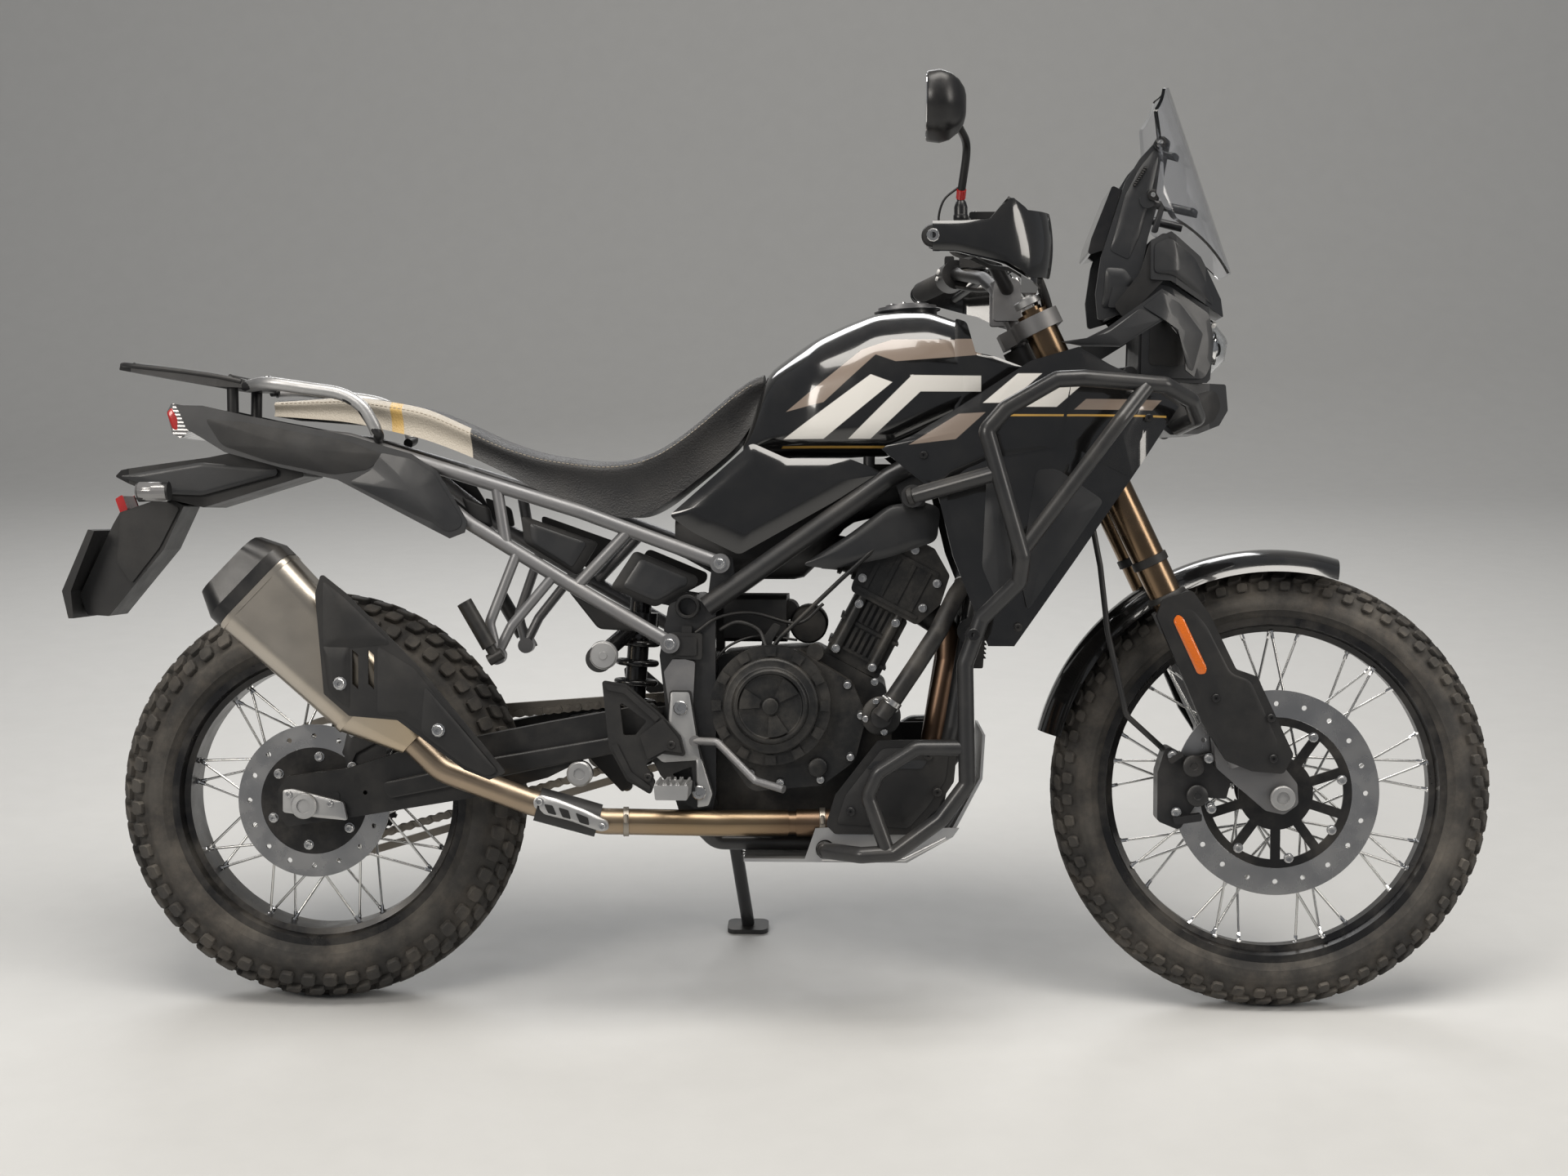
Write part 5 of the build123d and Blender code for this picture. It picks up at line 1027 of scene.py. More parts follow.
rim = ring_at([(74, 158), (73, 166), (70, 168.5), (61, 169), (59, 170), (57, 174), (54, 176), (50, 175.6)],
              *CLUTCH)
bowl = ring_at([(50, 175.8), (48.5, 172.4), (46, 172.2)], *CLUTCH)
ribs = [fan(*CLUTCH, 17, 46, (a - 19, a + 19), 171.5, 177.0) for a in (45, 165, 285)]
ribs += [fan(*CLUTCH, 77, 90, (a - 5, a + 5), 157.0, 162.0) for a in range(0, 360, 30)]
hub = ring_at([(13, 171.8), (12.5, 178.5), (10, 179.5), (0.1, 179.8)], *CLUTCH, sides=24)
cover = join([(p, f[:1] if n < 2 else f) for n, (p, f) in enumerate([rim, bowl, hub, *ribs])])
dress("clutch_cover_relief", cover, "chassis", "engine_black", bevel=0.9)
bosses = [ring_at([(8.5, 126), (8.0, 140.5), (7.0, 141.5), (0.1, 141.5)], bx, bz, sides=16)
          for bx, bz in COVER_BOLTS]
dress("cover_bosses", join(bosses), "chassis", "engine_black")
bolt_set("cover_bolts", [(bx, -143.0, bz) for bx, bz in COVER_BOLTS], RIGHTWARD, "chassis", scale=0.75)
PUMP, PUMP_BOLT_RING = (890, 470), 24
pump = join([ring_at([(30, 138), (30, 150.5), (27, 153), (17, 154)], *PUMP)])
add_piece("pump_flange", pump[0], pump[1][:1], "chassis", finishes["engine_black"], smooth=35,
          slot="engine_black")
bolt_set("pump_bolts", [(PUMP[0] + PUMP_BOLT_RING * cos(a), -153.5, PUMP[1] + PUMP_BOLT_RING * sin(a))
                        for a in (0.5, 1.9, 3.3, 4.9)], RIGHTWARD, "chassis", scale=0.7)
bolt_set("case_bolts", [(628, -113, 360), (640, -113, 306), (700, -113, 298), (760, -113, 296),
                        (830, -113, 298), (886, -113, 336), (897, -113, 400), (880, -113, 520),
                        (700, -113, 556)], RIGHTWARD, "chassis", scale=0.75)
left_bosses = [(790, 518), (838, 478), (840, 410), (790, 366), (712, 366), (668, 408), (664, 480),
               (706, 524)]
bolt_set("left_cover_bolts", [(bx, 129.5, bz) for bx, bz in left_bosses], LEFTWARD, "chassis", scale=0.8)
GENERATOR = (770, 440)
add_piece("generator_relief", *join([fan(*GENERATOR, 12, 68, (a - 14, a + 14), 149.5, 152.5, 1)
                                     for a in (30, 90, 150, 210, 270, 330)]), "chassis",
          finishes["engine_black"], bevel=0.9, slot="engine_black")
print("engine covers", len(COVER_BOLTS), "bosses")

# %% [markdown]
# ## Cylinder ribs and hose clamps
# The barrel leans 27.5 degrees forward. Ribs run along it between the studs, and the head cover has its own
# bolts. Each hose end is held by a worm clamp: a thin band with a screw barrel.

# %% Cylinder and hoses
CYLINDER_TILT = radians(27.5)
BARREL_UP = np.array((sin(CYLINDER_TILT), cos(CYLINDER_TILT)))
BARREL_AHEAD = np.array((cos(CYLINDER_TILT), -sin(CYLINDER_TILT)))
BARREL_FOOT = np.array((843.0, 542.8))


def barrel(outline, low, high, side=-1, rounding=0.0):
    """A plate on the cylinder's side, its outline given as (ahead, up) along the leaning barrel."""
    p = np.array([BARREL_FOOT + BARREL_AHEAD * a + BARREL_UP * u for a, u in outline])
    return plate(p, low, high, rounding, side)


ribs = [barrel([(a - 2, 24), (a + 2, 24), (a + 2, 57), (a - 2, 57)], 86, 94) for a in (-20, -10, 0, 10, 20)]
ribs += [barrel([(a - 2, 68), (a + 2, 68), (a + 2, 101), (a - 2, 101)], 86, 94)
         for a in (-20, -10, 0, 10, 20)]
ribs += [barrel([(-50, u), (54, u), (54, u + 4), (-50, u + 4)], 98, 105, rounding=1) for u in (112, 186)]
ribs += [barrel([(a, 120), (a + 5, 120), (a + 5, 184), (a, 184)], 98, 104.5) for a in (-40, -14, 12, 38)]
add_piece("cylinder_ribs", *both(join(ribs)), "chassis", finishes["engine_black"], bevel=0.8,
          slot="engine_black")
head = [BARREL_FOOT + BARREL_AHEAD * a + BARREL_UP * u for a, u in
        ((-48, 130), (-50, 172), (56, 132), (58, 176), (4, 206), (-34, 14), (30, 14), (-34, 92), (30, 92))]
bolt_set("head_bolts", [(p[0], -104.0, p[1]) for p in head[:5]] + [(p[0], -99.5, p[1]) for p in head[5:]],
         RIGHTWARD, "chassis", scale=0.85)
bolt_set("head_bolts_left", [(p[0], 104.0, p[1]) for p in head[:5]], LEFTWARD, "chassis", scale=0.85)


def clamp(place, along, radius):
    """A worm clamp: a band 8 mm wide round a hose, and its screw barrel standing on one side."""
    band, band_faces = lathe([(radius, -4.5), (radius + 1.4, -4), (radius + 1.4, 4), (radius, 4.5)], place,
                             along, 28)
    along = unit(along)
    out = unit(np.cross(along, (0.2, 0.3, 0.93)))
    screw = tube(np.array([place + out * (radius + 3.4) + np.cross(along, out) * s
                           for s in (-7, -6, 6, 7)]), np.array([1.6, 3.2, 3.2, 1.6]), 8)
    return join([(band, band_faces[:1]), screw])


def along_of(a, b):
    """Unit vector from a to b: (b - a) / |b - a|."""
    return unit(np.array(b, float) - np.array(a, float))


hose_a, hose_b = (893, -168, 476), (940, -168, 545)
hose_c, hose_d = (1004, -124, 655), (1034, -66, 692)
add_piece("hose_clamps", *join([clamp(np.array((906.0, -168.0, 493.5)), along_of(hose_a, hose_b), 14.2),
                                clamp(np.array((1018.0, -97.0, 672.0)), along_of(hose_c, hose_d), 14.2)]),
          "chassis", finishes["bolt_steel"], smooth=35, slot="spoke_steel")
fins = np.stack([np.full(34, 1052.0), np.zeros(34), np.linspace(556, 786, 34)], -1)
fin_part = plate([(-1.2, -1.0), (14, -1.0), (14, 1.0), (-1.2, 1.0)], -72, 72, side=1)
tilt = np.arctan2(16, 260)
turn = np.array([[[cos(tilt), 0, sin(tilt)], [0, 1, 0], [-sin(tilt), 0, cos(tilt)]]])
fins[:, 0] = 1040 + (fins[:, 2] - 540) * 16 / 260 - 6 + 4
dress("radiator_fins", repeat(fin_part, fins, np.repeat(turn, 34, 0)), "chassis", "radiator_black",
      smooth=0)
print("cylinder", len(ribs), "ribs")

# %% [markdown]
# ## Small parts round the engine
# A clutch arm with its cable end, an oil filler cap, a sensor box and a few wires fill the space behind the
# frame plates, as they do on any water-cooled machine.

# %% Small parts
arm = plate([(702, 556), (716, 556), (722, 586), (734, 606), (724, 610), (708, 588)], 116, 126, 3)
filler = ring_at([(15, 140), (15, 147), (12, 149), (4, 149.5), (0.1, 149.5)], 793, 390, sides=20)
add_piece("clutch_arm", *join([arm, filler]), "chassis", finishes["engine_black"], bevel=0.8,
          slot="engine_black")
add_piece("sensor_box", *join([plate([(566, 556), (614, 556), (614, 595), (566, 595)], 131, 146, 4),
                               plate([(574, 562), (606, 562), (606, 589), (574, 589)], 146, 149, 3),
                               plate([(584, 595), (598, 595), (598, 606), (584, 606)], 133, 143, 2)]),
          "chassis", finishes["matt_black"], bevel=0.7, slot="matt_black")
ring_boss = lathe([(13, 131), (19, 131), (19, 147), (17.5, 149), (14.5, 149), (13, 147), (13, 131)],
                  (592, 0, 636), RIGHTWARD, 36)
add_piece("frame_ring", ring_boss[0], ring_boss[1][:1], "chassis", finishes["bar_black"], smooth=35,
          slot="bar_black")
spacers = [smooth_path([(640, -118, 600), (668, -122, 612), (700, -120, 600), (712, -128, 575)], 24),
           smooth_path([(604, -138, 596), (640, -130, 620), (690, -112, 626), (760, -104, 610),
                        (800, -98, 640)], 30),
           smooth_path([(628, -120, 545), (655, -118, 575), (700, -112, 590), (760, -108, 584)], 24)]
add_piece("engine_wires", *join([tube(p, 3.2 - 0.6 * k, 8) for k, p in enumerate(spacers)]), "chassis",
          finishes["hose_rubber"], smooth=50, slot="matt_black")
adjuster = lathe([(0.1, 137), (6, 137), (6.5, 135.5), (19, 135), (20.5, 133.5), (20.5, 128), (22, 127.5),
                  (22, 118), (14, 116), (14, 96)], (461, 0, 560), RIGHTWARD, 40)
add_piece("shock_adjuster", adjuster[0], [adjuster[1][0], adjuster[1][1]], "chassis",
          finishes["plate_silver"], smooth=35, slot="plate_silver")
print("small parts ready")

# %% [markdown]
# ## Frame infill
# Thin dark panels close the triangles between the rear rails, with a raised field and a bead round it, and
# a grey plastic cover fills the corner between the tank, the frame tube and the cylinder.

# %% Infill panels
INFILL = [[(332, 776), (452, 734), (420, 682), (336, 734)],
          [(470, 664), (508, 722), (606, 682), (604, 668), (540, 634)],
          [(238, 806), (282, 788), (288, 756), (252, 768)], [(404, 660), (522, 596), (452, 600)]]
panels = join([crowned(p, 108, 119, 3, 8, shrink=0.35) for p in INFILL])
fields = join([crowned([np.array(c) + (q - np.array(c)) * 0.74 for q in map(np.array, p)], 115, 122, 2, 7,
                       shrink=0.3) for p in INFILL[:2] for c in (np.mean(p, 0),)])
dress("rail_infill", both(panels), "chassis", "matt_black")
dress("rail_infill_fields", both(fields), "chassis", "dark_grey")
CORNER = [(766, 700), (812, 694), (900, 712), (975, 738), (980, 790), (948, 800), (898, 792), (840, 748)]
dress("airbox_cover", both(crowned(CORNER, 108, 128, 7, 12, shrink=0.5)), "chassis", "dark_grey")
lug_bolts = [(642, -147.5, 703), (566, -157, 580), (935, -151, 806), (612, -148, 352), (583, -148, 482)]
bolt_set("frame_bolts", lug_bolts, RIGHTWARD, "chassis", scale=1.25)
bolt_set("frame_bolts_left", [(a, -b, c) for a, b, c in lug_bolts[:3]], LEFTWARD, "chassis", scale=1.25)
print("infill", len(INFILL), "panels a side")

# %% [markdown]
# ## What fills the frame
# Between seat, tank and engine sits the air box, a moulded black box whose ducts lead to two throttle
# bodies on the head. A starter motor lies across the crankcase, a battery box behind it, and a fan on the
# radiator's back.

# %% Air box, throttle bodies, starter, battery box and fan
box_x = np.linspace(566, 955, 26)
box_top = eased(box_x, [566, 640, 700, 955], [770, 838, 858, 858])
box_foot = eased(box_x, [566, 640, 770, 800, 836, 955], [716, 676, 676, 716, 764, 790])
box_wide = eased(box_x, [566, 640, 800, 955], [58, 88, 92, 80])
air_box = loft(box_x, box_top, box_foot, box_wide, 5.0, 5.0, 40, 0.5)
battery = loft(np.linspace(644, 742, 6), np.full(6, 652.0), np.full(6, 578.0), np.full(6, 76.0), 8.0, 8.0,
               36, 0.5)
dress("air_box", join([air_box, battery]), "chassis", "matt_black", smooth=45)
intake = [tube(smooth_path([(866, y, 702), (832, y, 716), (798, y, 720)], 12), 27.0, 28) for y in (-34, 34)]
flanges = [lathe([(28, -4), (32, -3), (32, 3), (28, 4)], (x, y, z), (-0.93, 0, 0.36), 28) for y in (-34, 34)
           for x, z in ((856, 706), (834, 715))]
starter = [lathe([(0.1, -58), (27, -57), (30, -52), (30, 30), (27, 34), (27, 50), (20, 56), (0.1, 57)],
                 (776, 0, 606), LEFTWARD, 32),
           lathe([(0.1, -50), (15, -49), (15, 40), (0.1, 42)], (744, 0, 628), LEFTWARD, 20)]
dress("throttle_bodies", join(intake + [(p, f[:1]) for p, f in flanges] + starter), "chassis",
      "engine_black", smooth=40)
FAN_CENTRE, FAN_AXIS = (1026, 0, 690), unit(np.array((-1.0, 0, 0.06)))
fan_ring = lathe([(66, -10), (72, -8), (74, 6), (70, 10), (66, 8), (66, -10)], FAN_CENTRE, FAN_AXIS, 48)
hub = lathe([(0.1, 12), (22, 10), (24, 4), (24, -6), (0.1, -8)], FAN_CENTRE, FAN_AXIS, 28)
blades = [plate([(20 * cos(a), 20 * sin(a)), (66 * cos(a - 0.14), 66 * sin(a - 0.14)),
                 (66 * cos(a + 0.26), 66 * sin(a + 0.26)), (20 * cos(a + 0.5), 20 * sin(a + 0.5))], -1.5,
                1.5, side=1) for a in 2 * pi * np.arange(7) / 7]
swap = np.array([[0, 1, 0], [1, 0, 0], [0, 0, 1]], float)
blades = [(p @ swap.T + np.array(FAN_CENTRE), [g[:, ::-1] for g in f]) for p, f in blades]
dress("radiator_fan", join([(fan_ring[0], fan_ring[1][:1]), hub] + blades), "chassis", "radiator_black")
print("filling ready")

# %% [markdown]
# ## Tank nose
# In front of the tank a lacquered cover on each side closes the corner between tank, shroud and steering
# head.

# %% Tank nose
NOSE = [(1000, 930), (1000, 1078), (1018, 1072), (1030, 1026), (1060, 1020), (1108, 1002), (1034, 950)]
add_piece("tank_noses", *both(crowned(NOSE, 134, 150, 4, 6, shrink=0.6)), "chassis",
          finishes["tank_graphic"], smooth=40, slot="gloss_black")
print("tank nose ready")

# %% [markdown]
# ## Shrouds and their graphic
# The side covers are lacquered mouldings: an upper wing that carries the colour blades, a scooped lower
# wing in front of the radiator, and a matt strip behind. Each follows the plan line of the machine's flank
# and is drawn by contour rings, so it bulges a few millimetres and turns in at its edge.

# %% Panels that follow a plan line
def wrapped(outline, plan, lift, thick=3.0, crown=6.0, rounding=10, side=-1, shrink=0.94, rings=9, steps=5):
    """Contour rings whose distance from the middle plane follows a plan line, plus a lift and a rounded
    crown."""
    points, faces = crowned(outline, 0.0, thick + crown, crown, rounding, side, shrink, rings, steps)
    plan = np.array(sorted(plan), float)
    kernel = np.hanning(15)
    fine = np.linspace(plan[0, 0] - 60, plan[-1, 0] + 60, 300)
    flank = np.interp(fine, plan[:, 0], np.abs(plan[:, 1]))
    flank = np.convolve(np.pad(flank, 7, "edge"), kernel / kernel.sum(), "valid")
    points[:, 1] += side * (np.interp(points[:, 0], fine, flank) + lift)
    return points, faces


FLANK = [(870, 168), (960, 186), (1060, 203), (1180, 206), (1280, 182), (1350, 128)]
UPPER_BACK = [(889, 880), (934, 897), (1034, 958), (1111, 1009), (1183, 1028), (1150, 880), (1046, 862),
              (975, 818), (941, 838)]
UPPER_FRONT = [(1178, 1027), (1262, 990), (1338, 945), (1262, 836), (1160, 884)]
LOWER_WING = [(1005, 856), (1046, 858), (1150, 876), (1258, 832), (1092, 590), (1056, 590), (1012, 690),
              (986, 800)]
add_piece("shroud_upper", *both(join([wrapped(UPPER_BACK, FLANK, 2.6, 2, 5, 8),
            wrapped(UPPER_FRONT, FLANK, 2.6, 2, 5, 8)])), "chassis", finishes["wing_graphic"], smooth=40,
          slot="gloss_black")
dress("shroud_lower", both(wrapped(LOWER_WING, FLANK, 2.4, 2, 5, 12)), "chassis", "gloss_black", smooth=40)
SCOOP = [(1046, 836), (1072, 838), (1086, 690), (1066, 640), (1040, 700)]
SCOOP_EDGE = [(1120, 846), (1150, 848), (1222, 800), (1108, 634), (1096, 690)]
dress("shroud_scoops", both(join([wrapped(SCOOP, FLANK, 8.5, 1.2, 2.5, 8),
                                  wrapped(SCOOP_EDGE, FLANK, 8.5, 1.2, 2.5, 10)])), "chassis", "dark_grey",
      smooth=40)
flank_at = lambda x: np.interp(x, [p[0] for p in FLANK], [p[1] for p in FLANK])
SHROUD_BOLT_SPOTS, BOLT_STAND = ((952, 868), (1094, 610), (1290, 925)), 9.5
bolt_pair("shroud_bolts", [(bx, -flank_at(bx) - BOLT_STAND, bz) for bx, bz in SHROUD_BOLT_SPOTS], "chassis",
          finish_name="mirror_black", scale=0.9)
print("shrouds ready")

# %% [markdown]
# ## Headlight and nose
# The lamp is a black housing with a clear front. Behind the glass sit two round projector lenses, side by
# side, and a bright strip over each. Cheeks cover its sides, and cowl, lip and trims are matt mouldings
# with a raised field each.

# %% Headlight
def lamp_glass(high, low, half, ahead, steps=14):
    """A shell over the nose: columns across the machine, rows from top to bottom, both bowed forward."""
    v, u = np.linspace(0, 1, steps), np.linspace(-1, 1, 2 * steps)
    profile = np.interp(v, [0, 0.35, 0.7, 1], [high[0], 1432, 1427, low[0]])
    z = high[1] + (low[1] - high[1]) * v
    x = profile[:, None] + ahead - 26 * (u[None] ** 2) - 12 * (u[None] ** 4)
    y = half * u[None] * (1 - 0.10 * v[:, None])
    return np.stack([x, np.broadcast_to(y, x.shape), np.broadcast_to(z[:, None], x.shape)], -1).reshape(-1,
        3), steps


SIDE_OF_LAMP = [(1280, 92), (1340, 90), (1400, 66), (1438, 34)]
CHEEK = [(1288, 990), (1290, 1134), (1330, 1132), (1396, 1090), (1404, 1046), (1398, 1008), (1388, 990)]
POCKET = [(1300, 1010), (1302, 1110), (1330, 1108), (1364, 1084), (1368, 1030), (1352, 1008)]
dress("lamp_cheeks", both(join([wrapped(CHEEK, SIDE_OF_LAMP, 0.6, 2.4, 3, 8)])), "chassis", "dark_grey",
      smooth=40)
dress("lamp_pockets", both(join([wrapped(POCKET, SIDE_OF_LAMP, 5.2, 1, 1.6, 8)])), "chassis", "matt_black",
      smooth=40)
HOUSING = [(1285, 985), (1288, 1139), (1331, 1137), (1394, 1099), (1402, 1042), (1397, 990), (1392, 985)]
housing, housing_faces = plate(HOUSING, -64, 64, side=1)
housing[:, 1] *= np.interp(housing[:, 0], [1280, 1340, 1402], [1.42, 1.39, 1.0])
add_piece("lamp_housing", housing, housing_faces, "chassis", finishes["dark_grey"], bevel=1.5, smooth=35,
          slot="dark_grey", replaces=["headlight"])
glass, rows_of_glass = lamp_glass((1408, 1084), (1400, 996), 62, 1.0)
add_piece("lamp_glass", glass, [grid_faces(rows_of_glass, 2 * rows_of_glass)[:, ::-1]], "chassis",
          finishes["lamp_clear"], smooth=60, slot="lamp_clear", solid=2.5)
LENS = [(27, 0), (26, 5), (22, 6), (21, 3), (19, 7), (13, 12), (6, 14.4), (0.1, 15)]
projectors = [lathe(LENS, (1404, y, 1040), (1, 0, 0), 28) for y in (-28, 28)]
strips = [tube(np.array([(1404, s * 56, 1072), (1410, s * 30, 1078), (1412, s * 6, 1080)]), 3.2, 8)
          for s in (-1, 1)]
add_piece("lamp_projectors", *join(projectors), "chassis", finishes["chrome"], smooth=45,
          slot="spoke_steel")
add_piece("lamp_strips", *join(strips), "chassis", finishes["white_plastic"], smooth=45)
SIDE_OF_COWL = [(1290, 112), (1340, 104), (1390, 70), (1426, 30)]
COWL_FIELD = [(1306, 1150), (1306, 1194), (1330, 1204), (1372, 1174), (1402, 1120), (1404, 1104),
              (1334, 1148)]
dress("cowl_fields", both(wrapped(COWL_FIELD, SIDE_OF_COWL, -0.5, 2.4, 3, 8)), "chassis", "dark_grey",
      smooth=40)
SIDE_OF_LIP = [(1290, 86), (1350, 78), (1400, 50), (1436, 24)]
LIP_FIELD = [(1306, 936), (1340, 911), (1380, 912), (1408, 926), (1420, 948), (1412, 972), (1306, 974)]
dress("lip_fields", both(wrapped(LIP_FIELD, SIDE_OF_LIP, -0.5, 2.2, 3, 8)), "chassis", "matt_black",
      smooth=40)
TRIM_PLAN = [(1150, 170), (1220, 160), (1320, 142), (1400, 100)]
TRIM_BACK = [(1163, 1037), (1198, 1042), (1234, 1060), (1280, 1092), (1312, 1076), (1250, 1037),
             (1192, 1037)]
TRIM_NOSE = [(1284, 1094), (1313, 1117), (1343, 1100), (1380, 1056), (1364, 998), (1354, 1004),
             (1352, 1042), (1318, 1078)]
dress("trim_skins", both(join([wrapped(TRIM_BACK, TRIM_PLAN, 3.6, 1.5, 3, 4),
                               wrapped(TRIM_NOSE, TRIM_PLAN, 3.6, 1.5, 3, 4)])), "chassis", "dark_grey",
      smooth=40)
print("headlight with", len(projectors), "projectors")

# %% [markdown]
# ## Screen and its tower
# The clear screen hangs on two arms from a tower of moulded plates. Screws with wide heads hold it, and a
# knob with a toothed slot sets its height. Small steps on the tower break its long plate into fields.

# %% Screen hardware
TOWER_FIELDS = [[(1240, 1186), (1262, 1270), (1284, 1312), (1306, 1340), (1316, 1340), (1302, 1270),
                 (1284, 1208), (1268, 1172)],
                [(1228, 1098), (1234, 1160), (1262, 1158), (1276, 1140), (1258, 1100)],
                [(1302, 1214), (1320, 1268), (1326, 1262), (1312, 1212)]]
dress("tower_fields", both(join([crowned(f, 90, 96, 3, 6, shrink=0.5) for f in TOWER_FIELDS])), "chassis",
      "dark_grey")
lower_arm = plate([(1262, 1080), (1330, 1150), (1342, 1192), (1322, 1212), (1300, 1196), (1286, 1150),
                   (1246, 1100)], 99, 106, 8)
dress("tower_cheeks", both(lower_arm), "chassis", "matt_black", bevel=1.2)
SCREW = [(9, 0), (9, 2.2), (7.6, 3.4), (3.6, 3.6), (3.2, 1.8), (0.1, 1.8)]
bolt_pair("screen_bolts", [(1315, -101, 1350), (1304, -99, 1270)], "chassis", profile=SCREW,
          finish_name="mirror_black")

bolt_set("screen_bolt_centres", [(1315, -103, 1350), (1304, -101, 1270)], RIGHTWARD, "chassis", scale=0.6)
teeth = np.stack([np.linspace(1276, 1292, 9), np.full(9, -97.0), np.linspace(1286, 1312, 9)], -1)
tooth = plate([(-2.4, -1.1), (2.4, -1.1), (2.4, 1.1), (-2.4, 1.1)], -3, 3, side=1)
add_piece("tower_teeth", *repeat(tooth, teeth, np.repeat(np.eye(3)[None], 9, 0)), "chassis",
          finishes["grip_rubber"], smooth=0, slot="matt_black")
print("screen hardware ready")

# %% [markdown]
# ## Handlebar, guards and mirror
# The grip is ribbed rubber; the switch block has buttons, one of them red. A lacquered guard sweeps round
# the hand: its section is followed along the plan of its rim, bulging outwards between a lower and an upper
# edge.

# %% Hand guards
GUARD_PLAN = smooth_path([(958, -438, 0), (1040, -443, 0), (1098, -414, 0), (1121, -350, 0),
                          (1100, -226, 0)], 60)
GUARD_TOP = ([930, 1000, 1036, 1050, 1066, 1090, 1130], [1189, 1188, 1190, 1208, 1222, 1204, 1168])
GUARD_FOOT = ([930, 990, 1060, 1110, 1130], [1149, 1147, 1131, 1104, 1140])


def guard_shell(inner, outer, bulge, rows=14):
    """A shell between a lower and an upper edge: the plan line pushed out along its normal by a sine
    bulge."""
    path = GUARD_PLAN[:, :2]
    step = np.gradient(path, axis=0)
    normal = unit(np.stack([-step[:, 1], step[:, 0]], -1))
    normal = np.where((normal @ np.array((0.5, -0.9)))[:, None] < 0, -normal, normal)
    low = np.interp(path[:, 0], *GUARD_FOOT)
    high = np.interp(path[:, 0], *GUARD_TOP)
    low = np.where(path[:, 0] > 1085, np.interp(path[:, 1], [-415, -350, -226], [1112, 1116, 1150]), low)
    high = np.where(path[:, 0] > 1085, np.interp(path[:, 1], [-415, -350, -226], [1205, 1206, 1182]), high)
    v = np.linspace(0, 1, rows)
    z = low[:, None] + (high - low)[:, None] * v[None]
    shells = []
    for lift in (inner, outer):
        push = lift + bulge * np.sin(pi * v)[None] ** 0.8
        xy = path[:, None, :] + normal[:, None, :] * np.broadcast_to(push, (len(path), rows))[..., None]
        shells.append(np.concatenate([xy, z[..., None]], -1))
    loop = np.concatenate([shells[1], shells[0][:, ::-1]], 1)
    n = loop.shape[1]
    faces = [grid_faces(len(path), n, close_columns=True), np.arange(n)[None, ::-1],
             ((len(path) - 1) * n + np.arange(n))[None]]
    return loop.reshape(-1, 3), faces


dress("handguard_shells", both(guard_shell(3.2, 6.2, 5.0)), "steering", "gloss_black", smooth=45)
end_cap = lathe([(16, -2), (16, 6), (14, 9), (9.5, 9.4)], (958, -438, 1168), RIGHTWARD, 28)
dress("guard_end_caps", both((end_cap[0], end_cap[1][:1])), "steering", "matt_black", smooth=40)
TORX = [(9.4, 0), (9.4, 2.4), (8.2, 3.6), (4.4, 3.8), (4.0, 0.8), (0.1, 0.8)]
bolt_pair("guard_end_bolts", [(958, -447.0, 1168)], "steering", profile=TORX)

print("hand guards ready")

# %% [markdown]
# ## Grips, switches, reservoir and hoses
# A grip is a ribbed rubber sleeve. The switch housings beside it clamp round the bar in two halves, and the
# brake's reservoir stands on the lever's bracket so that air rises out of the fluid. The hoses bend in wide
# curves, because they have to follow the bar from lock to lock. A hose could be a curve with a bevel; a
# tube swept along a smoothed path is used, because its ring count and its ends stay known.
# %% Grips, switches, reservoir and hoses
grip_a, grip_b = np.array((1002.0, -290, 1178.8)), np.array((962.0, -408, 1169.8))
grip_run = unit(grip_b - grip_a)
grip_long = float(np.linalg.norm(grip_b - grip_a))
s = np.linspace(0, grip_long, 97)
ridges = 16.4 + 1.1 * (np.sin(2 * pi * s / 5.2) > 0) + 1.8 * (s < 3)
grip_part = lathe(np.stack([ridges, s], -1), grip_a, grip_run, 28)
add_piece("ribbed_grips", *both((grip_part[0], grip_part[1][:1])), "steering", finishes["grip_rubber"],
          smooth=30, slot="matt_black")


def button(place, axis, radius, height):
    """A push button: a short turned dome standing on the switch block."""
    return lathe([(radius, 0), (radius, height), (radius - 1, height + 1), (0.1, height + 1.4)], place,
                 axis, 16)


switch = np.array((1010.5, -257, 1181.0))
back_out, up_out = unit(np.array((-0.95, 0.1, 0.3))), unit(np.array((-0.35, 0, 0.94)))
add_piece("kill_switch", *button(switch + up_out * 24.5, up_out, 6.5, 4), "steering",
          finishes["red_plastic"], smooth=35)
keys = [button(switch + back_out * 24.4, back_out, 5, 3),
        button(switch + back_out * 23.6 + np.array((-3, 0, -11)), back_out, 4, 3)]
add_piece("switch_keys", *both(join(keys)), "steering", finishes["white_plastic"], smooth=35)
reservoir = plate([(1018, 1218), (1068, 1218), (1068, 1226), (1018, 1226)], 194, 238, 3)
pot = plate([(1022, 1192), (1064, 1192), (1064, 1218), (1022, 1218)], 197, 235.5, 4)
dress("reservoir", join([reservoir, pot]), "steering", "bar_black", bevel=1.2)
bolt_set("reservoir_screws", [(1026, -202, 1226), (1060, -202, 1226), (1026, -230, 1226),
                              (1060, -230, 1226)], UPWARD, "steering", scale=0.55)
hose_paths = [[(1046, -196, 1200), (1078, -180, 1196), (1106, -160, 1176), (1128, -138, 1140),
               (1146, -112, 1096), (1150, -88, 1056)],
              [(1012, -232, 1176), (1056, -200, 1172), (1098, -160, 1166), (1124, -128, 1140),
               (1138, -104, 1100), (1140, -76, 1062)],
              [(1008, -246, 1164), (1050, -190, 1152), (1090, -140, 1150), (1116, -108, 1130),
               (1130, -84, 1092), (1130, -58, 1070)]]
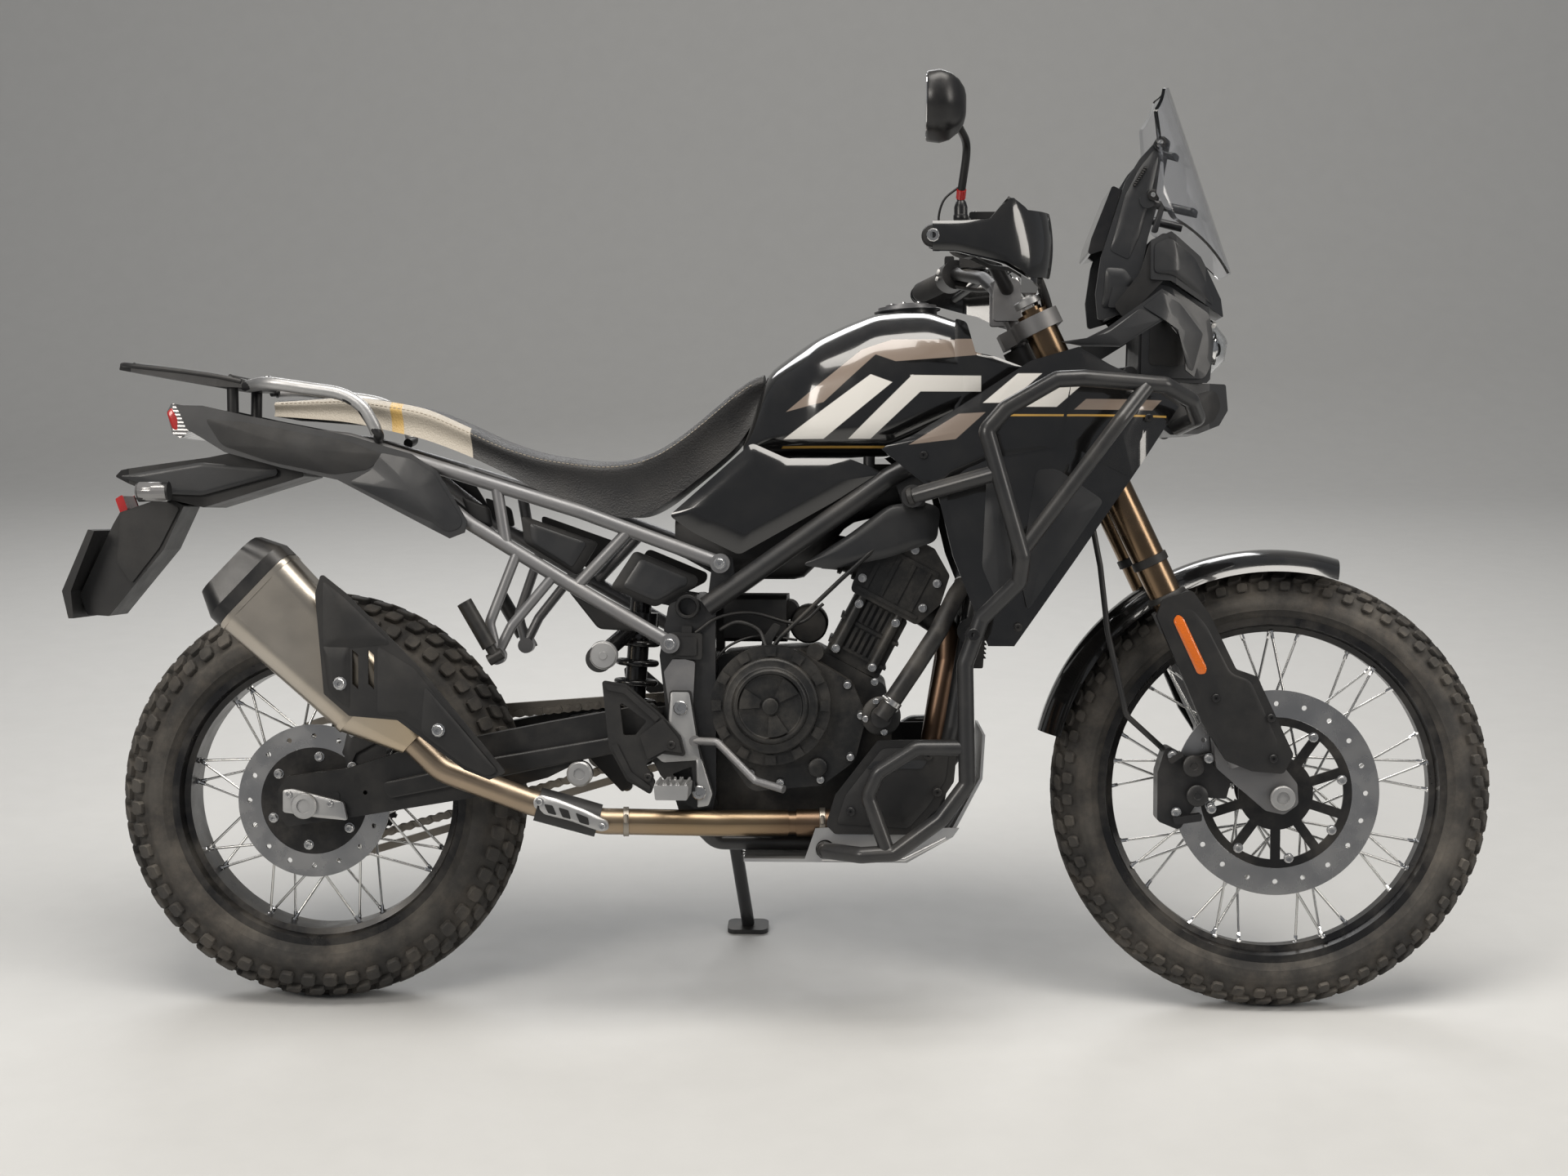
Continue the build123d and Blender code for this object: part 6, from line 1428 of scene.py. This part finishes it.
hoses = [tube(smooth_path([(a, side * b, c) for a, b, c in hose], 36), 5.0 - 0.8 * n, 10)
         for n, hose in enumerate(hose_paths) for side in ((1, -1) if n else (1,))]
add_piece("bar_hoses", *join(hoses), "steering", finishes["hose_rubber"], smooth=60, slot="matt_black")
risers = [plate([(1064, 1082), (1104, 1082), (1104, 1136), (1098, 1144), (1070, 1144), (1064, 1136)], 40,
                62, 4)]
dress("bar_clamps", both(join(risers)), "steering", "cast_grey", bevel=1.4)
bolt_set("clamp_bolts", [(1071, y, 1144) for y in (-51, 51)] + [(1097, y, 1144) for y in (-51, 51)], UPWARD,
         "steering")
tops = [leg_point(1106, side, 0) for side in (-1, 1)]
axis_up = np.array(STEER_AXIS)
caps = [lathe([(22, -6), (22, 3), (20, 5), (10, 5), (9, 8), (0.1, 8.4)], tuple(t), axis_up, 28)
        for t in tops]
dress("fork_caps", join(caps), "steering", "plate_silver")
print("handlebar ready")

# %% [markdown]
# ## Mirror
# The mirror is a shallow bowl of plastic with a glass set into its open side. It could be cut from an
# ellipsoid, but its outline has seven uneven corners, so rings of the rounded outline are stacked and
# shrunk towards the back.
# %% Mirror
MIRROR_EDGE = np.array([(-58, 40), (30, 50), (62, 22), (56, -22), (14, -52), (-46, -38), (-66, 0)], float)
mirror_rim = rounded(MIRROR_EDGE, 16, 5)
levels = [(949, 0.97), (951, 1.0), (968, 1.04), (982, 0.95), (994, 0.76), (1002, 0.52), (1005, 0.30)]
shell_rows = np.concatenate([np.stack([np.full(len(mirror_rim), x), mirror_rim[:, 0] * grow - 392,
            mirror_rim[:, 1] * grow + 1357], -1) for x, grow in levels])
n_rim = len(mirror_rim)
shell_faces = [grid_faces(len(levels), n_rim, close_columns=True), np.arange(n_rim)[None, ::-1],
               (len(levels) - 1) * n_rim + np.arange(n_rim)[None, :]]
stalk = tube(smooth_path([(1004, -251, 1215.2), (1004, -256, 1250), (1010, -300, 1312), (996, -362, 1334)],
                         40), 6, 16)
boot = lathe([(0.1, -1), (10, 0), (10, 16), (7.5, 24), (6, 26)], (1004, -251, 1216), (0, -0.05, 1), 24)
dress("mirror_body", join([(shell_rows, shell_faces), stalk, boot]), "steering", "mirror_black", smooth=40,
      replaces=["mirror_right"])
stem = smooth_path([(1004, -251, 1238), (1004, -256, 1250), (1010, -300, 1312)], 20)
band_a, band_b = stem[8], stem[11]
add_piece("mirror_band", *tube(np.array([band_a, (band_a + band_b) / 2, band_b]), 7.2, 16), "steering",
          finishes["red_plastic"], smooth=60)
wire = smooth_path([(1002, -258, 1262), (978, -262, 1240), (972, -252, 1208), (992, -244, 1192)], 26)
add_piece("mirror_wire", *tube(wire, 1.8, 8), "steering", finishes["hose_rubber"], smooth=60,
          slot="matt_black")
edge = rounded(MIRROR_EDGE * 0.90, 14, 5)
face = np.stack([np.full(len(edge), 948.0), edge[:, 0] - 392, edge[:, 1] + 1357], -1)
back = face + np.array((2.0, 0, 0))
rim_faces = grid_faces(2, len(edge), close_columns=True)
add_piece("mirror_glass", np.concatenate([face, back]),
          [rim_faces[:, ::-1], np.arange(len(edge))[None, ::-1], len(edge) + np.arange(len(edge))[None, :]],
          "steering", finishes["chrome"], smooth=20, slot="spoke_steel")
knuckle = lathe([(0.1, -9), (8, -8), (11, -2), (11, 4), (8, 9), (0.1, 10)], (1004, -251, 1216), UPWARD, 24)
dress("mirror_knuckle", knuckle, "steering", "mirror_black", smooth=45)
print("mirror ready")

# %% [markdown]
# ## Fork, fender and caliper
# A reflector is let into each fork guard, screws hold the guards, and a rubber ring with a clip keeps the
# hose on the tube. The caliper is a casting with two piston covers, its bolts, and a pad pin.

# %% Fork hardware
REFLECTOR = [(1334, 618), (1341, 628), (1350, 622), (1386, 546), (1384, 537), (1372, 536)]
add_piece("fork_reflectors", *both(crowned(REFLECTOR, 139, 145.5, 2.5, 7, shrink=0.5)), "steering",
          finishes["orange_reflector"], smooth=35)
GUARD_FIELD = [(1318, 630), (1326, 645), (1356, 652), (1382, 622), (1424, 540), (1458, 528), (1506, 420),
               (1498, 394), (1458, 396), (1424, 410), (1388, 462)]
dress("guard_fields", both(crowned(GUARD_FIELD, 136, 142.2, 3, 12, shrink=0.3)), "steering", "matt_black")
bolt_pair("guard_screws", [(1400, -141.5, 500), (1484, -141.5, 470), (1488, -141.5, 408)], "steering",
          finish_name="mirror_black")

rings = []
for side in (-1, 1):
    place = leg_point(708, side)
    rings.append(lathe([(26, -7), (28.6, -6), (28.6, 6), (26, 7)], tuple(place), axis_up, 32))
    seal = leg_point(650, side)
    rings.append(lathe([(27, 0), (31.5, 0), (31.5, 5), (29, 8.5), (26, 9)], tuple(seal), axis_up, 32))
dress("fork_rings", join([(p, f[:1]) for p, f in rings]), "steering", "matt_black", smooth=40)
pistons = [lathe([(17, 0), (17, 5), (14.5, 7), (6, 7.6), (5.6, 6), (0.1, 6)], (x, -104, z), RIGHTWARD, 28)
           for x, z in ((1372, 392), (1378, 346))]
ribs = [plate([(1332, 402), (1352, 414), (1356, 408), (1338, 396)], 92, 110, 2),
        plate([(1340, 312), (1384, 318), (1384, 308), (1344, 302)], 92, 112, 2)]
dress("caliper_pistons", join(pistons + ribs), "steering", "caliper_black", bevel=0.8)
bolt_set("caliper_bolts", [(1340, -105, 408), (1346, -105, 320), (1396, -105, 404), (1400, -105, 326)],
         RIGHTWARD, "steering")
nut = lathe([(19, 126), (19, 133), (17, 135), (10, 135.4), (9.6, 131), (0.1, 131)], (1505, 0, 346.0),
            RIGHTWARD, 24)
dress("axle_ends", both(nut), "steering", "plate_silver")
print("fork hardware ready")

# %% [markdown]
# ## Crash bar hardware
# The crash bars are held by flanged bolts, and their open tube ends are closed with plastic plugs. The
# bolts share one lathe profile, and they are placed at the brackets rather than modelled again at each one.
# %% Crash bar hardware
stub_end = lathe([(15.5, -3), (15.5, 4), (14, 6), (0.1, 6.4)], (935, -232, 806),
                 along_of((1056, -274, 840), (935, -232, 806)), 24)
add_piece("crash_caps", *both(stub_end), "chassis", finishes["bar_black"], smooth=35, slot="frame_gunmetal")
bolt_pair("crash_bolts", [(1026, -246, 600), (804, -172, 266), (1346, -192, 953)], "chassis",
          finish_name="mirror_black", scale=1.6)

print("crash bars ready")

# %% [markdown]
# ## Silencer, shield and pipe
# The can is rolled sheet: brushed along its length, with a folded band at each end held by rivets. The
# shield is a matt moulding on two bolts, with two slots and a raised lower tongue. The pipe guard is
# pressed alloy with slots.

# %% Silencer bands and heat shield
CAN_TAIL, CAN_NOSE = np.array((-62.0, -182, 660)), np.array((112.0, -182, 492))
CAN_RUN = unit(CAN_NOSE - CAN_TAIL)
CAN_UP = np.array((-CAN_RUN[2], 0, CAN_RUN[0]))
CAN_LENGTH = float(np.linalg.norm(CAN_NOSE - CAN_TAIL))


def can_ring(distance, lift):
    """A rounded rectangle across the can: height and width run from the tail's to the nose's, grown by a
    lift."""
    share = distance / CAN_LENGTH
    high, wide = 75 + (63 - 75) * share + lift, 53 + (50 - 53) * share + lift
    t = np.linspace(0, 2 * pi, 64, endpoint=False)
    c, s = np.cos(t), np.sin(t)
    r = (np.abs(c) ** 4.2 + np.abs(s) ** 4.2) ** (-1 / 4.2)
    return CAN_TAIL + CAN_RUN * distance + np.outer(c * r * wide, LEFTWARD) + np.outer(s * r * high, CAN_UP)


def can_band(start, end, lift):
    """A folded band round the can: it rises, runs flat and falls back."""
    rows = np.stack([can_ring(start, -0.5), can_ring(start, lift), can_ring(end, lift),
                     can_ring(end, -0.5)])
    return rows.reshape(-1, 3), [grid_faces(4, 64, close_columns=True)]


bands = join([can_band(2, 9, 1.4), can_band(CAN_LENGTH - 8, CAN_LENGTH + 1, 1.4)])
dress("can_bands", bands, "chassis", "silencer_steel", smooth=30)
upper = [(52, 678), (86, 650), (150, 588), (152, 582), (90, 576), (52, 576)]
middle = [(134, 580), (190, 546), (262, 456), (266, 402), (170, 472), (134, 476)]
tongue = [(206, 520), (262, 456), (316, 392), (302, 385), (266, 400), (200, 450)]
dress("shield_skins", join([crowned(upper, 246, 250.5, 3, 8, shrink=0.6),
                            crowned(middle, 246, 250.5, 3, 8, shrink=0.6),
                            crowned([(52, 580), (92, 578), (92, 484), (60, 512)], 246, 250.5, 3, 6,
                                    shrink=0.6)]), "chassis", "matt_black")
dress("shield_tongue", crowned(tongue, 249, 253, 2.5, 8, shrink=0.5), "chassis", "matt_black")
bolt_set("shield_bolts", [(78, -251, 523), (227, -254, 454)], RIGHTWARD, "chassis", scale=1.3)
GUARD_PLATE = [(362, 344), (372, 352), (398, 346), (440, 330), (476, 312), (478, 300), (466, 296),
               (420, 312), (380, 322), (364, 332)]
guard_body = crowned(GUARD_PLATE, 194, 206, 4, 6, shrink=0.45)
GUARD_SLOTS = [[(380, 338), (392, 336), (398, 322), (386, 325)],
               [(402, 333), (416, 329), (420, 316), (408, 319)],
               [(428, 325), (446, 318), (448, 307), (434, 311)]]
# The slot openings are not cut; these black plates in their outlines are painted shade standing for the dark
# inside of each slot.
slots = join([plate(s, 203, 206.8, 2) for s in GUARD_SLOTS])
dress("pipe_guard", guard_body, "chassis", "plate_silver")
dress("pipe_guard_slot_shade", slots, "chassis", "matt_black", bevel=0.6)
bolt_set("pipe_guard_bolts", [(372, -206.5, 342), (468, -206.0, 305)], RIGHTWARD, "chassis", scale=0.8)
clamps = join([clamp(np.array((500.0, -164.0, 307.2)), (1, 0.1, 0), 21.2),
               clamp(np.array((800.0, -130.8, 303.0)), (1, 0.03, 0), 22.2)])
dress("pipe_clamps", clamps, "chassis", "chain_steel")
print("exhaust ready")

# %% [markdown]
# ## Chain, swingarm ends and linkage
# Each chain link is two waisted plates on two rollers. The links sit one pitch apart on the two straight
# runs and round the rear sprocket. At the axle a polished block slides in the swingarm slot under a large
# nut.

# %% Chain and axle
CHAIN_PITCH = 15.9


def chain_path(pitch):
    """Points one pitch apart along the upper run, round the back of the sprocket and along the lower
    run."""
    rear, front = np.array((0.0, REAR_AXLE[2])), np.array((655.0, 458.0))
    big, small = 92.0, 33.0
    run = unit(front - rear)
    across = np.array((-run[1], run[0]))
    upper_a = front + across * small
    start = np.arctan2(across[1], across[0])
    arc = rear + big * np.stack([np.cos(start + np.linspace(0, pi, 60)),
                                 np.sin(start + np.linspace(0, pi, 60))], -1)
    line = np.concatenate([[upper_a], arc, [front - across * small]])
    steps = np.concatenate([[0], np.cumsum(np.linalg.norm(np.diff(line, axis=0), axis=1))])
    at = np.arange(0, steps[-1], pitch)
    return np.stack([np.interp(at, steps, line[:, 0]), np.interp(at, steps, line[:, 1])], -1)


joints = chain_path(CHAIN_PITCH)
middle = (joints[:-1] + joints[1:]) / 2
heading = unit(joints[1:] - joints[:-1])
turns = np.zeros((len(middle), 3, 3))
turns[:, 0, 0], turns[:, 2, 0] = heading[:, 0], heading[:, 1]
turns[:, 1, 1] = 1
turns[:, 0, 2], turns[:, 2, 2] = -heading[:, 1], heading[:, 0]
half = CHAIN_PITCH / 2
LINK = [(-half - 6.4, 0), (-half - 4, 5.6), (-half + 1, 6.6), (0, 4.6), (half - 1, 6.6), (half + 4, 5.6),
        (half + 6.4, 0), (half + 4, -5.6), (half - 1, -6.6), (0, -4.6), (-half + 1, -6.6),
        (-half - 4, -5.6)]
outer_link = join([plate(LINK, 10.2, 12.0, side=1), plate(LINK, -12.0, -10.2, side=1)])
inner_link = join([plate(LINK, 8.0, 9.8, side=1), plate(LINK, -9.8, -8.0, side=1)])
pins = lathe([(0.1, -12.9), (3.6, -12.7), (3.6, 12.7), (0.1, 12.9)], (0, 0, 0), LEFTWARD, 8)
spots = np.stack([middle[:, 0], np.full(len(middle), 88.5), middle[:, 1]], -1)
links = join([repeat(outer_link, spots[::2], turns[::2]), repeat(inner_link, spots[1::2], turns[1::2]),
              repeat(pins, np.stack([joints[:, 0], np.full(len(joints), 88.5), joints[:, 1]], -1),
                     np.repeat(np.eye(3)[None], len(joints), 0))])
dress("chain_links", links, "chassis", "chain_steel", smooth=30)
AXLE_BLOCK = [(-34, 346), (-34, 364), (-20, 366), (44, 350), (60, 346), (66, 318), (20, 322), (-34, 330)]
block_part = join([crowned([(x, z - 14) for x, z in AXLE_BLOCK], 140, 151, 2, 4, shrink=0.3),
                   ring_at([(20, 150), (20, 156), (18, 158), (11, 158.4), (10.6, 155), (0.1, 155)], 0,
                           REAR_AXLE[2])])
dress("axle_blocks", both(block_part), "chassis", "plate_silver", bevel=0.0)
bolt_set("axle_block_bolts", [(40, -152, 330), (-24, -152, 344)], RIGHTWARD, "chassis", scale=0.7)
SWING_FIELD = [(120, 362), (300, 404), (470, 434), (560, 444), (560, 428), (470, 408), (300, 372),
               (130, 338)]
dress("swingarm_fields", both(crowned(SWING_FIELD, 118, 149.4, 2, 8, shrink=0.2)), "chassis", "bar_black")
lug = ring_at([(20, 132), (20, 146), (17, 148.5), (9, 148.5), (8.6, 146), (0.1, 146)], 426, 378)
dress("linkage_eyes", both(lug), "chassis", "plate_silver")
REAR_CALIPER = [(58, 372), (70, 400), (106, 420), (116, 440), (60, 446), (52, 410)]
dress("rear_caliper_cover", crowned(REAR_CALIPER, 106, 114, 3, 8, shrink=0.5), "chassis", "caliper_black")
bolt_set("rear_caliper_bolts", [(66, -114, 384), (104, -114, 432), (68, -114, 436)], RIGHTWARD, "chassis",
         scale=0.9)
print("chain", len(joints), "pitches")

# %% [markdown]
# ## Footrests and shock
# The footrest plate is forged alloy with two sunk bolts; the heel guard is black and has a raised edge. The
# pegs have rows of teeth. The shock absorber has a coil spring between two seats, a body below and a
# reservoir beside it.

# %% Footrests
FOOT_PLATE = [(568, 506), (596, 506), (610, 420), (614, 402), (556, 398), (542, 410), (562, 422)]
FOOT_TOE = [(607, 404), (615, 404), (632, 350), (626, 332), (609, 329)]
foot = join([crowned(FOOT_PLATE, 157, 161.5, 2, 4, shrink=0.35),
             crowned(FOOT_TOE, 157, 161.3, 2, 3, shrink=0.35)])
dress("foot_plates", both(foot), "chassis", "plate_silver")
heel_rim = [plate(e, 167, 171.6, 2)
            for e in ([(467, 519), (500, 513), (552, 468), (546, 462), (498, 505), (472, 510)],
                      [(478, 424), (504, 376), (536, 356), (538, 362), (508, 384), (486, 428)],
                      [(556, 466), (580, 436), (586, 414), (560, 418), (534, 404), (522, 440)])]
dress("heel_guards", both(join(heel_rim)), "chassis", "matt_black", bevel=1.0)
bolt_pair("foot_plate_bolts", [(583, -161.5, 482), (612, -161.5, 352)], "chassis", profile=TORX, scale=1.2)

bolt_set("heel_bolts", [(570, -169, 426), (534, -169, 376)], RIGHTWARD, "chassis",
         finish_name="mirror_black", scale=1.0)
tooth = plate([(-2.6, 0), (2.6, 0), (1.2, 5.5), (-1.2, 5.5)], -2.2, 2.2, side=1)
peg_at = np.array([(577 + a, -y, 373.0) for a in (-22, -11, 11, 22) for y in range(186, 262, 8)]
                  + [(577 + a, -y, 373.0) for a in (-8, 0, 8) for y in (184, 258)], float)
turn_none = np.repeat(np.eye(3)[None], len(peg_at), 0)
for side, body in ((1, "rider_peg_right"), (-1, "rider_peg_left")):
    dress("peg_teeth_" + body.split("_")[-1], repeat(tooth, peg_at * (1, side, 1), turn_none), body,
          "plate_silver", smooth=0)
print("footrests ready")

# %% [markdown]
# ## Tail, rack and lamp
# The tail cover is a long matt shell with a raised spear along it. A silver rail curves down beside the
# seat, over the black rack. The lamp is a clear wedge with a red core, and below it hang the indicators and
# a blank plate.

# %% Tail panels
COWL_PLAN = [(256, 147), (200, 147), (60, 128), (-216, 88)]
SPEAR = [(-168, 926), (-104, 920), (70, 888), (124, 868), (98, 846), (40, 838), (-60, 858), (-140, 884)]
FRONT_FIELD = [(116, 872), (166, 862), (204, 838), (246, 768), (242, 756), (224, 750), (130, 796),
               (66, 826), (104, 846)]
dress("tail_spears", both(wrapped(SPEAR, COWL_PLAN, 2.0, 1.5, 3.5, 10)), "chassis", "matt_black", smooth=40)
dress("tail_fields", both(wrapped(FRONT_FIELD, COWL_PLAN, 2.0, 1.5, 3.5, 8)), "chassis", "dark_grey",
      smooth=40)
rail = smooth_path([(-100, 88, 977), (-60, 127, 979), (0, 136, 971), (56, 142, 962), (88, 146, 944),
                    (106, 145.5, 918), (112, 140, 902)], 50)
flat_rail = tube(rail, 10.5, 16, flat=0.85)
dress("grab_rails", both(flat_rail), "chassis", "plate_silver", smooth=50)
rack_rim = [tube(smooth_path([(-312, s * 50, 1012), (-292, s * 76, 1010), (-220, s * 84, 1002),
                              (-150, s * 90, 992), (-112, s * 90, 984)], 30), 4.2, 10) for s in (1, -1)]
rack_bars = [tube(np.array([(x, -80, z), (x, 80, z)]), 3.4, 8) for x, z in ((-284, 1011), (-132, 993))]
dress("rack_rims", join(rack_rim + rack_bars), "chassis", "rack_black", smooth=50)
bolt_set("rail_bolts", [(-60, 127, 986.5), (-60, -127, 986.5)], UPWARD, "chassis", scale=0.8)
LAMP_CORE = [(-234, 936), (-226, 944), (-206, 916), (-204, 906), (-212, 902), (-224, 908)]
add_piece("tail_lamp_cores", *both(crowned(LAMP_CORE, 60, 79, 2, 4, shrink=0.4)), "chassis",
          finishes["red_plastic"], smooth=35)
lens = lathe([(14, -24), (15.5, -22), (15.5, 20), (12, 25), (0.1, 26)], (-240, -132, 811), (-1, 0, 0), 24)
dress("rear_indicators", both(lens), "chassis", "lamp_red", smooth=40)
reflector = plate([(-330, 800), (-320, 806), (-312, 784), (-322, 778)], -32, 32, 2, side=1)
add_piece("rear_reflector", *reflector, "chassis", finishes["red_plastic"], bevel=1.0, smooth=35)
hanger = [plate([(-316, 776), (-250, 798), (-224, 786), (-256, 724), (-300, 668), (-322, 700)], 46, 49.5,
                4)]
dress("hanger_sides", both(join(hanger)), "chassis", "matt_black", bevel=1.0)
FENDER_SPEAR = [(-310, 836), (-180, 858), (-60, 848), (-60, 838), (-180, 806), (-232, 808)]
dress("fender_fields", both(crowned(FENDER_SPEAR, 60, 75.5, 2, 6, shrink=0.3)), "chassis", "dark_grey")
print("tail ready")

# %% [markdown]
# ## Skid plate and lower panels
# The skid plate is pressed alloy: ribs stiffen it, and bolts with wide heads hold it. Each side panel has a
# slot and three screws.

# %% Underside
runs = [np.array([(700, y, 246.5), (920, y, 246.5), (990, y, 283), (1040, y, 368)])
        for y in (-90, -45, 0, 45, 90)]
dress("skid_ribs", join([tube(r, 4.0, 8, flat=1.0) for r in runs]), "chassis", "skid_silver", smooth=50)
roll = [tube(np.array([(800, s * 158, 251), (926, s * 158, 251), (990, s * 158, 284)]), 3.2, 8)
        for s in (-1, 1)]
dress("skid_edges", join(roll), "chassis", "skid_silver", smooth=50)
PANEL_SLOT = [(868, 392), (880, 402), (960, 404), (952, 392)]
BELLY_FIELD = [(822, 306), (932, 300), (962, 334), (988, 374), (994, 424), (892, 422), (836, 350)]
dress("belly_skins", both(crowned(BELLY_FIELD, 162, 167.5, 3, 8, shrink=0.4)), "chassis", "matt_black")
# The slot is not cut; this dark grey plate in its outline is painted shade standing for the dark inside of
# the slot.
dress("belly_slot_shade", both(plate(PANEL_SLOT, 166, 168.6, 3)), "chassis", "dark_grey", bevel=0.6)
bolt_pair("belly_bolts", [(844, -168, 326), (962, -168, 412), (976, -168, 356)], "chassis",
          finish_name="mirror_black")

spring_top, spring_end = np.array((676.0, 158.0, 282.0)), np.array((660.0, 208.0, 206.0))
turn = np.linspace(0, 2 * pi * 16, 320)
share = (turn / turn[-1])[:, None]
one, two = frames(np.stack([spring_top, spring_end]))
coil = spring_top + (spring_end - spring_top) * share + 5.5 * (np.cos(turn)[:, None] * one[0]
    + np.sin(turn)[:, None] * two[0])
add_piece("stand_spring", *tube(coil, 1.3, 6), "side_stand", finishes["spring_black"], smooth=60,
          slot="matt_black")
print("underside ready")

# %% [markdown]
# ## Floor, lights and camera
# A show-room picture needs little: a pale floor that rises into a backdrop, one wide light overhead, one on
# each side of the viewer and a long one behind, so that the lacquer has soft white bands to mirror.

# %% Stage
def sweep_floor():
    """A floor that curves up behind: y runs back, and z follows a quarter circle, then a straight wall."""
    turn = np.linspace(0, pi / 2, 24)
    y = np.concatenate([[-9.0], 4.0 + 2.5 * np.sin(turn), [6.5]])
    z = np.concatenate([[0.0], 2.5 - 2.5 * np.cos(turn), [9.0]])
    x = np.linspace(-14, 14, 3)
    points = np.stack([np.repeat(x[None], len(y), 0), np.repeat(y[:, None], 3, 1),
                       np.repeat(z[:, None], 3, 1)], -1)
    mesh = bpy.data.meshes.new("floor")
    mesh.from_pydata(points.reshape(-1, 3).tolist(), [], grid_faces(len(y), 3).tolist())
    mesh.shade_smooth()
    floor = bpy.data.objects.new("floor", mesh)
    bpy.context.scene.collection.objects.link(floor)
    floor.data.materials.append(finish("floor_paint", (0.60, 0.60, 0.59), 0.55, grain=(60, 0.02), dust=0.0,
            drift=0.02, scratch=0.0))
    return floor


def soft_light(name, place, aim, size, power, tone=(1, 1, 1)):
    """A rectangular light of a given size, turned to face a point."""
    lamp = bpy.data.lights.new(name, "AREA")
    lamp.shape, lamp.size, lamp.size_y, lamp.energy, lamp.color = "RECTANGLE", size[0], size[1], power, tone
    obj = bpy.data.objects.new(name, lamp)
    obj.location = place
    obj.rotation_euler = (Vector(aim) - Vector(place)).to_track_quat("-Z", "Y").to_euler()
    bpy.context.scene.collection.objects.link(obj)


sweep_floor()
soft_light("overhead", (0.2, -0.9, 3.9), (0, 0, 0.4), (4.2, 1.6), 150, (1, 0.96, 0.9))
soft_light("viewer_side", (-3.0, -3.4, 2.8), (0, 0, 0.5), (1.6, 1.4), 75, (1, 0.95, 0.88))
soft_light("front_side", (3.6, -2.0, 2.2), (0.3, 0, 0.6), (1.2, 2.0), 45, (1, 0.95, 0.88))
soft_light("behind", (-0.5, 3.0, 2.8), (0, 0, 0.7), (3.4, 1.2), 60)
world = bpy.data.worlds.new("room")
bpy.context.scene.world = world
world.use_nodes = True
world.node_tree.nodes["Background"].inputs[0].default_value = (0.80, 0.82, 0.86, 1)
world.node_tree.nodes["Background"].inputs[1].default_value = 0.24
bpy.context.scene.view_settings.view_transform = "Standard"

camera_data = bpy.data.cameras.new("camera")
camera_data.sensor_width, camera_data.lens = 36.0, 54.375
camera = bpy.data.objects.new("camera", camera_data)
bpy.context.scene.collection.objects.link(camera)
camera.location = (0.1435, -3.772, 1.510)
look = Vector((-0.0357, 0.9729, -0.2284))
camera.rotation_mode = "QUATERNION"
camera.rotation_quaternion = look.to_track_quat("-Z", "Y") @ Matrix.Rotation(radians(-0.27), 4,
    "Z").to_quaternion()
bpy.context.scene.camera = camera
print("camera at", tuple(round(v, 3) for v in camera.location))
